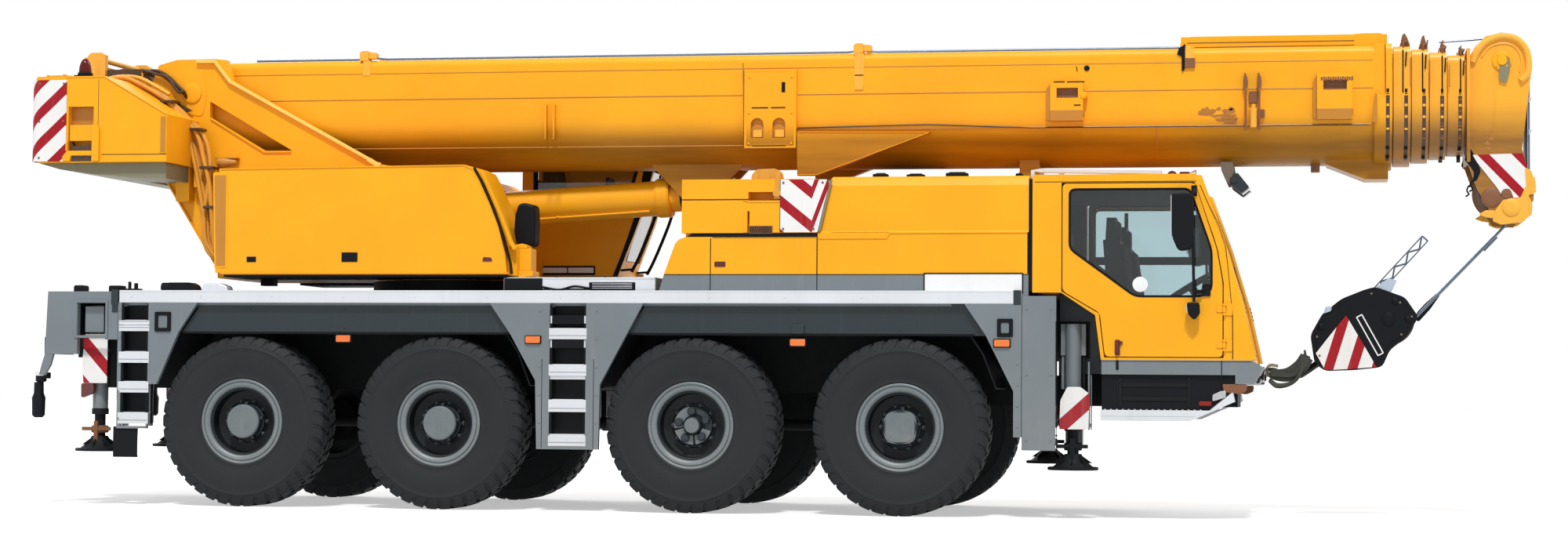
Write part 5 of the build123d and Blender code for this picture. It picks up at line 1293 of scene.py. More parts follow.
# deck: tread boards, the small things on the rear deck, bag, boxes and the slewing seat
DECK_Z = 1.7
boards = [block(x, x + 0.92, 0.5, 1.19, DECK_Z - 0.001, DECK_Z + 0.006) for x in (-0.95, 0.02)]
boards += [block(-1.62, -1.1, -1.19, 1.19, DECK_Z - 0.001, DECK_Z + 0.006)]
on_carrier("deck_boards", TREAD, both(*boards), bevel=0.002)
small = joined(
    block(-1.465, -1.37, 1.15, 1.24, 1.705, 1.782, 0.02),
    block(-1.165, -1.055, 1.13, 1.23, 1.705, 1.78, 0.015),
    bar((-0.995, 1.2, 1.75), (-0.995, 1.2, 1.812), 0.013, 10),
    bar((-0.94, 1.2, 1.75), (-0.94, 1.2, 1.8), 0.016, 10),
    block(-1.03, -0.9, 1.16, 1.24, 1.7, 1.755),
    lathe([
        (0.03, -0.72), (0.04, -0.715), (0.04, -0.66), (0.034, -0.655)
    ], (0, 1.19, 1.765), "x", 18),
    prism(rounded([
        (-0.66, 1.725), (-0.655, 1.805), (-0.46, 1.805), (-0.415, 1.78), (-0.4, 1.725)
    ], 0.02), 1.12, 1.235)
)
on_carrier("rear_deck_fittings", BLACK, both(small), bevel=0.006)
pale = prism(rounded([
    (-0.375, 1.705), (-0.35, 1.795), (-0.22, 1.8), (-0.15, 1.775), (-0.13, 1.705)
], 0.02), 1.1, 1.23)
on_carrier("rear_deck_bag", ALUMINIUM, both(pale), bevel=0.015, segments=3)
BOX_Y = 1.19
box_face = joined(
    block(2.48, 3.395, BOX_Y - 0.006, BOX_Y + 0.003, 1.738, 1.836),
    block(2.48, 3.395, BOX_Y - 0.02, BOX_Y + 0.008, 1.834, 1.842)
)
on_carrier("deck_box_face", ALUMINIUM, both(box_face), bevel=0.002)
trims = joined(
    block(2.165, 2.478, BOX_Y - 0.006, BOX_Y + 0.002, 1.712, 1.838),
    block(2.86, 3.236, BOX_Y - 0.004, BOX_Y + 0.006, 1.742, 1.808, 0.008),
    strip([(2.45, 1.752), (2.86, 1.752)], 0.018, 0.01, BOX_Y + 0.006),
    bent([
        (2.48, 1.2, 1.77), (2.62, 1.205, 1.748), (2.74, 1.205, 1.775), (2.86, 1.2, 1.76)
    ], 20, 0.008)
)
on_carrier("deck_box_covers", BLACK, both(trims), bevel=0.002)
slats = [
    block(2.885, 3.21, BOX_Y + 0.004, BOX_Y + 0.008, z, z + 0.004)
    for z in (1.757, 1.77, 1.783, 1.796)
]
lids = [prism(rectangle(x, x + 0.4, 0.715, 1.175), 1.841, 1.849, "z") for x in (2.18, 2.585, 2.99)]
on_carrier("deck_box_lids", ALUMINIUM, both(*slats, *lids), bevel=0.003)
ring_bolts = [
    (1.45 + 0.725 * math.cos(a), 0.725 * math.sin(a), DECK_Z - 0.002)
    for a in np.arange(0, TAU, TAU / 32)
]
on_carrier(
    "slew_seat_bolts", CHASSIS,
    lathe([
        (0.765, 1.69), (0.765, 1.712), (0.7, 1.718), (0.688, 1.718), (0.688, 1.69)
    ], (1.45, 0, 0), "z", 96),
    bolt_heads(ring_bolts, "z", 1, 0.016, 0.034)
)

# under the frame: air tanks, fuel tank, brake chambers and struts on each axle, pipes
under = [lathe([
    (0.05, -0.3), (0.115, -0.27), (0.125, -0.22), (0.125, 0.22), (0.115, 0.27), (0.05, 0.3)
], (x, 0.6, 1.08), "y", 24) for x in (2.6, 2.85)]
tank = prism(rounded(rectangle(0.5, 0.98, 0.62, 1.1), 0.07), 2.47, 2.86, "x")
on_carrier("air_tanks", CHASSIS, mirrored(*under))
on_carrier("fuel_tank", ALUMINIUM, tank, bevel=0.01)
straps = [rail(
    [(x, y, z) for y, z in rounded(rectangle(0.495, 0.985, 0.615, 1.105), 0.07)],
    rectangle(-0.003, 0.003, -0.02, 0.02), True
) for x in (2.56, 2.77)]
on_carrier("tank_straps", BLACK, *straps)
chambers = []
for x in AXLES.values():
    for dx in (-0.14, 0.14):
        chambers.append(lathe([
            (0.03, 0.0), (0.075, 0.02), (0.085, 0.07), (0.075, 0.13), (0.03, 0.15)
        ], (x + dx, 0.33, 0.93), "y", 20))
    chambers.append(bar((x - 0.05, 0.62, 0.86), (x - 0.05, 0.62, 1.23), 0.035))
on_carrier("brake_chambers", CHASSIS, both(*chambers))
pipes = [bent([
    (AXLES[4] - 0.4, y, 0.98), (1.2, y + 0.02, 0.97), (3.0, y, 0.98), (5.6, y + 0.02, 0.97)
], 30, 0.014, 8) for y in (0.3, 0.335, 0.37)]
on_carrier("frame_pipes", CHASSIS, both(*pipes))

# striped plate, tube and fittings on each outrigger: its side, place and the foot's height
OUTRIGGERS = (
    ("front_right", "right", 6.67, 0.37), ("front_left", "left", 6.29, 0.37),
    ("rear_right", "right", -1.29, 0.43), ("rear_left", "left", -1.535, 0.43)
)
JACK_Y = 1.07
for name, side, x, foot in OUTRIGGERS:
    beam, jack, front = f"outrigger_beam_{name}", f"outrigger_jack_{name}", name.startswith("front")
    x_low = x - (0.105 if front else 0.098)
    if front:
        outline = [
            (x - 0.096, 0.684), (x + 0.126, 0.684), (x + 0.134, 0.955), (x + 0.065, 1.008),
            (x - 0.035, 1.008), (x - 0.088, 0.905)
        ]
        material = striped(f"stripes_{name}", -0.9, 0.0, 0.345, 0.38, -5.288 + 0.9 * (6.67 - x))
    else:
        outline = [
            (x_low, 0.985), (x_low + 0.205, 0.985), (x_low + 0.205, 1.385), (x_low + 0.01, 1.385),
            (x_low - 0.012, 1.17)
        ]
        material = striped(f"stripes_{name}", 1.1, 0.0, 0.345, 0.38, -0.263 + 1.1 * (x + 1.29))
    plate = prism(rounded(outline, 0.012), 1.186, 1.192)
    piece(beam, f"stripe_plate_{name}", material, on_side(side, plate), slot="rail_aluminium")
    z0, z1 = (0.7, 1.0) if front else (1.0, 1.37)
    holders = joined(
        block(x - 0.05, x + 0.05, 1.125, 1.186, z0 + 0.05, z0 + 0.09),
        block(x - 0.05, x + 0.05, 1.125, 1.186, z1 - 0.09, z1 - 0.05),
        lathe([(0.071, z1 - 0.1), (0.071, z1 - 0.04)], (x, JACK_Y, 0), "z", 32),
        lathe([(0.071, z0 + 0.04), (0.071, z0 + 0.1)], (x, JACK_Y, 0), "z", 32),
        lathe([
            (0.068, foot + 0.3), (0.068, foot + 0.345), (0.063, foot + 0.35)
        ], (x, JACK_Y, 0), "z", 32),
        tube([(x + 0.085, 1.1, z0 - 0.02 if front else 0.95), (x + 0.085, 1.1, 1.24)], 0.011)
    )
    piece(beam, f"jack_clamps_{name}", CHASSIS, on_side(side, holders), bevel=0.002)
    if front:
        guards = joined(
            block(x - 0.092, x - 0.07, 1.02, 1.06, 0.99, 1.245),
            block(x + 0.118, x + 0.132, 1.1, 1.14, 0.68, 1.2),
            block(x + 0.138, x + 0.147, 1.1, 1.13, 0.68, 1.1),
            block(x + 0.06, x + 0.147, 1.1, 1.13, 0.7, 0.73)
        )
        piece(beam, f"jack_guards_{name}", GREY, on_side(side, guards), bevel=0.003)
    else:
        lamps = joined(
            block(x - 0.112, x - (0.075 if side == "right" else 0.1), 1.14, 1.19, 1.285, 1.38),
            prism(rounded([
                (x - 0.118, 0.862), (x - 0.01, 0.905), (x - 0.01, 0.984), (x - 0.12, 0.984)
            ], 0.02), 1.135, 1.19)
        )
        piece(
            beam, f"jack_lamps_{name}", RED_DARK, on_side(side, lamps), bevel=0.006,
            slot="cab_glass"
        )
        end_plate = block(x - 0.075, x + 0.088, 1.216, 1.228, 1.398, 1.61)
        piece(beam, f"beam_end_{name}", GREY, on_side(side, end_plate), bevel=0.004)
    # foot: rim, ribs, ball cap and the cross-shaped retaining fitting
    ribs = [moved(
        prism([(0.055, foot + 0.052), (0.15, foot + 0.054), (0.06, foot + 0.118)], -0.006, 0.006),
        (x, JACK_Y, 0), rotation(a)
    ) for a in np.arange(0, TAU, TAU / 8)]
    fitting = joined(lathe([
        (0.19, foot), (0.196, foot + 0.006), (0.196, foot + 0.02), (0.188, foot + 0.026)
    ], (x, JACK_Y, 0), "z", 48), *ribs)
    piece(jack, f"foot_ribs_{name}", BLACK, on_side(side, fitting))
    cross = joined(
        lathe([
            (0.066, foot + 0.15), (0.07, foot + 0.16), (0.07, foot + 0.2), (0.062, foot + 0.21)
        ], (x, JACK_Y, 0), "z", 28),
        block(x - 0.125, x + 0.12, 1.125, 1.15, foot + 0.168, foot + 0.198),
        block(x - 0.02, x + 0.016, 1.125, 1.155, foot + 0.085, foot + 0.245)
    )
    piece(
        jack, f"foot_fitting_{name}", RUST if not front else BLACK, on_side(side, cross),
        bevel=0.004, slot="winch_steel"
    )
# ------------------------------------------------------------------ hood, locker and ballast
HOOD_Y = 1.25
BALLAST_Y = 1.26
# upright gaps between the flaps and a wide one behind the cab
gaps = [
    strip([(x, z0), (x, z1)], wide, 0.004, HOOD_Y + 0.0012)
    for x, z0, z1, wide in (
        (3.851, 1.702, 2.15, 0.007), (4.697, 1.702, 2.15, 0.007), (6.336, 1.87, 2.19, 0.01)
    )
]
on_carrier("hood_gaps", BLACK, both(*gaps))
# folded crease of the hood: a raised lip that steps up half way, and the joint with the grey skirt
crease = joined(
    strip([(4.705, 2.146), (5.248, 2.147)], 0.01, 0.01, HOOD_Y + 0.007),
    strip([(5.245, 2.146), (5.262, 2.187)], 0.01, 0.01, HOOD_Y + 0.007),
    strip([(5.258, 2.188), (6.334, 2.19)], 0.012, 0.012, HOOD_Y + 0.007),
    strip([(4.812, 2.196), (5.26, 2.196)], 0.006, 0.006, HOOD_Y + 0.002)
)
on_carrier("hood_crease", YELLOW, both(crease), bevel=0.003)
lip = strip([(3.482, 1.866), (6.336, 1.866)], 0.006, 0.005, HOOD_Y + 0.0025)
on_carrier("hood_lip", BLACK, both(lip))
HANDLE = 3.883, 3.971, 1.926, 1.967
handles = joined(
    ring_plate(
        inner_place(HANDLE, 0, 0.008), inner_place(HANDLE, 0.008), HOOD_Y - 0.002, HOOD_Y + 0.005
    ),
    prism(inner_place(HANDLE, 0.007), HOOD_Y - 0.002, HOOD_Y + 0.002),
    block(3.895, 3.96, HOOD_Y, HOOD_Y + 0.008, 1.941, 1.949)
)
more = [moved(handles, (dx, 0, 0.0)) for dx in (1.03, 2.1)]
on_carrier("flap_handles", RED_DARK, mirrored(handles), handles, *more, bevel=0.002)
# blank nameplate in its dark frame on the grey skirt
NAME_PLACE = 5.532, 6.301, 1.722, 1.878

on_carrier("nameplate_frame", BLACK, both(ring_plate(
    inner_place(NAME_PLACE, 0), inner_place(NAME_PLACE, 0.01), HOOD_Y - 0.003, HOOD_Y + 0.01
)), bevel=0.002)
on_carrier("nameplate", WHITE, both(prism(
    inner_place(NAME_PLACE, 0.009), HOOD_Y - 0.003, HOOD_Y + 0.006
)))
# hood top: raised panels, grille, feet, exhaust and the boom's rest
TOP = 2.63
panels = []
for x0, x1 in ((4.93, 5.55), (5.6, 6.25)):
    plan = rounded(rectangle(x0, x1, -0.95, 0.95), 0.05)
    panels.append(prism(plan, TOP - 0.004, TOP + 0.006, "z"))
on_carrier("hood_top_panels", YELLOW, *panels, bevel=0.004)
slats = []
for k in range(22):
    x = 5.02 + 0.022 * k
    slats.append(block(x - 0.008, x + 0.008, -0.55, 0.55, TOP + 0.008, TOP + 0.011))
FRAME_TOP = 4.99, 5.51, -0.58, 0.58
slats.append(ring_plate(
    inner_place(FRAME_TOP, 0, 0.02), inner_place(FRAME_TOP, 0.022), TOP + 0.004, TOP + 0.014, "z"
))
on_carrier("hood_top_grille", BLACK, *slats)
caps = []
for x0, x1, y, high in (
    (5.08, 5.2, -0.9, 0.04), (5.348, 5.491, -0.9, 0.034), (5.658, 5.831, -0.9, 0.044),
    (6.205, 6.262, -0.9, 0.036)
):
    plan = rounded(rectangle(x0, x1, y - 0.05, y + 0.05), 0.02)
    caps.append(prism(plan, TOP, TOP + high, "z"))
    caps.append(bar(
        (x0 + 0.02, y, TOP + high - 0.002), (x1 - 0.02, y, TOP + high - 0.002), 0.012, 10
    ))
caps += [mirrored(cap) for cap in caps]
on_carrier("hood_top_feet", BLACK, *caps, bevel=0.008)
stack = lathe([
    (0.075, TOP - 0.01), (0.085, TOP), (0.075, TOP + 0.012), (0.075, TOP + 0.05),
    (0.07, TOP + 0.052), (0.066, TOP + 0.02), (0.03, TOP + 0.012)
], (5.95, 0.86, 0), "z", 32)
on_carrier("exhaust_outlet", CHASSIS, stack)
rest = [block(6.105, 6.375, -0.26, 0.26, TOP - 0.002, TOP + 0.02, 0.006)]
rest += [prism(
    [(6.15, TOP), (6.33, TOP), (6.3, TOP + 0.045), (6.18, TOP + 0.045)], y - 0.012, y + 0.012
) for y in (-0.235, 0.235)]
on_carrier("boom_rest", BLACK, *rest, bevel=0.003)
# slatted air inlet low in the hood's left wall
inlets = []
for z in np.arange(1.95, 2.13, 0.03):
    inlets.append(block(4.86, 5.5, HOOD_Y - 0.001, HOOD_Y + 0.0015, z, z + 0.006))
flaps = [strip([(x, 1.885), (x, 2.14)], 0.004, 0.003, HOOD_Y + 0.001) for x in (5.6, 6.05)]
on_carrier("left_air_inlet", BLACK, *inlets, *flaps)

# ballast: folded edges, grille, lifting gear in its notch and the black seat line
grille_place = rectangle(4.158, 4.345, 2.184, 2.245)
bars = [ring_plate(grille_place, inset(grille_place, 0.005), BALLAST_Y - 0.004, BALLAST_Y + 0.004)]
bars += [prism(
    [(x, 2.187), (x + 0.004, 2.187), (x + 0.01, 2.243), (x + 0.006, 2.243)], BALLAST_Y - 0.003,
    BALLAST_Y + 0.003
) for x in np.arange(4.163, 4.33, 0.011)]
on_carrier("ballast_grille", RUST, both(*bars))
on_carrier("ballast_grille_back", BLACK, both(
    prism(inset(grille_place, 0.003), BALLAST_Y - 0.003, BALLAST_Y + 0.001)
))
seat = joined(
    prism([(3.66, 2.162), (4.686, 2.162), (4.686, 2.188), (3.7, 2.188)], 1.215, BALLAST_Y - 0.012),
    block(3.865, 4.694, BALLAST_Y - 0.014, BALLAST_Y - 0.003, 2.158, 2.19)
)
on_carrier("ballast_seat", BLACK, both(seat))
seam = [strip([(3.625, 2.451), (4.16, 2.451)], 0.008, 0.004, BALLAST_Y + 0.0005)]
seam += [strip([(4.404, 2.192), (4.404, 2.606)], 0.006, 0.004, BALLAST_Y + 0.001)]
on_carrier("ballast_seams", GREASE, both(*seam))
ledge = joined(
    block(4.148, 4.402, BALLAST_Y - 0.05, BALLAST_Y + 0.006, 2.428, 2.442),
    prism([(4.108, 2.442), (4.152, 2.436), (4.152, 2.446)], BALLAST_Y - 0.002, BALLAST_Y + 0.008),
    block(4.115, 4.143, BALLAST_Y - 0.002, BALLAST_Y + 0.007, 2.195, 2.362),
    block(4.352, 4.4, BALLAST_Y - 0.002, BALLAST_Y + 0.003, 2.192, 2.235)
)
on_carrier("ballast_ledges", YELLOW, both(ledge), bevel=0.003)
column = joined(
    block(4.352, 4.404, BALLAST_Y - 0.075, BALLAST_Y - 0.004, 2.455, 2.66),
    block(4.362, 4.396, BALLAST_Y - 0.02, BALLAST_Y + 0.004, 2.47, 2.64),
    prism(rounded([
        (4.165, 2.61), (4.4, 2.61), (4.39, 2.668), (4.36, 2.695), (4.21, 2.69), (4.17, 2.65)
    ], 0.02), BALLAST_Y - 0.19, BALLAST_Y - 0.03),
    lathe([
        (0.02, -0.03), (0.034, -0.028), (0.034, 0.022), (0.028, 0.028)
    ], (4.377, BALLAST_Y - 0.02, 2.5), "y", 20)
)
on_carrier("lifting_column", HOSE, both(column), bevel=0.006)
knots = []
for k, (x, z) in enumerate((
    (4.43, 2.63), (4.47, 2.645), (4.52, 2.632), (4.57, 2.648), (4.6, 2.63), (4.5, 2.66)
)):
    knots.append(bent([
        (x - 0.05, BALLAST_Y - 0.09, z - 0.015),
        (x - 0.01, BALLAST_Y - 0.05 + 0.01 * math.sin(3 * k), z + 0.02),
        (x + 0.04, BALLAST_Y - 0.08, z - 0.01)
    ], 12, 0.01, 8))
    knots.append(bar((x, BALLAST_Y - 0.07, 2.61), (x, BALLAST_Y - 0.07, z + 0.025), 0.006, 6))
on_carrier("lifting_chain", GREASE, *knots)
# chevron plate over the ballast's front end, its front edge leaning with the hood
chevron = [
    (4.408, 2.194), (4.408, 2.604), (4.775, 2.604), (4.79, 2.56), (4.752, 2.42), (4.7, 2.194)
]
CHEVRON = striped("ballast_chevrons", 0, 0, 0.264, 0.36, 2.1886, 4.655, (0.81, 2.67))
plate = prism(chevron, BALLAST_Y + 0.002, BALLAST_Y + 0.007)
on_carrier("chevron_plates", CHEVRON, both(plate))
on_carrier("chevron_bolts", STEEL, both(bolt_heads([
    (x, BALLAST_Y + 0.007, z) for x, z in ((4.43, 2.22), (4.43, 2.58), (4.67, 2.22), (4.74, 2.58))
], "y", 1, 0.01, 0.005)))
on_carrier("chevron_shade", OLIVE, both(prism(
    [(4.7, 2.2), (4.722, 2.2), (4.815, 2.6), (4.785, 2.6)], BALLAST_Y - 0.012, BALLAST_Y + 0.001
)), slot="trim_black")
# lashing eyes on top of the ballast
eyes = []
for y in (-1.0, -0.75, 0.75, 1.0):
    arch = (-0.05, 2.6), (-0.05, 2.622), (0, 2.634), (0.05, 2.622), (0.05, 2.6)
    eyes.append(tube([(3.985, y + dy, z) for dy, z in arch], 0.01, 8))
on_carrier("ballast_eyes", STEEL, *eyes)
# ------------------------------------------------------------------ tail, winch and side plates
TAIL_Y = 1.19
# striped plates wrapped round the rear corners
plan = curve([
    (-1.583, 1.1985, 0), (-1.7, 1.1985, 0), (-1.822, 1.1985, 0), (-1.872, 1.176, 0),
    (-1.888, 1.135, 0), (-1.889, 1.0, 0), (-1.889, 0.872, 0)
], 25)
heights = np.linspace(2.8, 3.47, 8)
face_points = np.array([[(x, y, z) for x, y, _ in plan] for z in heights])
inner_points = face_points + np.array([0.006, -0.006, 0])
TAIL_STRIPES = striped("tail_stripes", -0.935, -0.935, 0.253, 0.41, 3.7072)
rows = np.concatenate([
    face_points.transpose(1, 0, 2), inner_points.transpose(1, 0, 2)[:, ::-1]
], axis=1)
sheet = outward(grid(rows, wrap_columns=True, cap=True))
on_superstructure("tail_stripe_plates", TAIL_STRIPES, both(sheet), sharp=50)
on_superstructure("tail_plate_bolts", STEEL, both(bolt_heads(
    [(x, 1.1985, z) for x in (-1.6, -1.81) for z in (2.83, 3.13, 3.44)], "y", 1, 0.01, 0.005
)))
red_end = prism(rounded([
    (-1.895, 3.37), (-1.885, 3.37), (-1.872, 3.475), (-1.885, 3.485), (-1.898, 3.45)
], 0.006), 0.9, 1.12)
on_superstructure("tail_marker_lamps", RED_LENS, both(red_end), bevel=0.003)

# pocket surround: box inside the pocket, proud post, cross bar and foot, dark slot
pocket = joined(
    block(-1.555, -1.352, TAIL_Y - 0.06, TAIL_Y - 0.014, 2.968, 3.1, 0.01),
    prism(rounded([
        (-1.345, 2.798), (-1.345, 3.1), (-1.302, 3.1), (-1.282, 3.06), (-1.282, 2.798)
    ], 0.006), TAIL_Y - 0.03, TAIL_Y + 0.024),
    prism(rounded([
        (-1.6, 2.842), (-1.6, 2.8), (-1.535, 2.8), (-1.525, 2.846), (-1.345, 2.846),
        (-1.345, 2.886), (-1.56, 2.886)
    ], 0.01), TAIL_Y - 0.03, TAIL_Y + 0.02),
    prism([
        (-1.58, 2.886), (-1.566, 2.886), (-1.56, 2.96), (-1.574, 2.98)
    ], TAIL_Y - 0.03, TAIL_Y + 0.012),
    lathe([
        (0.012, -0.01), (0.02, -0.008), (0.02, 0.018), (0.014, 0.022)
    ], (-1.312, TAIL_Y + 0.004, 2.855), "y", 16)
)
on_superstructure("tail_pocket_frames", YELLOW, both(pocket), bevel=0.005)
slot_dark = joined(
    prism([
        (-1.535, 2.89), (-1.35, 2.89), (-1.35, 2.94), (-1.52, 2.925), (-1.535, 2.962)
    ], TAIL_Y - 0.07, TAIL_Y - 0.01),
    prism([
        (-1.53, 2.8), (-1.352, 2.8), (-1.352, 2.843), (-1.52, 2.843)
    ], TAIL_Y - 0.03, TAIL_Y + 0.004)
)
on_superstructure("tail_pocket_slots", GREASE, both(slot_dark))
# sheet in the shaded yellow at the pocket's top: painted shade in the recess
shade = block(-1.585, -1.345, TAIL_Y - 0.088, TAIL_Y - 0.07, 3.102, 3.246)
on_superstructure("tail_pocket_back", SHADE_AND_SEAM_YELLOW, both(shade))
lines = joined(
    strip([(-1.265, 2.855), (-0.705, 2.853)], 0.01, 0.004, TAIL_Y + 0.0015),
    strip([(-1.3, 3.47), (-1.3, 3.1)], 0.004, 0.003, TAIL_Y + 0.001)
)
on_superstructure("tail_seams", GREASE, both(lines))
tabs = joined(
    block(-1.27, -0.705, TAIL_Y - 0.004, TAIL_Y + 0.004, 2.792, 2.848),
    strip([(-1.585, 3.492), (-1.255, 3.492)], 0.012, 0.008, TAIL_Y + 0.004),
    strip([(-1.25, 3.495), (-0.705, 3.18)], 0.016, 0.008, TAIL_Y + 0.004),
    block(-0.762, -0.7, TAIL_Y - 0.002, TAIL_Y + 0.006, 2.86, 3.172, 0.006)
)
on_superstructure("tail_edge_flanges", YELLOW, both(tabs), bevel=0.003)
# strip in the shaded yellow at the tail's front end: painted shade of an inset
end_inset_shade = block(-0.754, -0.708, TAIL_Y + 0.004, TAIL_Y + 0.0075, 2.868, 3.16, 0.004)
on_superstructure("tail_slot_columns", SHADE_AND_SEAM_YELLOW, both(end_inset_shade))
cut = both(prism([
    (-1.832, 2.789), (-1.652, 2.739), (-1.37, 2.699), (-1.14, 2.678), (-1.14, 2.789)
], 0.0, 1.134))
legs_room = both(prism([
    (-1.141, 2.789), (-1.141, 2.678), (-1.0, 2.668), (-0.728, 2.658), (-0.728, 2.789)
], 0.531, 1.134))
on_superstructure("tail_pan_skin", OLIVE, cut, legs_room)

# lamps, their bases and guards, and the antenna on the tail
beacon = dome((-1.47, -1.08, 3.545), 0.052, 0.115, 0.0, 28)
on_superstructure("tail_beacons", RED_LENS_DARK, beacon, mirrored(beacon), slot="cab_glass")
base = lathe([
    (0.045, 3.5), (0.06, 3.505), (0.062, 3.535), (0.052, 3.545)
], (-1.47, 1.08, 0), "z", 28)
seat = prism(rounded([
    (-1.54, 3.5), (-1.54, 3.515), (-1.39, 3.515), (-1.39, 3.5)
], 0.004), 1.0, 1.15)
aerial = joined(
    lathe([
        (0.012, 3.5), (0.012, 3.565), (0.02, 3.567), (0.02, 3.6), (0.006, 3.61), (0.004, 3.66)
    ], (-1.6, 1.1, 0), "z", 14),
    lathe([(0.009, 3.5), (0.009, 3.575), (0.004, 3.58)], (-1.628, 1.1, 0), "z", 12),
    bent([(-1.6, 1.1, 3.51), (-1.52, 1.09, 3.525), (-1.47, 1.08, 3.51)], 10, 0.006, 6)
)
on_superstructure("tail_lamp_bases", BLACK, both(base, seat), aerial, bevel=0.003)
rim_strip = [bent(
    [(-1.85, y, 3.465), (-1.8, y, 3.505), (-1.7, y, 3.512), (-1.58, y, 3.508)], 12, 0.01, 8
) for y in (0.95, 1.02, 1.09)]
rim_strip += [
    bar((-1.78, 0.93, 3.51), (-1.78, 1.12, 3.51), 0.012, 8),
    bar((-1.64, 0.93, 3.515), (-1.64, 1.12, 3.515), 0.012, 8)
]
on_superstructure("tail_lamp_guards", HOSE, both(*rim_strip))

# winch guard plates, cross bar, rope on the drum and its run forward to the boom
WINCH_X, WINCH_Z = -1.42, 3.42
plate = rounded([
    (-1.745, 3.495), (-1.735, 3.74), (-1.7, 3.782), (-1.59, 3.782), (-1.565, 3.745), (-1.56, 3.495)
], 0.02)
guards = [prism(plate, 0.452, 0.476), prism(inset(plate, 0.03), 0.472, 0.484)]
guards += [
    block(-1.6, -1.56, 0.434, 0.495, 3.497, 3.76), block(-1.748, -1.735, 0.434, 0.495, 3.497, 3.74)
]
guards.append(prism([(-1.6, 3.5), (-1.6, 3.53), (-1.1, 3.53), (-1.1, 3.5)], 0.436, 0.46))
cross = [
    block(-1.735, -1.715, -0.45, 0.45, 3.64, 3.7),
    bar((-1.68, -0.45, 3.74), (-1.68, 0.45, 3.74), 0.022, 12)
]
on_superstructure("winch_guards", YELLOW_WORN, both(*guards), *cross, bevel=0.004)
PACK_HALF = 0.325
layers = []
for layer, (radius, count) in enumerate(((0.19, 13), (0.214, 12), (0.236, 10))):
    angle = np.linspace(0, TAU * count, count * 22)
    along = np.linspace(-PACK_HALF + 0.025 * layer, PACK_HALF - 0.025 * layer, len(angle))
    path = np.stack([
        WINCH_X + radius * np.cos(angle), along * (1 if layer % 2 == 0 else -1),
        WINCH_Z + radius * np.sin(angle)
    ], -1)
    layers.append(tube(path, 0.0125, 6))
on_superstructure("winch_rope", GREASE, *layers)
loose = bent([
    (WINCH_X + 0.02, -0.1, 3.655), (-1.2, -0.1, 3.65), (-1.12, -0.1 + 0.01, 3.64)
], 16, 0.011, 8)
rough_rope = []
for k in range(7):
    phase = 1.3 * k
    rough_rope.append(bent([
        (-1.2, -0.42 - 0.025 * k, 3.6 + 0.02 * math.sin(phase)),
        (-1.08, -0.44 - 0.02 * k, 3.585 + 0.03 * math.cos(phase)),
        (-0.96, -0.46 - 0.02 * k, 3.53 + 0.03 * math.sin(phase + 1)),
        (-0.86, -0.5 - 0.015 * k, 3.45 + 0.02 * math.cos(2 * phase)),
        (-0.8, -0.545 - 0.01 * k, 3.37 + 0.01 * k)
    ], 18, 0.013, 7))
strips_brown = block(-1.55, -1.18, -0.475, -0.465, 3.56, 3.635)
on_superstructure("winch_lead", GREASE, loose, *rough_rope, strips_brown)
strap = [block(-1.235, -1.222, -0.485, -0.47, 3.5, 3.665)]
strap.append(bent([
    (-1.56, -0.62, 3.515), (-1.4, -0.62, 3.555), (-1.2, -0.63, 3.545), (-1.02, -0.64, 3.46),
    (-0.92, -0.63, 3.4)
], 20, 0.018, 8))
on_superstructure("winch_straps", YELLOW_WORN, *strap, bevel=0.002)
opening = prism([
    (-1.5, 3.497), (-1.4, 3.497), (-1.32, 3.44), (-1.16, 3.44), (-1.13, 3.46), (-1.3, 3.525),
    (-1.42, 3.53)
], -0.6, -0.585)
on_superstructure("winch_opening", GREASE, opening)

# hose bundle down from the winch to the turntable behind the housing
bundle = []
main_path = [
    (-1.36, 3.545), (-1.244, 3.51), (-0.961, 3.375), (-0.77, 3.215), (-0.618, 3.04), (-0.555, 2.84),
    (-0.515, 2.64), (-0.5, 2.31), (-0.47, 2.08), (-0.36, 1.98)
]
for k in range(7):
    dy, dx = -0.6 - 0.03 * (k % 4), -0.03 * (k // 2) + 0.012 * math.sin(2.1 * k)
    points = [(
        x + dx * (0.4 + 0.6 * math.sin(1.1 * j + k)), dy + 0.012 * math.sin(j + 1.7 * k),
        z + 0.014 * math.sin(1.9 * j + 2 * k)
    ) for j, (x, z) in enumerate(main_path)]
    bundle.append(bent(points, 46, 0.019 - 0.002 * (k % 3), 8))
inner_path = [
    (-0.93, 3.3), (-0.83, 3.2), (-0.7, 3.04), (-0.64, 2.84), (-0.585, 2.6), (-0.545, 2.38),
    (-0.52, 2.15), (-0.42, 2.02)
]
for k in range(3):
    points = [(
        x - 0.018 * k, -0.62 - 0.028 * k, z + 0.01 * math.sin(1.7 * j + 2 * k)
    ) for j, (x, z) in enumerate(inner_path)]
    bundle.append(bent(points, 40, 0.016, 8))
on_superstructure("hose_bundle", HOSE, *bundle, *[mirrored(hose) for hose in bundle[::2]])
sleeves = []
for x, z in ((-0.9, 3.335), (-0.66, 3.1), (-0.545, 2.78), (-0.508, 2.45)):
    sleeves.append(block(x - 0.065, x + 0.055, -0.725, -0.575, z - 0.011, z + 0.011))
on_superstructure("hose_clamps", GREASE, *sleeves, bevel=0.004)
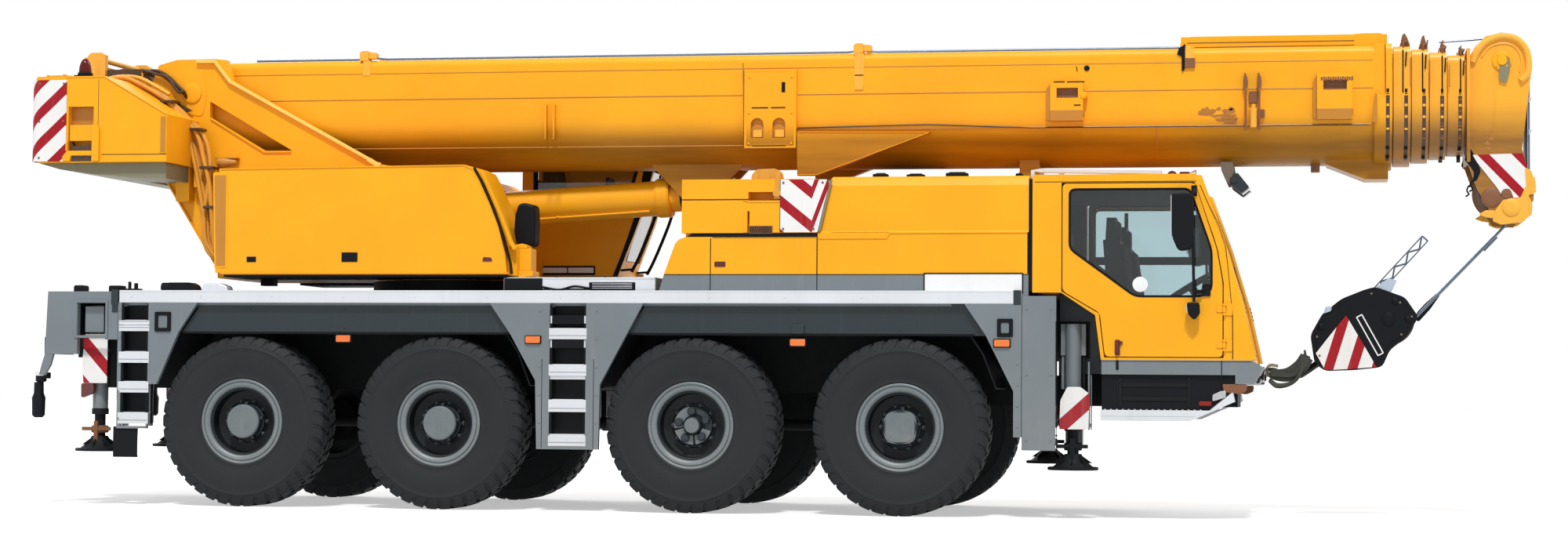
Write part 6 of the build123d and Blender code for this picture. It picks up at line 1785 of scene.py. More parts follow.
# dark sheets in the gap between the bundle and the side plate: painted shade
on_superstructure(
    "hose_gap", GREASE,
    prism(rounded([
        (-0.955, 3.36), (-0.86, 3.33), (-0.74, 3.27), (-0.8, 3.255), (-0.9, 3.29)
    ], 0.01), -0.575, -0.56),
    prism([
        (-0.7, 2.86), (-0.7, 3.05), (-0.655, 3.08), (-0.6, 2.9), (-0.575, 2.72), (-0.6, 2.66),
        (-0.62, 2.85), (-0.65, 2.98)
    ], -0.555, -0.54)
)
cover = prism(rounded([
    (-0.842, 2.5), (-0.838, 2.985), (-0.815, 3.04), (-0.745, 3.04), (-0.722, 2.985), (-0.722, 2.5)
], 0.02), 0.545, 0.66)
small_cover = block(-0.7, -0.64, 0.555, 0.62, 2.62, 2.83, 0.015)
on_superstructure("upright_covers", YELLOW, both(cover, small_cover), bevel=0.008)

# side plates: flange strips along the brace, boss of the boom pivot, doubler plates and weld lines
def plate_strip(path, wide, thick):
    """Strip standing on a side plate's outer face."""
    return strip(path, wide, thick, 0.53 + thick)


# the brace's flange strips in pale yellow: painted highlight along its upper edge
brace = joined(
    plate_strip([(-0.72, 3.684), (-0.555, 3.68), (-0.42, 3.512), (0.9, 2.8)], 0.044, 0.024),
    plate_strip([(0.8, 2.852), (0.885, 2.8), (0.905, 2.812)], 0.06, 0.034)
)
on_superstructure("brace_flanges", HIGHLIGHT_YELLOW, both(brace), bevel=0.004)
flanges = joined(
    plate_strip([(0.92, 2.796), (1.49, 2.69)], 0.03, 0.022),
    plate_strip([(-0.59, 3.206), (-0.112, 2.92), (0.12, 2.92)], 0.014, 0.014),
    plate_strip([(-1.038, 2.79), (-0.508, 1.955)], 0.026, 0.016),
    lathe([
        (0.085, 0.53), (0.085, 0.548), (0.075, 0.552), (0.03, 0.552)
    ], (-0.76, 0, 3.42), "y", 40),
    prism(rounded([
        (-1.0, 3.28), (-0.98, 3.58), (-0.66, 3.62), (-0.63, 3.4), (-0.66, 3.22)
    ], 0.05), 0.529, 0.536)
)
on_superstructure("side_plate_flanges", YELLOW, both(flanges), bevel=0.003)
# horn and its bracket in the shaded yellow: painted shade under the side plate
horn = joined(lathe(
    [(0.035, -0.5), (0.04, -0.495), (0.04, -0.44), (0.03, -0.4), (0.022, -0.345), (0.012, -0.335)],
    (0, 0.585, 2.832), "x", 20
), block(-0.52, -0.33, 0.53, 0.6, 2.862, 2.874))
on_superstructure("plate_brackets", SHADE_AND_SEAM_YELLOW, both(horn), bevel=0.003)
# cross tie in the shaded yellow: painted shade under the boom
on_superstructure("cross_tie", SHADE_AND_SEAM_YELLOW, block(-0.35, -0.05, -0.475, 0.475, 2.755, 2.775))

# ------------------------------------------------------------------ side housings
HOUSE_Y = 1.2
slots = [rectangle(0.007, 0.085, 1.971, 2.014), rectangle(0.811, 0.944, 1.971, 2.047)]
vents = []
for place in slots:
    vents += [
        ring_plate(place, inset(place, 0.006), HOUSE_Y - 0.002, HOUSE_Y + 0.004),
        prism(inset(place, 0.005), HOUSE_Y - 0.003, HOUSE_Y + 0.0015)
    ]
on_superstructure("housing_slots", BLACK, both(*vents))
latch = prism(rounded(
    [(1.985, 1.973), (2.066, 1.973), (2.058, 2.004), (1.992, 2.008)], 0.008
), HOUSE_Y - 0.002, HOUSE_Y + 0.006)
on_superstructure(
    "housing_latch", RED_DARK, mirrored(latch), moved(latch, (-0.42, 0, 0)), bevel=0.002,
    slot="cab_glass"
)
edges = joined(
    strip([(-0.215, 1.88), (2.205, 1.88)], 0.02, 0.008, HOUSE_Y + 0.006),
    strip([(-0.232, 2.724), (1.82, 2.741)], 0.014, 0.006, HOUSE_Y + 0.004),
    strip([
        (1.825, 2.741), (1.898, 2.708), (1.951, 2.618), (2.036, 2.438), (2.11, 2.258),
        (2.172, 2.02), (2.185, 1.885)
    ], 0.012, 0.006, HOUSE_Y + 0.004)
)
edges_left = joined(
    strip([(-0.215, 1.88), (1.715, 1.88)], 0.02, 0.008, HOUSE_Y + 0.006),
    strip([(-0.232, 2.724), (1.555, 2.735)], 0.014, 0.006, HOUSE_Y + 0.004),
    strip([(1.565, 2.732), (1.713, 2.596), (1.713, 1.89)], 0.012, 0.006, HOUSE_Y + 0.004)
)
rear_flange = joined(
    prism([
        (-0.268, 1.925), (-0.292, 2.69), (-0.165, 2.69), (-0.163, 1.925)
    ], HOUSE_Y - 0.01, HOUSE_Y + 0.005),
    prism([
        (-0.262, 1.885), (-0.285, 2.7), (-0.235, 2.7), (-0.215, 1.885)
    ], HOUSING_IN, HOUSE_Y + 0.002)
)
on_superstructure(
    "housing_edges", YELLOW, mirrored(edges, rear_flange), edges_left, rear_flange, bevel=0.002
)
shaded = prism([
    (-0.255, 1.94), (-0.278, 2.675), (-0.178, 2.675), (-0.176, 1.94)
], HOUSE_Y + 0.004, HOUSE_Y + 0.0065)
on_superstructure("housing_flange_shade", SHADE_AND_SEAM_YELLOW, both(shaded))
dark_base = joined(
    block(-0.2, 2.17, HOUSING_IN + 0.03, HOUSE_Y - 0.03, 1.852, 1.871),
    block(-0.08, 0.03, 0.56, 0.66, 1.8, 1.853)
)
skirt = lathe(rectangle(0.7, 0.735, 1.738, 1.845), (1.45, 0, 0), "z", 72, hollow=True)
on_superstructure("slew_ring_skirt", CHASSIS, skirt)
on_superstructure(
    "housing_underside", CHASSIS, mirrored(dark_base),
    block(-0.2, 1.7, HOUSING_IN + 0.03, HOUSE_Y - 0.03, 1.852, 1.871)
)
# slanted front of the right housing: dark joint, the strut beyond it, post and tank
front_gap = strip([
    (1.905, 2.722), (1.974, 2.6), (2.07, 2.39), (2.152, 2.17), (2.212, 1.96), (2.222, 1.875)
], 0.052, 0.01, HOUSE_Y - 0.012)
on_superstructure("housing_front_gap", BLACK, mirrored(front_gap))
strut = joined(strip(
    [(1.95, 2.7), (2.022, 2.552), (2.116, 2.35), (2.2, 2.135), (2.24, 2.07)], 0.052, 0.03,
    HOUSE_Y - 0.04
), block(2.14, 2.24, 0.95, 1.1, 1.862, 2.1))
post = joined(
    block(2.175, 2.335, 0.86, 1.02, 1.905, 2.085),
    prism(rounded([
        (2.148, 1.852), (2.148, 1.905), (2.356, 1.905), (2.356, 1.862), (2.26, 1.852)
    ], 0.008), 0.84, 1.04),
    prism(rounded([
        (2.168, 2.085), (2.168, 2.11), (2.26, 2.125), (2.3, 2.105), (2.3, 2.085)
    ], 0.008), 0.86, 1.02)
)
on_superstructure("front_posts", YELLOW, mirrored(strut, post), bevel=0.006)
tank_outline = rounded([
    (2.18, 2.105), (2.15, 2.22), (2.158, 2.36), (2.185, 2.45), (2.235, 2.462), (2.322, 2.44),
    (2.33, 2.3), (2.325, 2.118), (2.25, 2.1)
], 0.03)
tank = prism(tank_outline, 0.72, 0.9)
on_superstructure("mirror_and_tank", BLACK, mirrored(tank), bevel=0.028, segments=4)

# ------------------------------------------------------------------ luffing cylinder
foot, eye = np.array([0.55, 2.385]), np.array([3.5, 2.575])
way = (eye - foot) / np.linalg.norm(eye - foot)
square = np.array([-way[1], way[0]])
reach = np.linalg.norm(eye - foot)


def on_cylinder(distance, across, y):
    """Point at a distance along the cylinder, across it in side view and at y."""
    x, z = foot + way * distance + square * across
    return x, y, z


def cylinder_ring(profile, body, name, slot, material):
    """Ring about the cylinder's axis: each (radius, distance) turned about it."""
    angle = around(48)
    rows = np.array([[
        on_cylinder(d, r * math.cos(a), r * math.sin(a)) for a in angle
    ] for r, d in profile])
    return piece(body, name, material, outward(grid(rows, wrap_columns=True, cap=True)), slot=slot)


cylinder_ring(
    [(0.1455, 0.3), (0.152, 0.305), (0.152, 0.345), (0.1455, 0.35)], "luff_barrel",
    "barrel_band_rear", "boom_yellow", YELLOW
)
cylinder_ring([
    (0.1575, reach - 0.36), (0.164, reach - 0.355), (0.164, reach - 0.262), (0.15, reach - 0.248),
    (0.124, reach - 0.245)
], "luff_barrel", "barrel_gland", "boom_yellow", YELLOW)
cylinder_ring([
    (0.1225, reach - 0.16), (0.126, reach - 0.155), (0.126, reach - 0.125), (0.118, reach - 0.118),
    (0.096, reach - 0.118)
], "luff_barrel", "barrel_wiper", "trim_black", BLACK)
pipes = [tube([on_cylinder(d, 0.06, 0.15) for d in (0.42, 0.9, 1.5, 2.1, reach - 0.42)], 0.012, 8)]
pipes.append(tube([
    on_cylinder(d, -0.11, -0.108) for d in (0.42, 0.9, 1.5, 2.1, reach - 0.42)
], 0.01, 8))
for d in (0.8, 1.75):
    pipes.append(bar(on_cylinder(d, 0.05, 0.125), on_cylinder(d, 0.068, 0.16), 0.018, 8))
    pipes.append(bar(on_cylinder(d, -0.1, -0.095), on_cylinder(d, -0.118, -0.116), 0.016, 8))
on_barrel("barrel_pipes", YELLOW, *pipes)
valve = joined(block(-0.06, 0.1, -0.075, 0.075, -0.05, 0.045), lathe(
    [(0.022, 0.1), (0.026, 0.105), (0.026, 0.15), (0.016, 0.155)], (0, -0.03, 0), "x", 14
))
on_barrel("barrel_valve", YELLOW, moved(valve, (0.86, 0, 2.21)), bevel=0.006)
# ------------------------------------------------------------------ telescopic boom
BOOM_HALF, BOOM_TOP, BELLY_MID = 0.42, 3.69, 3.2
FRONTS = 9.085, 9.225, 9.362, 9.5, 9.638


def boom_skin(z, shrink=0.0):
    """Half width of the boom at height z: straight sides, sqrt(half^2 - drop^2) in the belly."""
    half, middle = BOOM_HALF - shrink, BELLY_MID
    return np.sqrt(np.maximum(half ** 2 - np.minimum(z - middle, 0.0) ** 2, 0.0))


def skin_line(x0, x1, z, radius):
    """Thin weld bead along the boom's side at height z."""
    y = float(boom_skin(z))
    return bar((x0, y, z), (x1, y, z), radius, 8)


# weld beads, the folds of the plates and the upright seams
beads = [
    skin_line(-0.9, 8.94, 3.358, 0.0045), skin_line(-0.9, 8.94, 3.575, 0.0035),
    skin_line(4.4, 8.94, 3.075, 0.006), skin_line(-0.9, 3.94, 2.955, 0.006)
]
beads.append(tube([
    (x, BOOM_HALF + 0.001, z) for x, z in ((3.93, 3.62), (3.938, 3.3), (3.94, 3.205))
], 0.005, 6))
for x in (4.366, 7.262):
    z = np.linspace(3.08, 2.8, 12)
    beads.append(tube(np.stack([np.full(12, x), boom_skin(z) + 0.001, z], -1), 0.004, 6))
on_boom("boom_welds", SHADE_AND_SEAM_YELLOW, both(*beads))
step_line = tube([
    (4.37, float(boom_skin(3.09)) + 0.004, 3.088), (5.44, float(boom_skin(3.1)) + 0.004, 3.105),
    (6.27, float(boom_skin(3.07)) + 0.004, 3.072), (8.9, float(boom_skin(3.07)) + 0.004, 3.07)
], 0.005, 8)
on_boom("boom_step", GREASE, both(step_line))

# dark rope along the top edge, cable carried beside it, roller brackets and straps
ROPE_Y = -0.375
rope_places = (
    (-0.25, 3.7), (0.66, 3.7), (0.78, 3.712), (0.9, 3.7), (4.78, 3.701), (4.9, 3.713),
    (5.02, 3.701), (7.46, 3.699)
)
rope_line = [tube([(x, ROPE_Y, z) for x, z in rope_places], 0.009, 8)]
rope_line.append(bar((-0.6, 0.0, 3.712), (7.45, 0.0, 3.712), 0.011, 8))
on_boom("boom_top_ropes", BLUE_GREY, *rope_line)
rollers = []
for x in (0.735, 4.905):
    rollers.append(prism(rounded([
        (x - 0.067, 3.685), (x - 0.067, 3.755), (x - 0.045, 3.768), (x + 0.01, 3.768),
        (x + 0.01, 3.685)
    ], 0.01), -0.425, -0.33))
    rollers.append(prism(rounded([
        (x + 0.006, 3.702), (x + 0.006, 3.76), (x + 0.075, 3.752), (x + 0.075, 3.702)
    ], 0.006), -0.41, -0.345))
    rollers.append(prism(rounded([
        (x - 0.067, 3.685), (x - 0.067, 3.745), (x + 0.067, 3.745), (x + 0.067, 3.685)
    ], 0.01), 0.33, 0.425))
    rollers.append(lathe([
        (0.02, -0.03), (0.03, -0.028), (0.022, -0.02), (0.022, 0.02), (0.03, 0.028), (0.02, 0.03)
    ], (x, 0.0, 3.716), "y", 20))
    rollers += [block(
        x - 0.02, x + 0.02, s * 0.045 - 0.006, s * 0.045 + 0.006, 3.688, 3.745
    ) for s in (-1, 1)]
on_boom("boom_rollers", YELLOW_WORN, *rollers, bevel=0.003)
straps = joined(
    block(4.846, 4.922, 0.4195, 0.4245, 3.395, 3.684, 0.004),
    block(4.85, 4.918, 0.424, 0.428, 3.39, 3.43, 0.004),
    block(0.7, 0.765, 0.4195, 0.4245, 3.56, 3.684, 0.004)
)
on_boom("boom_straps", YELLOW_WORN, both(straps), bevel=0.001)
ticks = []
for x0, x1, z0, z1 in (
    (4.849, 4.919, 3.505, 3.512), (4.258, 4.287, 3.374, 3.456), (4.012, 4.15, 3.246, 3.254),
    (4.172, 4.29, 3.246, 3.254)
):
    y = 0.4665 if x0 > 3.96 and x1 < 4.37 else 0.4255
    ticks.append(block(x0, x1, y - 0.003, y + 0.002, z0, z1, 0.002))
ticks.append(block(4.02, 4.297, 0.44, 0.4675, 2.936, 2.943))
LUG_Y = 0.4835
ticks += [
    block(x0, x1, y - 0.03, y, z - 0.004, z + 0.004, 0.003)
    for x0, x1, z, y in (
        (6.457, 6.547, 3.428, LUG_Y), (6.563, 6.7, 3.427, LUG_Y), (6.618, 6.672, 3.241, LUG_Y)
    )
]
ticks.append(lathe([(0.022, 0.415), (0.022, 0.428), (0.012, 0.433)], (6.715, 0, 3.54), "y", 20))
ticks.append(strip([(6.632, 3.555), (6.64, 3.515)], 0.005, 0.006, 0.424))
on_boom("boom_marks", BLACK, both(*ticks))

# guide box windows: shaded backs with a worn pad in each
backs, pads = [], []
for x in (4.005, 4.185):
    backs.append(block(x + 0.001, x + 0.104, 0.4315, 0.4345, 3.006, 3.165, 0.03))
    pads.append(block(x + 0.018, x + 0.092, 0.434, 0.452, 3.012, 3.072, 0.008))
    pads += [block(
        x + 0.02 + 0.012 * k, x + 0.026 + 0.012 * k, 0.434, 0.44, 3.128, 3.15
    ) for k in range(6)]
on_boom("guide_window_backs", SHADE_AND_SEAM_YELLOW, both(*backs))
on_boom("guide_pads", YELLOW_WORN, both(*pads), bevel=0.002)
edges = joined(
    ring_plate(
        rounded(rectangle(3.955, 4.375, 2.925, 3.555), 0.01),
        rounded(rectangle(3.967, 4.363, 2.937, 3.543), 0.01), 0.4645, 0.4665
    ),
    bolt_heads([
        (x, 0.4655, z) for x in (3.99, 4.34) for z in (2.96, 3.21, 3.5)
    ], "y", 1, 0.01, 0.006)
)
on_boom("guide_box_edges", YELLOW, both(edges))
on_boom("guide_box_joint", GREASE, both(
    strip([(3.9465, 2.93), (3.9465, 3.55)], 0.004, 0.01, 0.462),
    bar((4.383, 0.452, 2.93), (4.383, 0.44, 3.08), 0.004, 6)
))
# gusset: folded front edge and a shaded lower return
fold = joined(
    strip([(4.39, 3.052), (5.462, 3.038)], 0.012, 0.006, 0.464),
    strip([(4.395, 2.705), (4.555, 2.705), (5.455, 3.034)], 0.012, 0.006, 0.464)
)
on_boom("gusset_folds", YELLOW, both(fold), bevel=0.002)
on_boom("gusset_line", SHADE_AND_SEAM_YELLOW, both(
    strip([(4.934, 2.845), (4.934, 3.04)], 0.004, 0.003, 0.4615)
))

# side lugs: returns along the rear and lower edges in the shaded yellow as painted shade, worn
# recess
lug_shade, lug_worn = [], []
for x0, x1, z0, z1, left in ((6.43, 6.69, 3.12, 3.43, 6.394), (8.51, 8.78, 3.11, 3.47, 8.48)):
    lug_shade.append(prism([
        (left, z0 + 0.005), (left, z1 - 0.06), (x0 - 0.001, z1 - 0.01), (x0 - 0.001, z0 + 0.005)
    ], 0.418, 0.452))
    lug_shade.append(prism([
        (x0 - 0.001, z0 - 0.004), (x0 - 0.001, z0 + 0.082), (x1 + 0.01, z0 + 0.082),
        (x1 - 0.008, z0 - 0.004)
    ], 0.418, LUG_Y))
    lug_worn.append(block(x0 + 0.052, x1 - 0.042, 0.4415, 0.4445, z1 - 0.128, z1 - 0.052))
    lug_worn.append(block(x0 + 0.052, x1 - 0.042, 0.442, 0.47, z1 - 0.128, z1 - 0.118))
on_boom("side_lug_returns", SHADE_AND_SEAM_YELLOW, both(*lug_shade), bevel=0.003)
on_boom("side_lug_recesses", RUST, both(*lug_worn))
on_boom("side_lug_pins", YELLOW, both(lathe(
    [(0.03, 0.41), (0.03, 0.478), (0.022, 0.487), (0.008, 0.487)], (6.694, 0, 3.318), "y", 24
)))
rust_bar = []
for k in range(14):
    x = 8.54 + 0.018 * k
    rust_bar.append(block(
        x, x + 0.013, 0.4785, 0.4825, 3.412 - 0.003 * (k % 3), 3.438 + 0.003 * (k % 2), 0.004
    ))
on_boom("lug_wear", RUST, both(*rust_bar))

# pair of guide flanges near the front: worn plates, link and pin between, scuffed paint behind
links = joined(
    block(7.985, 8.052, 0.418, 0.44, 3.245, 3.338, 0.006),
    block(8.074, 8.108, 0.418, 0.436, 3.13, 3.195, 0.01)
)
lens = []
for x in (7.954, 8.06):
    outline = [(x - 0.012 * math.sin(math.pi * t), 3.335 + 0.15 * t) for t in np.linspace(0, 1, 9)]
    outline += [
        (x + 0.02 * math.sin(math.pi * t) + 0.004, 3.485 - 0.15 * t)
        for t in np.linspace(0.05, 0.95, 9)
    ]
    lens.append(prism(outline, 0.4195, 0.47))
on_boom("guide_flange_wear", RUST, both(links, *lens), bevel=0.002)
faces = [block(x - 0.001, x + 0.015, 0.4675, 0.4695, 3.032, 3.345) for x in (7.955, 8.06)]
on_boom("guide_flange_edges", RUST, both(*faces))
pin = lathe([
    (0.026, 3.05), (0.03, 3.055), (0.03, 3.195), (0.018, 3.205), (0.018, 3.235)
], (8.022, 0.448, 0), "z", 20)
on_boom("guide_flange_pins", YELLOW_WORN, both(pin))
scuffs = []
for k in range(26):
    a, b = math.sin(12.9 * k) * 0.5 + 0.5, math.sin(7.3 * k + 1) * 0.5 + 0.5
    x, z = 7.63 + 0.3 * a, 3.205 - 0.1 * b * (0.4 + a)
    if 7.93 < x + 0.06:
        x -= 0.07
    wide = 0.02 + 0.035 * b
    y = float(boom_skin(z)) if z < 3.2 else BOOM_HALF
    outline = [(
        x + wide * math.cos(t) * (1 + 0.3 * math.sin(3 * t + k)),
        z + 0.012 * math.sin(t) * (1 + 0.4 * math.cos(2 * t + k))
    ) for t in around(14)]
    scuffs.append(prism(outline, y - 0.004, y + 0.0015))
on_boom("boom_scuffs", WORN_PAINT, both(*scuffs))

# cable cover on top with its end bracket, lid seam and ribs; small block and lamp under the belly
cover = []
for side in (-1, 1):
    y0, y1 = sorted((side * 0.055, side * 0.305))
    cover.append(prism(rounded([
        (7.44, 3.688), (7.448, 3.755), (7.475, 3.785), (7.53, 3.793), (8.8, 3.793), (8.8, 3.688)
    ], 0.015), y0, y1))
    cover.append(prism(rounded([
        (8.79, 3.688), (8.79, 3.794), (8.86, 3.8), (9.0, 3.8), (9.034, 3.78), (9.038, 3.688)
    ], 0.012), y0 - 0.002, y1 + 0.002))
on_boom("cable_covers", YELLOW, *cover, bevel=0.006)
lid_seam = [
    strip([(7.5, 3.742), (8.8, 3.742)], 0.008, 0.004, 0.307),
    strip([(7.56, 3.706), (8.8, 3.706)], 0.005, 0.004, 0.307),
    strip([(9.032, 3.7), (9.034, 3.32)], 0.006, 0.004, BOOM_HALF + 0.002)
]
on_boom("cable_cover_seams", GREASE, both(*lid_seam))
bracket = joined(prism(
    rounded([
        (7.425, 3.64), (7.44, 3.69), (7.49, 3.718), (7.484, 3.515), (7.462, 3.505), (7.462, 3.62)
    ], 0.006),
    0.419, 0.432
), strip([(7.486, 3.718), (7.47, 3.505)], 0.012, 0.012, 0.436))
on_boom("cover_bracket", BLACK, both(bracket), bevel=0.002)
on_boom(
    "cover_bracket_box", RUST, both(block(7.486, 7.566, 0.419, 0.44, 3.531, 3.606, 0.006)),
    bevel=0.003
)
on_boom("cover_bracket_arm", YELLOW_WORN, both(prism(
    rounded([(7.488, 3.606), (7.495, 3.7), (7.53, 3.712), (7.566, 3.606)], 0.01), 0.419, 0.43
)), bevel=0.002)
on_boom("belly_block", RUST, block(8.462, 8.532, -0.1, 0.02, 2.728, 2.8), bevel=0.006)
lamp_arm = joined(
    prism(rounded([
        (7.76, 2.8), (7.765, 2.735), (7.812, 2.628), (7.838, 2.64), (7.868, 2.73), (7.856, 2.8)
    ], 0.01), -0.245, -0.225),
    prism(rounded([
        (7.76, 2.8), (7.765, 2.735), (7.812, 2.628), (7.838, 2.64), (7.868, 2.73), (7.856, 2.8)
    ], 0.01), -0.175, -0.155),
    bar((7.845, -0.25, 2.665), (7.845, -0.15, 2.665), 0.012, 10)
)
on_boom("work_lamp_bracket", STEEL, lamp_arm, mirrored(lamp_arm), bevel=0.002)
lamp_body = prism(rounded([
    (7.838, 2.615), (7.832, 2.668), (7.892, 2.715), (7.985, 2.598), (7.925, 2.548)
], 0.012), -0.262, -0.138)
ribs = [prism(
    [(7.846, 2.628), (7.84, 2.66), (7.88, 2.692), (7.905, 2.64)], y, y + 0.004
) for y in np.arange(-0.272, -0.13, 0.014)]
on_boom("work_lamp", SLATE, both(lamp_body, *ribs), bevel=0.004, slot="trim_black")
glass_face = prism([
    (7.98, 2.592), (7.986, 2.598), (7.993, 2.588), (7.934, 2.542), (7.928, 2.548)
], -0.25, -0.15)
on_boom("work_lamp_glass", CLEAR_LENS, both(glass_face))

# boom foot: end plate frame and a dark plate inside it
rear = []
outline = [
    (-0.4, 3.66), (0.4, 3.66), (0.41, 3.2), (0.3, 2.92), (0.0, 2.79), (-0.3, 2.92), (-0.41, 3.2)
]
rear.append(ring_plate(
    rounded(outline, 0.05),
    rounded([(y * 0.82, 3.25 + (z - 3.25) * 0.82) for y, z in outline], 0.05), -0.938, -0.918, "x"
))
on_boom("boom_foot_frame", YELLOW, *rear, bevel=0.004)
on_boom("boom_foot_dark", CHASSIS, prism(
    [(y * 0.95, 3.25 + (z - 3.25) * 0.95) for y, z in outline], -0.915, -0.9, "x"
))

# front collars: dark joints of the upper halves, worn pads in the slots, guards with rollers
for k in range(5):
    body = "boom" if k == 0 else f"section_{k}"
    shrink = 0.022 * k
    outer = BOOM_HALF - shrink + 0.04 - 0.005 * k
    front = FRONTS[k]
    column = np.array([[
        (x, float(boom_skin(z, shrink - 0.04 + 0.005 * k)) + 0.0008, z)
        for x in (front - 0.0475, front - 0.0185)
    ] for z in np.linspace(2.8, 3.292, 30)])
    inner_column = column - np.array([0, 0.01, 0])
    sheet = outward(grid(
        np.concatenate([column, inner_column[:, ::-1]], axis=1), wrap_columns=True, cap=True
    ))
    piece(body, f"collar_columns_{k}", GREASE, both(sheet))
    stops, pads = [], []
    for level in (3.022, 3.113, 3.203):
        wall = float(boom_skin(level + 0.012, shrink - 0.04 + 0.005 * k))
        stops.append(block(
            front - 0.044, front - 0.022, wall - 0.006, wall + 0.0035, level + 0.004, level + 0.024,
            0.003
        ))
    piece(body, f"collar_stops_{k}", YELLOW_WORN, both(*stops), bevel=0.001)
    for level in (2.96, 3.05, 3.14, 3.23):
        wall = float(boom_skin(level + 0.03, shrink - 0.03)) - 0.012
        pads.append(block(
            front - 0.045, front - 0.021, wall - 0.06, wall, level + 0.002, level + 0.06
        ))
        pads.append(lathe(
            [(0.01, wall), (0.01, wall + 0.006), (0.006, wall + 0.008)],
            (front - 0.033, 0, level + 0.031), "y", 12
        ))
    piece(body, f"collar_pads_{k}", RUST, both(*pads))
    slots = [
        block(front - 0.043, front - 0.023, outer - 0.004, outer + 0.0012, z0, z1, 0.004)
        for z0, z1 in ((3.315, 3.345), (3.302, 3.309))
    ]
    low = []
    for z0 in (2.88, 2.815):
        y = float(boom_skin(z0 + 0.025, shrink - 0.04 + 0.005 * k))
        low.append(block(front - 0.045, front - 0.021, y - 0.055, y + 0.003, z0, z0 + 0.048))
    piece(body, f"collar_slots_{k}", BLACK, both(*slots, *low))
    if k == 0:
        continue
    joint_x = (None, 9.168, 9.318, 9.468, 9.608)[k]
    top = BOOM_TOP - shrink + 0.012
    joint = [strip(
        [(joint_x, 3.31 + 0.004 * k), (joint_x, top - 0.03)], 0.01, 0.006, outer + 0.003
    )]
    joint.append(strip([
        (joint_x + 0.02, top - 0.16), (joint_x + 0.026, top - 0.05)
    ], 0.02, 0.01, outer + 0.006))
    piece(body, f"collar_joint_{k}", BLACK, both(*joint))
    rusty, yellow = [], []
    high = (None, 3.788, 3.775, 3.74, 3.7)[k]
    x0, x1 = joint_x - 0.006, (None, 9.222, 9.359, 9.497, 9.634)[k]
    for y in (outer - 0.075, outer - 0.16, 0.12):
        rusty.append(prism(rounded([
            (x0, top - 0.03), (x0, high - 0.02), (x0 + 0.02, high), (x1 - 0.02, high - 0.035),
            (x1, top + 0.02), (x1, top - 0.03)
        ], 0.008), y - 0.007, y + 0.007))
    for j in range(9):
        lean = 0.5 + 0.5 * math.sin(5.1 * j + 2.3 * k)
        tall = top + 0.02 + 0.055 * (0.5 + 0.5 * math.cos(3.7 * j + k))
        x = x0 + 0.012 + (x1 - x0 - 0.024) * lean
        y = 0.07 + (outer - 0.12) * (j + 0.5) / 9
        rusty.append(bar((x, y, top - 0.02), (x + 0.012 * math.sin(j), y, tall), 0.006, 6))
        rusty.append(block(
            x - 0.012, x + 0.01, y - 0.01, y + 0.01, top - 0.01, top + 0.018 + 0.02 * lean
        ))
    rusty.append(bar(
        (0.5 * (x0 + x1), outer - 0.185, top + 0.035),
        (0.5 * (x0 + x1), outer - 0.055, top + 0.035), 0.02, 12
    ))
    rusty.append(tube([
        (x0 + 0.01, outer - 0.03, top - 0.02), (x0 + 0.012, outer - 0.028, top + 0.03),
        (x0 + 0.035, outer - 0.05, top + 0.045), (x1 - 0.01, outer - 0.06, top + 0.02)
    ], 0.008, 8))
    yellow.append(prism(rounded([
        (x0 + 0.01, top - 0.01), (x0 + 0.014, high - 0.035), (x0 + 0.03, high - 0.02),
        (x1 - 0.02, top + 0.03), (x1 - 0.006, top - 0.01)
    ], 0.006), outer - 0.125, outer - 0.11))
    yellow.append(lathe([
        (0.016, -0.12), (0.03, -0.118), (0.018, -0.1), (0.018, 0.1), (0.03, 0.118), (0.016, 0.12)
    ], (0.5 * (x0 + x1), 0, top + 0.02), "y", 18))
    piece(body, f"rope_guard_{k}", RUST, both(*rusty), bevel=0.002)
    piece(body, f"rope_guard_plates_{k}", YELLOW_WORN, both(yellow[0]), yellow[1], bevel=0.002)
    stain = strip(
        [(joint_x + 0.055, 3.36), (joint_x + 0.055, top - 0.1)], 0.006, 0.004, outer + 0.001
    )
    piece(body, f"collar_stains_{k}", WORN_PAINT, both(stain))
wedge = prism([
    (8.934, 3.085), (8.94, 3.205), (8.958, 3.32), (8.972, 3.295), (8.972, 3.085)
], 0.4595, 0.4625)
on_boom("collar_wedge", SHADE_AND_SEAM_YELLOW, both(wedge))

# ------------------------------------------------------------------ boom head
HEAD_Y = 0.29
SHEAVE_X, UPPER_SHEAVE_Z, LOWER_SHEAVE_Z = 9.925, 3.57, 2.56
GROOVE_R = 0.212
arch = curve([
    (9.7, 0, 3.56), (9.735, 0, 3.64), (9.8, 0, 3.715), (9.9, 0, 3.756), (9.99, 0, 3.752),
    (10.06, 0, 3.715), (10.11, 0, 3.64), (10.126, 0, 3.53), (10.11, 0, 3.455), (10.066, 0, 3.41)
], 40)
arch[:, 1] = HEAD_Y + 0.004
inner_arch = curve([
    (9.77, 0, 3.6), (9.82, 0, 3.668), (9.9, 0, 3.702), (9.985, 0, 3.697), (10.045, 0, 3.65),
    (10.072, 0, 3.57), (10.058, 0, 3.48)
], 30)
inner_arch[:, 1] = HEAD_Y + 0.002
on_head("head_rims", YELLOW_WORN, both(tube(arch, 0.027, 10), tube(inner_arch, 0.008, 8)))
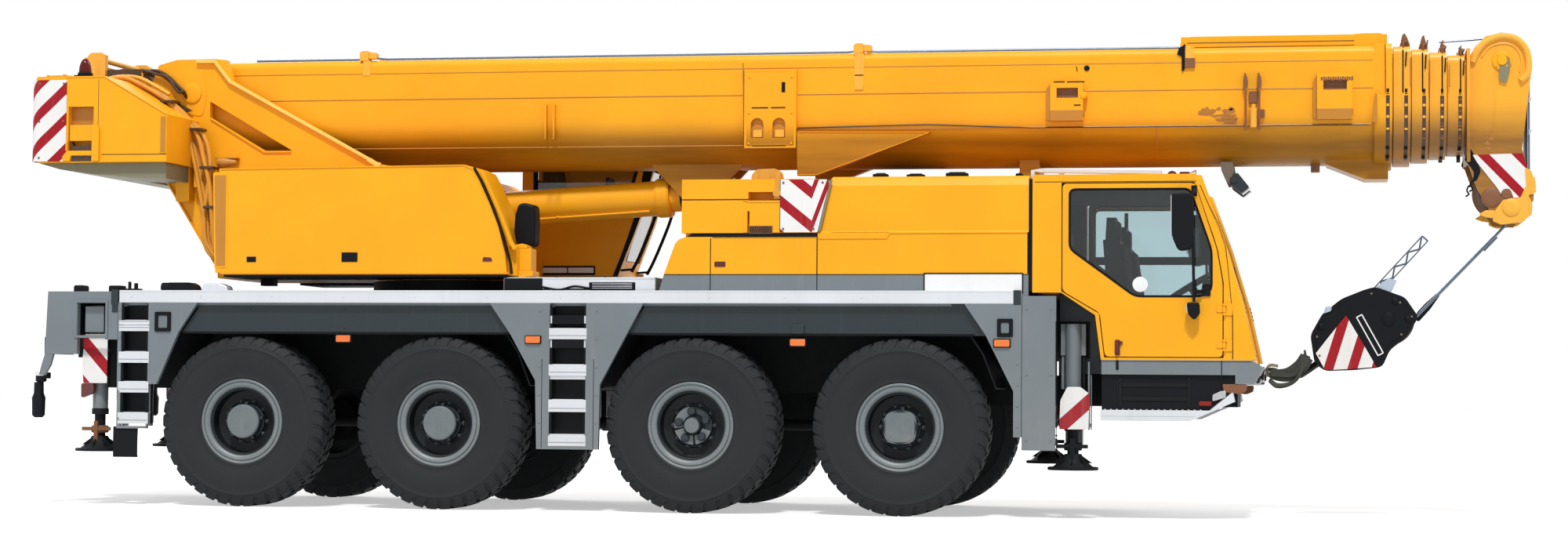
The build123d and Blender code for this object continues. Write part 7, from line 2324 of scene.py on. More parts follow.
caps = joined(
    lathe([
        (0.075, HEAD_Y - 0.004), (0.075, HEAD_Y + 0.012), (0.06, HEAD_Y + 0.018),
        (0.04, HEAD_Y + 0.018), (0.036, HEAD_Y + 0.028), (0.012, HEAD_Y + 0.028)
    ], (SHEAVE_X, 0, UPPER_SHEAVE_Z), "y", 28),
    bolt_heads([(
        SHEAVE_X + 0.055 * math.cos(a), HEAD_Y + 0.016, UPPER_SHEAVE_Z + 0.055 * math.sin(a)
    ) for a in (0.7, 2.2, 3.9, 5.4)], "y", 1, 0.009, 0.006)
)
on_head("head_pin_caps", YELLOW, both(caps))
olive = rounded([
    (9.9, 3.415), (9.908, 3.56), (9.94, 3.6), (9.982, 3.59), (9.988, 3.53), (9.958, 3.395)
], 0.012)
on_head("head_slots", OLIVE, both(prism(olive, HEAD_Y + 0.018, HEAD_Y + 0.0215)))
marks = []
for k, (x, z, w, h) in enumerate((
    (9.815, 3.005, 0.05, 0.03), (9.845, 2.965, 0.03, 0.04), (9.812, 2.925, 0.034, 0.03),
    (9.822, 2.885, 0.024, 0.03), (9.85, 2.862, 0.05, 0.01)
)):
    outline = [(
        x + 0.5 * w * math.cos(t) * (1 + 0.3 * math.sin(2 * t + k)),
        z + 0.5 * h * math.sin(t) * (1 + 0.3 * math.cos(3 * t + k))
    ) for t in around(16)]
    marks.append(prism(outline, HEAD_Y - 0.002, HEAD_Y + 0.002))
marks.append(strip([(9.662, 3.52), (9.662, 2.86)], 0.01, 0.006, HEAD_Y + 0.002))
marks.append(strip([(9.8, 2.858), (10.08, 2.852)], 0.005, 0.004, HEAD_Y + 0.001))
on_head("head_wear", WORN_PAINT, both(*marks))
HEAD_STRIPES = striped("head_stripes", 1.05, 0, 0.277, 0.36, 13.057)
stripe_outline = [
    (9.7, 2.835), (10.078, 2.845), (10.126, 2.7), (10.104, 2.6), (10.068, 2.505), (9.94, 2.49),
    (9.88, 2.585), (9.735, 2.775)
]
on_head("head_stripe_plates", HEAD_STRIPES, both(
    prism(rounded(stripe_outline, 0.008), HEAD_Y + 0.001, HEAD_Y + 0.007)
))
lower = joined(
    prism(rounded([
        (10.095, 2.735), (10.14, 2.712), (10.165, 2.64), (10.168, 2.53), (10.12, 2.52),
        (10.15, 2.45), (10.145, 2.37), (10.07, 2.31), (9.915, 2.292), (9.85, 2.32), (9.87, 2.405),
        (9.93, 2.485), (10.06, 2.5), (10.104, 2.6)
    ], 0.015), HEAD_Y - 0.03, HEAD_Y + 0.014),
    prism(rounded([
        (9.745, 2.372), (9.8, 2.35), (9.87, 2.34), (9.885, 2.4), (9.8, 2.405)
    ], 0.012), HEAD_Y - 0.025, HEAD_Y + 0.008),
    lathe([
        (0.07, HEAD_Y), (0.07, HEAD_Y + 0.02), (0.055, HEAD_Y + 0.028), (0.02, HEAD_Y + 0.028)
    ], (9.99, 0, 2.425), "y", 24),
    bent([
        (10.155, HEAD_Y, 2.66), (10.162, HEAD_Y + 0.004, 2.6), (10.165, HEAD_Y, 2.54)
    ], 8, 0.014, 8)
)
on_head("head_lower_brackets", YELLOW_WORN, both(lower), bevel=0.006)
brown = joined(
    lathe([
        (0.078, HEAD_Y - 0.012), (0.078, HEAD_Y + 0.004), (0.062, HEAD_Y + 0.012),
        (0.03, HEAD_Y + 0.012)
    ], (9.842, 0, 2.5), "y", 24),
    lathe([
        (0.04, HEAD_Y), (0.04, HEAD_Y + 0.016), (0.02, HEAD_Y + 0.02)
    ], (9.955, 0, 2.53), "y", 18),
    prism(rounded([
        (9.9, 2.46), (9.93, 2.56), (9.98, 2.57), (10.01, 2.5), (9.96, 2.44)
    ], 0.015), HEAD_Y, HEAD_Y + 0.012)
)
on_head("head_lower_wear", RUST, both(brown), bevel=0.003)
black = joined(
    prism(rounded([
        (9.64, 2.795), (9.665, 2.88), (9.69, 2.88), (9.735, 2.79), (9.762, 2.71), (9.735, 2.64),
        (9.7, 2.62), (9.712, 2.7), (9.68, 2.75)
    ], 0.012), HEAD_Y - 0.02, HEAD_Y + 0.004),
    bent([
        (9.7, HEAD_Y - 0.01, 2.64), (9.685, HEAD_Y - 0.005, 2.6), (9.7, HEAD_Y - 0.01, 2.57),
        (9.675, HEAD_Y - 0.012, 2.55)
    ], 12, 0.007, 7)
)
on_head("head_cable_guides", BLACK, both(black), bevel=0.003)
# grooved rims for the sheaves, ropes down the front, over the top and the pale guard strip
grooves, rope_runs = [], []
for x, z in ((SHEAVE_X, UPPER_SHEAVE_Z), (SHEAVE_X, LOWER_SHEAVE_Z)):
    for y in (-0.2, -0.115, -0.03, 0.055, 0.14):
        for edge in (y + 0.001, y + 0.053):
            grooves.append(lathe(rectangle(0.1995, 0.206, edge, edge + 0.006), (x, 0, z), "y", 40))
on_head("sheave_rims", RUST, *grooves)
arc_top = [(
    SHEAVE_X + GROOVE_R * math.cos(a), UPPER_SHEAVE_Z + GROOVE_R * math.sin(a)
) for a in np.linspace(math.radians(100), 0, 12)]
arc_low = [(
    SHEAVE_X + GROOVE_R * math.cos(a), LOWER_SHEAVE_Z + GROOVE_R * math.sin(a)
) for a in np.linspace(0, math.radians(-38), 6)]
for y in (-0.085, 0.0, 0.085):
    path = [(x, y, z) for x, z in arc_top + [(10.137, 3.3), (10.137, 2.9)] + arc_low]
    rope_runs.append(tube(path, 0.011, 8))
rope_runs.append(tube([
    (9.46, 0.0, 3.755), (9.65, 0.0, 3.766), (9.8, 0.0, 3.776), (9.888, 0.0, 3.7785)
], 0.0075, 8))
on_head("head_ropes", BLUE_GREY, *rope_runs)
guard = [
    block(10.118, 10.124, -0.235, 0.235, 2.72, 3.44),
    bar((10.135, -0.285, 3.02), (10.135, 0.285, 3.02), 0.012, 10),
    bar((10.135, -0.285, 3.27), (10.135, 0.285, 3.27), 0.012, 10)
]
on_head("head_front_guard", BLUE_PALE, *guard, bevel=0.002)
spacers = [
    bar((x, -0.25, z), (x, 0.25, z), 0.018, 12)
    for x, z in ((9.72, 3.6), (9.75, 2.62), (10.08, 2.36))
]
on_head("head_spacers", STEEL, *spacers)
# ------------------------------------------------------------------ hook block, falls and sling
CHEEK = rounded([
    (8.875, 1.791), (8.96, 1.815), (9.19, 1.732), (9.293, 1.577), (9.2, 1.42), (9.072, 1.316),
    (9.014, 1.185), (8.8, 1.16), (8.571, 1.152), (8.489, 1.218), (8.458, 1.432), (8.55, 1.6),
    (8.7, 1.72)
], 0.035)


def cheek_plate(outline, low, high):
    """Cheek plate between two distances from the middle plane, on both sides."""
    return both(prism(outline, low, high))


frame = [cheek_plate(CHEEK, 0.122, 0.146), cheek_plate(inset(CHEEK, 0.035), 0.144, 0.152)]
frame.append(bar((8.66, -0.1515, 1.3), (8.66, 0.1515, 1.3), 0.055, 24))
for x, z, radius in (
    (9.06, 1.56, 0.055), (9.115, 1.7, 0.026), (8.54, 1.5, 0.026), (9.21, 1.56, 0.024)
):
    frame.append(bar((x, -0.156, z), (x, 0.156, z), radius, 24))
    frame.append(both(lathe([
        (radius * 0.9, 0.155), (radius * 0.9, 0.162), (radius * 0.5, 0.168), (radius * 0.2, 0.168)
    ], (x, 0, z), "y", 24)))
hook_made = on_head("hook_cheeks", BLACK, *frame, bevel=0.006, slot="hook_black")
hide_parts("hook_block")
falls = []
fall_low, fall_high = np.array([9.238, 1.54]), np.array([9.952, 2.29])
for y in (-0.085, 0.0, 0.085):
    falls.append(bar((fall_low[0], y, fall_low[1]), (fall_high[0], y, fall_high[1]), 0.011, 10))
on_head("rope_falls", BLUE_GREY, *falls)
on_head("hook_cheek_bolts", STEEL, both(bolt_heads([
    (x, 0.152, z)
    for x, z in ((8.93, 1.76), (9.15, 1.69), (9.24, 1.58), (9.16, 1.44), (8.53, 1.27), (8.51, 1.42))
], "y", 1, 0.01, 0.008)))
sheaves = []
for centre_y in (-0.0575, 0.0575):
    sheaves.append(lathe([
        (0.04, centre_y - 0.035), (0.2, centre_y - 0.03), (0.205, centre_y - 0.028),
        (0.185, centre_y - 0.012), (0.18, centre_y), (0.185, centre_y + 0.012),
        (0.205, centre_y + 0.028), (0.2, centre_y + 0.03), (0.04, centre_y + 0.035)
    ], (9.06, 0, 1.56), "y", 48))
on_head("hook_sheaves", GREASE, *sheaves)
SECTOR = striped("hook_sector_stripes", -3.226, 0, 0.5935, 0.43, -26.7)
sector_outline = [
    (8.735, 1.588), (8.6, 1.418), (8.501, 1.289), (8.571, 1.158), (8.76, 1.166), (8.968, 1.185),
    (8.86, 1.375)
]
on_head("hook_stripes", SECTOR, cheek_plate(sector_outline, 0.1525, 0.157))
slot_way = np.array([9.003 - 8.834, 1.28 - 1.588])
slot_way /= np.linalg.norm(slot_way)
slot_square = np.array([-slot_way[1], slot_way[0]])
slot_start, slot_end = np.array([8.834, 1.588]), np.array([9.003, 1.28])
corners = [
    tuple(p + s * 0.0275 * slot_square)
    for p, s in ((slot_start, 1), (slot_end, 1), (slot_end, -1), (slot_start, -1))
]
slot_outline = rounded(corners, 0.01)
on_head("hook_slot_edges", WHITE, both(
    ring_plate(slot_outline, inset(slot_outline, 0.0095), 0.1525, 0.158)
))
tabs = joined(
    prism(rounded([
        (8.965, 1.812), (9.062, 1.882), (9.128, 1.866), (9.09, 1.782), (9.03, 1.735)
    ], 0.01), 0.12, 0.128),
    prism(rounded([
        (8.56, 1.602), (8.576, 1.655), (8.626, 1.66), (8.618, 1.622)
    ], 0.008), 0.1525, 0.156)
)
on_head("hook_pale_tabs", BLUE_PALE, both(tabs), bevel=0.001)
# crosshead, shank nut and the open hook that hangs edge-on below it
SHANK_START, SHANK_END = np.array([8.76, 1.39]), np.array([8.525, 1.2195])
shank_way = (SHANK_END - SHANK_START) / np.linalg.norm(SHANK_END - SHANK_START)


def below(distance, across, y=0.0):
    """Point on the tilted shank's line, a distance past its end, shifted across in side view."""
    x, z = SHANK_END + shank_way * distance + np.array([-shank_way[1], shank_way[0]]) * across
    return x, y, z


def hook_ring(profile, sides=28):
    """Rings about the shank's line: each (radius, distance) turned about it."""
    angle = around(sides)
    rows = np.array([[
        below(d, r * math.cos(a), r * math.sin(a)) for a in angle
    ] for r, d in profile])
    return outward(grid(rows, wrap_columns=True, cap=True))


bow_line = curve([
    (-0.035, 0, 0), (0.01, 0.006, 0), (0.048, 0.045, 0), (0.082, 0.072, 0), (0.125, 0.06, 0),
    (0.164, 0.018, 0), (0.16, -0.048, 0), (0.128, -0.084, 0), (0.082, -0.096, 0)
], 44)
bow_size = np.interp(
    np.linspace(0, 1, 44), [0, 0.12, 0.35, 0.65, 0.85, 0.97, 1],
    [0.04, 0.038, 0.036, 0.034, 0.027, 0.018, 0.008]
)
bow_way = np.gradient(bow_line[:, :2], axis=0)
bow_way /= np.linalg.norm(bow_way, axis=1, keepdims=True)
bow_rings = []
for (d, y, _), (wd, wy), size in zip(bow_line, bow_way, bow_size):
    bow_rings.append([below(
        d - wy * size * math.cos(a), 0.72 * size * math.sin(a), y + wd * size * math.cos(a)
    ) for a in around(20)])
on_head(
    "crane_hook", BLACK, outward(grid(np.array(bow_rings), wrap_columns=True, cap=True)),
    slot="hook_black"
)
crosshead = [prism(rounded([
    (8.655, 1.275), (8.79, 1.345), (8.845, 1.4), (8.79, 1.455), (8.64, 1.4), (8.625, 1.31)
], 0.03), -0.121, 0.121)]
on_head("hook_crosshead", BLACK, *crosshead, bevel=0.008, slot="hook_black")
nut = [
    hook_ring([(0.06, -0.215), (0.066, -0.21), (0.066, -0.165), (0.058, -0.16)], 6),
    hook_ring([(0.036, -0.16), (0.036, -0.02), (0.046, -0.01), (0.046, 0.012), (0.036, 0.02)])
]
on_head("hook_nut", STEEL, *nut, bevel=0.003)
latch_path = np.array([
    below(d, 0.0, y) for d, y in ((0.028, 0.038), (0.06, 0.06), (0.098, 0.082), (0.125, 0.096))
])
latch = bent(latch_path, 12, 0.007, 8)
on_head("hook_latch", STEEL, latch)
# link and socket of the rope's dead end
link_low, link_high = np.array([8.962, 1.775]), np.array([9.352, 2.205])
link_way = (link_high - link_low) / np.linalg.norm(link_high - link_low)
link_square = np.array([-link_way[1], link_way[0]])


def link_outline(start, end, half):
    """Rectangle about the line from start to end in side view."""
    a, b = link_low + link_way * start, link_low + link_way * end
    return [
        tuple(a + link_square * half), tuple(b + link_square * half), tuple(b - link_square * half),
        tuple(a - link_square * half)
    ]


length = float(np.linalg.norm(link_high - link_low))
links = []
for y in (-0.02, -0.004, 0.012):
    links.append(ring_plate(
        rounded(link_outline(0, length, 0.034), 0.012),
        rounded(link_outline(0.012, length - 0.012, 0.024), 0.008), y, y + 0.006
    ))
    for k in range(7):
        a = 0.02 + (length - 0.04) * k / 7
        b = 0.02 + (length - 0.04) * (k + 1) / 7
        p, q = link_low + link_way * a, link_low + link_way * b
        flip = 0.024 if k % 2 else -0.024
        links.append(bar(
            (p[0] + link_square[0] * flip, y + 0.003, p[1] + link_square[1] * flip),
            (q[0] - link_square[0] * flip, y + 0.003, q[1] - link_square[1] * flip), 0.0065, 6
        ))
on_head("dead_end_link", BLUE_GREY, *links)
socket = [prism(rounded([
    (9.268, 1.56), (9.3, 1.545), (9.385, 1.64), (9.462, 1.752), (9.44, 1.772), (9.35, 1.69),
    (9.29, 1.625)
], 0.012), -0.04, 0.04)]
socket.append(bar((9.285, -0.055, 1.592), (9.285, 0.055, 1.592), 0.018, 14))
on_head("rope_socket", BLACK, *socket, bevel=0.006, slot="hook_black")
tail_path = curve([
    (9.444, 0.0, 1.756), (9.64, 0.0, 1.962), (9.8, 0.0, 2.13), (9.88, 0.0, 2.214)
], 20)
on_head(
    "rope_dead_end", BLUE_GREY, tube(tail_path, 0.014, 8),
    tube([(9.88, 0.0, 2.214), (9.955, 0.0, 2.296), (9.99, 0.0, 2.345)], 0.008, 8),
    bar((9.8, 0.012, 2.105), (9.9, 0.012, 2.212), 0.01, 8)
)

# two legs of a flat textile sling from the hook's sides to the towing eye in the bumper
SLING_Y = 0.135


def band(path, wide, thick):
    """Flat band along a path of (x, y, z): its section is thick across y, wide in side view."""
    path = np.array(path)
    way = np.gradient(path, axis=0)
    way /= np.linalg.norm(way, axis=1, keepdims=True)
    side = np.tile([0.0, 1.0, 0.0], (len(path), 1))
    rise = np.cross(way, side)
    rise /= np.linalg.norm(rise, axis=1, keepdims=True)
    wide, thick = (np.broadcast_to(size, len(path))[:, None] for size in (wide, thick))
    loops = [
        path + rise * wide / 2 * a + side * thick / 2 * b
        for a, b in ((1, 1), (1, -1), (-1, -1), (-1, 1))
    ]
    return outward(grid(np.stack(loops, 1), wrap_columns=True, cap=True))


legs = []
for side in (-1, 1):
    path = curve([
        (8.128, side * 0.04, 1.142), (8.19, side * 0.075, 1.118), (8.29, side * 0.118, 1.122),
        (8.38, side * SLING_Y, 1.182), (8.432, side * SLING_Y, 1.262)
    ], 30)
    share = np.linspace(0, 1, 30)
    legs.append(band(path, 0.06 + 0.055 * np.sin(share * 2.2), 0.018 - 0.004 * share))
    path[:, 1] += side * 0.016
    path[:, 2] += 0.018 * np.sin(share * 7)
    legs.append(band(path, 0.05 + 0.02 * np.sin(share * 9), 0.01))
wrap_path = [
    (8.428, y, 1.268 + 0.012 * math.cos(y * 12))
    for y in np.linspace(-SLING_Y - 0.014, SLING_Y + 0.014, 14)
]
legs.append(outward(grid(np.stack([
    np.array(wrap_path) + np.array(v)
    for v in ((-0.01, 0, -0.034), (-0.022, 0, 0.036), (-0.006, 0, 0.04), (0.006, 0, -0.03))
], 1), wrap_columns=True, cap=True)))
legs.append(bent([
    (8.4, SLING_Y + 0.02, 1.22), (8.36, SLING_Y + 0.03, 1.12), (8.3, 0.12, 1.055),
    (8.2, 0.085, 1.04), (8.14, 0.05, 1.08)
], 18, 0.014, 8))
legs.append(bent([
    (8.4, -SLING_Y - 0.02, 1.22), (8.37, -SLING_Y - 0.03, 1.11), (8.3, -0.13, 1.045),
    (8.2, -0.085, 1.025), (8.14, -0.05, 1.07)
], 18, 0.014, 8))
on_carrier("tow_sling", TEXTILE, *legs)
flap = [band(
    curve([(8.122, y, 1.176), (8.15, y, 1.196), (8.205, y, 1.188)], 10), 0.022, 0.05
) for y in (-0.065, 0.065)]
on_carrier("sling_label_flaps", OLIVE, *flap, slot="rail_aluminium")
eye_plates = [prism(
    rounded([(8.108, 1.098), (8.108, 1.182), (8.15, 1.168), (8.158, 1.14), (8.15, 1.112)], 0.014),
    y - 0.008, y + 0.008
) for y in (-0.055, 0.055)]
on_carrier(
    "tow_eye", STEEL, *eye_plates, bar((8.134, -0.085, 1.14), (8.134, 0.085, 1.14), 0.012, 16),
    bevel=0.003
)

# ------------------------------------------------------------------ crane operator's cab
IN_Y, OUT_Y = 0.58, 1.215


def strip_in(path, wide, thick):
    """Strip on the cab wall that faces the boom, standing out towards it."""
    return moved(strip(path, wide, thick, 0.0), (0, IN_Y, 0))


# side towards the boom: window rubber, dark front edge, lower strip and panel seams
window_in = rounded([(1.92, 2.5), (1.92, 3.26), (2.78, 3.26), (2.82, 2.9), (2.7, 2.5)], 0.045)
rubbers = [ring_plate(
    inset(window_in, -0.022), inset(window_in, 0.006), IN_Y - 0.006, IN_Y + 0.004
)]
rubbers.append(ring_plate(
    inset(window_in, -0.006), inset(window_in, 0.01), IN_Y + 0.012, IN_Y + 0.034
))
window_rear = rounded(rectangle(0.7, 1.1, 2.78, 3.24), 0.04)
rubbers.append(ring_plate(inset(window_rear, -0.02), inset(window_rear, 0.006), 1.794, 1.803, "x"))
on_superstructure("operator_window_rubbers", BLACK, *rubbers)
edge = [
    (2.96, 2.868), (2.938, 2.782), (2.902, 2.648), (2.845, 2.44), (2.79, 2.29), (2.716, 2.104),
    (2.648, 1.932), (2.606, 1.932), (2.668, 2.085), (2.738, 2.275), (2.792, 2.44), (2.838, 2.64),
    (2.87, 2.868)
]
upper_edge = [
    (2.87, 2.868), (2.89, 3.27), (2.905, 3.376), (2.99, 3.292), (2.998, 3.24), (2.96, 2.868)
]
on_superstructure(
    "front_pillars", BLACK, prism(edge, IN_Y - 0.004, IN_Y + 0.002),
    prism(upper_edge, IN_Y - 0.004, IN_Y + 0.002)
)
rail_path = curve([
    (3.072, 0, 2.905), (3.06, 0, 2.79), (3.018, 0, 2.64), (2.97, 0, 2.45), (2.902, 0, 2.27),
    (2.82, 0, 2.08), (2.762, 0, 1.968)
], 30)
rails_front = []
for y in (IN_Y + 0.035, OUT_Y - 0.035):
    path = rail_path.copy()
    path[:, 1] = y
    rails_front.append(tube(path, 0.014, 10))
    for x, z in ((3.068, 2.86), (2.772, 1.99)):
        rails_front.append(bar((x, y, z), (x - 0.125, y, z - 0.01), 0.01, 8))
rails_front.append(bar((3.072, IN_Y + 0.035, 2.905), (3.072, OUT_Y - 0.035, 2.905), 0.014, 10))
on_superstructure("cab_guard_rails", BLACK, *rails_front)
strip_frame = rounded(rectangle(1.852, 2.452, 1.94, 2.018), 0.01)
strip_inner = rounded(rectangle(1.868, 2.44, 1.958, 2.004), 0.006)
on_superstructure(
    "cab_foot_frame", BLACK, ring_plate(strip_frame, strip_inner, IN_Y - 0.012, IN_Y - 0.001),
    block(2.205, 2.214, IN_Y - 0.012, IN_Y - 0.003, 1.958, 2.004), bevel=0.002
)
on_superstructure("cab_foot_strip", WHITE, prism(strip_inner, IN_Y - 0.006, IN_Y + 0.001))
seams = [
    strip_in([(1.812, 2.44), (2.735, 2.44)], 0.004, 0.003),
    strip_in([(1.88, 2.03), (1.88, 2.43)], 0.003, 0.002)
]
on_superstructure("cab_panel_seams", SHADE_AND_SEAM_YELLOW, *seams)
on_superstructure(
    "cab_underside", CHASSIS, block(1.83, 2.64, 0.6, 1.19, 1.868, 1.929),
    block(1.9, 2.1, 0.64, 0.8, 1.862, 1.87), bevel=0.004
)

# roof: raised panel, work lamps, wiper and mirrors
roof = [prism(rounded(rectangle(1.9, 2.84, 0.64, 1.155), 0.05), 3.378, 3.392, "z")]
roof += [bar((x, 0.66, 3.398), (x, 1.14, 3.398), 0.01, 8) for x in (2.1, 2.3, 2.5, 2.7)]
on_superstructure("operator_roof_ribs", YELLOW, *roof, bevel=0.005)
hatch = rounded(rectangle(2.18, 2.62, 0.72, 1.08), 0.05)
on_superstructure("operator_roof_window", SMOKED, prism(hatch, 3.391, 3.399, "z"))
lamps, lenses = [], []
for y in (0.7, 1.095):
    lamps.append(prism(rounded(
        [(2.895, 3.372), (2.895, 3.462), (2.985, 3.452), (2.985, 3.372)], 0.015
    ), y - 0.06, y + 0.06))
    lamps.append(bar((2.93, y, 3.32), (2.93, y, 3.38), 0.014, 10))
    lenses.append(prism(rounded(
        [(2.984, 3.38), (2.984, 3.446), (2.992, 3.44), (2.992, 3.384)], 0.003
    ), y - 0.052, y + 0.052))
on_superstructure("operator_lamps", BLACK, *lamps, bevel=0.008)
on_superstructure("operator_lamp_lenses", CLEAR_LENS, *lenses)
wiper = [
    tube([(2.99, 0.9, 3.26), (3.004, 0.9, 3.2), (2.985, 0.82, 2.92)], 0.008, 8),
    bar((2.998, 0.8, 3.02), (2.94, 0.83, 2.7), 0.009, 8),
    bar((2.984, 0.9, 3.25), (3.012, 0.9, 3.235), 0.026, 14)
]
on_superstructure("operator_wiper", BLACK, *wiper)
arms = [bent([
    (2.985, OUT_Y - 0.03, 3.12), (3.06, OUT_Y + 0.03, 3.05), (3.12, OUT_Y + 0.08, 2.93)
], 14, 0.011, 8)]
arms.append(bent([
    (2.955, IN_Y + 0.02, 2.83), (3.05, IN_Y + 0.01, 2.8), (3.14, IN_Y + 0.0, 2.815)
], 12, 0.012, 8))
on_superstructure("operator_mirror_arms", BLACK, *arms)
mirror = prism(rounded([
    (3.085, 2.7), (3.075, 2.905), (3.1, 2.925), (3.15, 2.915), (3.16, 2.72), (3.135, 2.695)
], 0.02), OUT_Y + 0.01, OUT_Y + 0.135)
small = [prism(rounded([
    (3.03, 2.742), (3.026, 2.85), (3.05, 2.872), (3.118, 2.868), (3.124, 2.76), (3.1, 2.74)
], 0.02), IN_Y - 0.03, IN_Y + 0.07)]
on_superstructure("operator_mirrors", STEEL, mirror, *small, bevel=0.012, segments=3)
on_superstructure(
    "camera_housing", BLACK, block(3.128, 3.172, IN_Y - 0.025, IN_Y + 0.065, 2.742, 2.872, 0.01),
    bevel=0.005
)
on_superstructure(
    "camera_window", BLUE_PALE, block(3.176, 3.214, IN_Y - 0.02, IN_Y + 0.06, 2.752, 2.872, 0.006),
    bevel=0.003
)

# sliding door: rubber round its glass, grab handle, lower vent and two ribs
door_window = rounded([(2.01, 2.42), (2.01, 3.25), (2.6, 3.25), (2.65, 3.18), (2.65, 2.42)], 0.03)
rubber = ring_plate(
    inset(door_window, -0.018), inset(door_window, 0.008), OUT_Y + 0.031, OUT_Y + 0.041
)
door_handle = [bent([
    (2.055, OUT_Y + 0.034, 2.18), (2.055, OUT_Y + 0.075, 2.2), (2.055, OUT_Y + 0.078, 2.31),
    (2.055, OUT_Y + 0.034, 2.335)
], 16, 0.01, 10)]
door_handle.append(block(2.088, 2.15, OUT_Y + 0.032, OUT_Y + 0.044, 2.225, 2.3, 0.01))
on_operator_door("operator_door_rubber", BLACK, rubber, *door_handle)
vents = [
    block(2.22, 2.5, OUT_Y + 0.033, OUT_Y + 0.039, z, z + 0.008) for z in (2.1, 2.125, 2.15, 2.175)
]
on_operator_door("operator_door_vents", BLACK, *vents)
ribs = joined(
    strip([(1.975, 2.05), (2.56, 2.05)], 0.01, 0.006, OUT_Y + 0.039),
    strip([(1.975, 2.38), (2.69, 2.38)], 0.01, 0.006, OUT_Y + 0.039)
)
on_operator_door("operator_door_ribs", YELLOW, ribs, bevel=0.002)
# inside: seat cushions, console, levers, display, pedals' plate and lining
cushions = [
    prism(rounded([
        (2.035, 2.398), (2.035, 2.44), (2.1, 2.452), (2.42, 2.446), (2.48, 2.425), (2.486, 2.4)
    ], 0.02), 0.735, 1.065),
    prism(rounded([
        (2.078, 2.445), (2.088, 2.6), (2.056, 2.8), (2.03, 2.965), (2.01, 2.97), (2.03, 2.7),
        (2.068, 2.45)
    ], 0.012), 0.745, 1.055),
    prism(rounded([
        (1.925, 2.985), (1.915, 3.13), (1.985, 3.145), (2.02, 3.11), (2.015, 2.985)
    ], 0.025), 0.8, 1.0)
]
on_superstructure("operator_cushions", FABRIC, *cushions, bevel=0.02, segments=4)
inside = [block(2.5, 2.53, 0.7, 0.8, 2.3, 2.62)]
for y in (0.6875, 1.1125):
    inside.append(lathe([
        (0.03, 2.538), (0.03, 2.556), (0.012, 2.575), (0.009, 2.655), (0.02, 2.675), (0.02, 2.71),
        (0.01, 2.722)
    ], (2.5, y, 0), "z", 16))
inside += [
    block(2.52, 2.55, 0.65, 0.86, 2.62, 2.78), block(2.44, 2.64, 0.64, 1.15, 1.976, 2.01),
    block(2.6, 2.645, 0.72, 1.08, 2.01, 2.06)
]
inside.append(bar((2.5, 0.75, 1.99), (2.52, 0.75, 2.34), 0.02, 12))
on_superstructure("operator_controls", BLACK, *inside, bevel=0.006)
on_superstructure("operator_display", SMOKED, block(2.516, 2.5205, 0.66, 0.85, 2.632, 2.768))
headliner = [
    block(1.86, 2.86, 0.63, 1.165, 3.322, 3.334), block(1.848, 1.856, 0.63, 1.165, 1.99, 2.76)
]
on_superstructure("operator_lining", FABRIC, *headliner)
on_superstructure(
    "operator_cab_step", TREAD, block(2.0, 2.6, 1.218, 1.245, 1.88, 1.905), bevel=0.003
)

# ------------------------------------------------------------------ camera, floor and light
camera_data = bpy.data.cameras.new("camera")
camera = bpy.data.objects.new("camera", camera_data)
scene.collection.objects.link(camera)
CAMERA_AT = 8.524, -22.941, 0.94
yaw, pitch, roll = math.radians(10.671), math.radians(2.412), math.radians(0.426)
forward = Vector((
    -math.sin(yaw) * math.cos(pitch), math.cos(yaw) * math.cos(pitch), math.sin(pitch)
))
level = Vector((math.cos(yaw), math.sin(yaw), 0))
upright = level.cross(forward)
right = math.cos(roll) * level + math.sin(roll) * upright
up = -math.sin(roll) * level + math.cos(roll) * upright
turn = Matrix((right, up, -forward)).transposed().to_4x4()
camera.matrix_world = Matrix.Translation(Vector(CAMERA_AT) + Vector((REAR_AXLE, 0, 0))) @ turn
camera_data.sensor_width = 36.0
camera_data.lens = 65.22
camera_data.clip_end = 500
scene.camera = camera


def seen_share(tree):
    """1 where the camera looks, directly, mirrored or through glass; 0 for light on the object."""
    path = node(tree, "ShaderNodeLightPath")
    looked = maths(tree, "ADD", path.outputs["Is Camera Ray"], path.outputs["Is Glossy Ray"])
    looked = maths(tree, "ADD", looked, path.outputs["Is Transmission Ray"])
    return maths(tree, "MINIMUM", looked, 1.0)


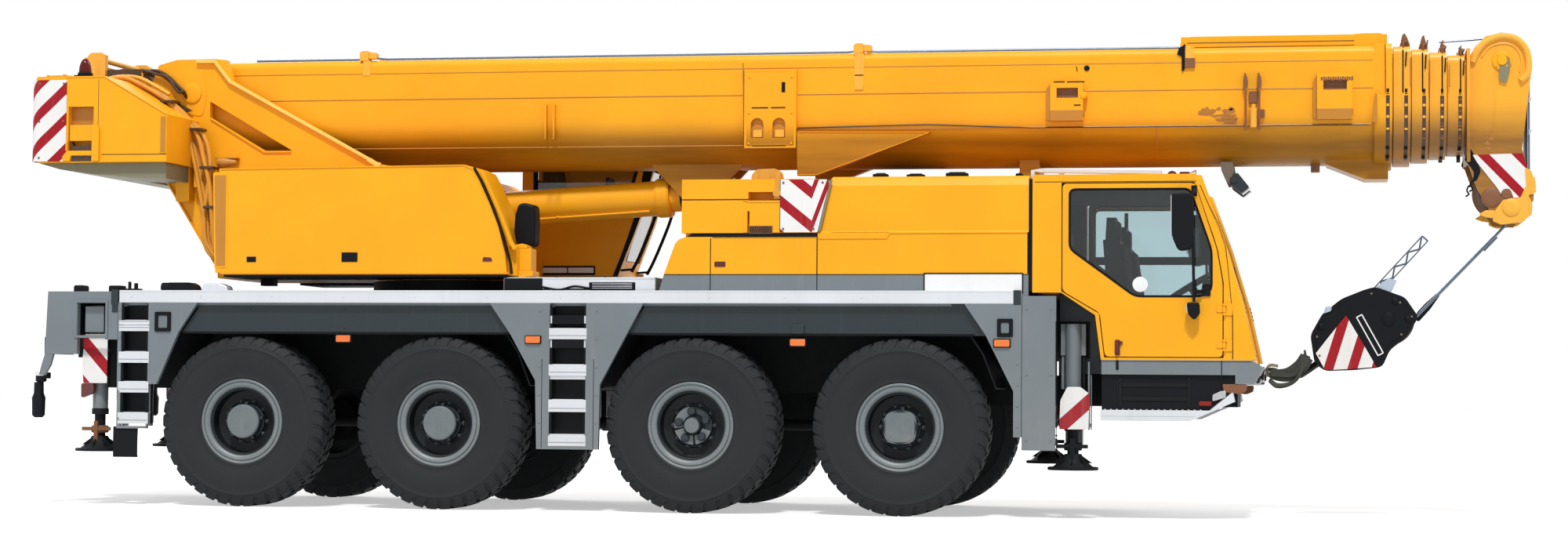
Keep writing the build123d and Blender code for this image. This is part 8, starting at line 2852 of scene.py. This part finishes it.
floor_mesh = bpy.data.meshes.new("floor")
floor_mesh.from_pydata([
    (-200, -200, 0), (200, -200, 0), (200, 200, 0), (-200, 200, 0)
], [], [(0, 1, 2, 3)])
floor = bpy.data.objects.new("floor", floor_mesh)
scene.collection.objects.link(floor)
floor_material = bpy.data.materials.new("pale_floor")
floor_material.use_nodes = True
tree = floor_material.node_tree
floor_shader = tree.nodes["Principled BSDF"]
floor_shader.inputs["Base Color"].default_value = 0.62, 0.62, 0.62, 1
floor_shader.inputs["Roughness"].default_value = 0.9
floor_shader.inputs["Specular IOR Level"].default_value = 0.0
glow = node(tree, "ShaderNodeEmission", [("Strength", 0.46)])
added = node(tree, "ShaderNodeAddShader", [(0, floor_shader.outputs[0]), (1, glow.outputs[0])])
seen = node(tree, "ShaderNodeMixShader", [
    (0, seen_share(tree)), (1, floor_shader.outputs[0]), (2, added.outputs[0])
])
tree.links.new(seen.outputs[0], tree.nodes["Material Output"].inputs["Surface"])
floor_mesh.materials.append(floor_material)

world = bpy.data.worlds.new("studio")
scene.world = world
world.use_nodes = True
tree = world.node_tree
backdrop = tree.nodes["Background"]
backdrop.inputs["Color"].default_value = 1, 1, 1, 1
backdrop.inputs["Strength"].default_value = 0.62
white = node(tree, "ShaderNodeBackground", [("Color", (1, 1, 1, 1)), ("Strength", 1.0)])
mix = node(tree, "ShaderNodeMixShader", [
    (0, seen_share(tree)), (1, backdrop.outputs[0]), (2, white.outputs[0])
])
tree.links.new(mix.outputs[0], tree.nodes["World Output"].inputs["Surface"])

for name, heading, height, strength, softness in (
    ("key_light", 172, 58, 2.6, 6), ("fill_light", 330, 30, 0.7, 25),
    ("back_light", 60, 40, 0.8, 25)
):
    lamp = bpy.data.lights.new(name, "SUN")
    lamp.energy = strength
    lamp.angle = math.radians(softness)
    holder = bpy.data.objects.new(name, lamp)
    scene.collection.objects.link(holder)
    heading, height = math.radians(heading), math.radians(height)
    way = Vector((
        math.sin(heading) * math.cos(height), math.cos(heading) * math.cos(height), math.sin(height)
    ))
    holder.rotation_euler = way.to_track_quat("Z", "Y").to_euler()

scene.view_settings.view_transform = "Standard"
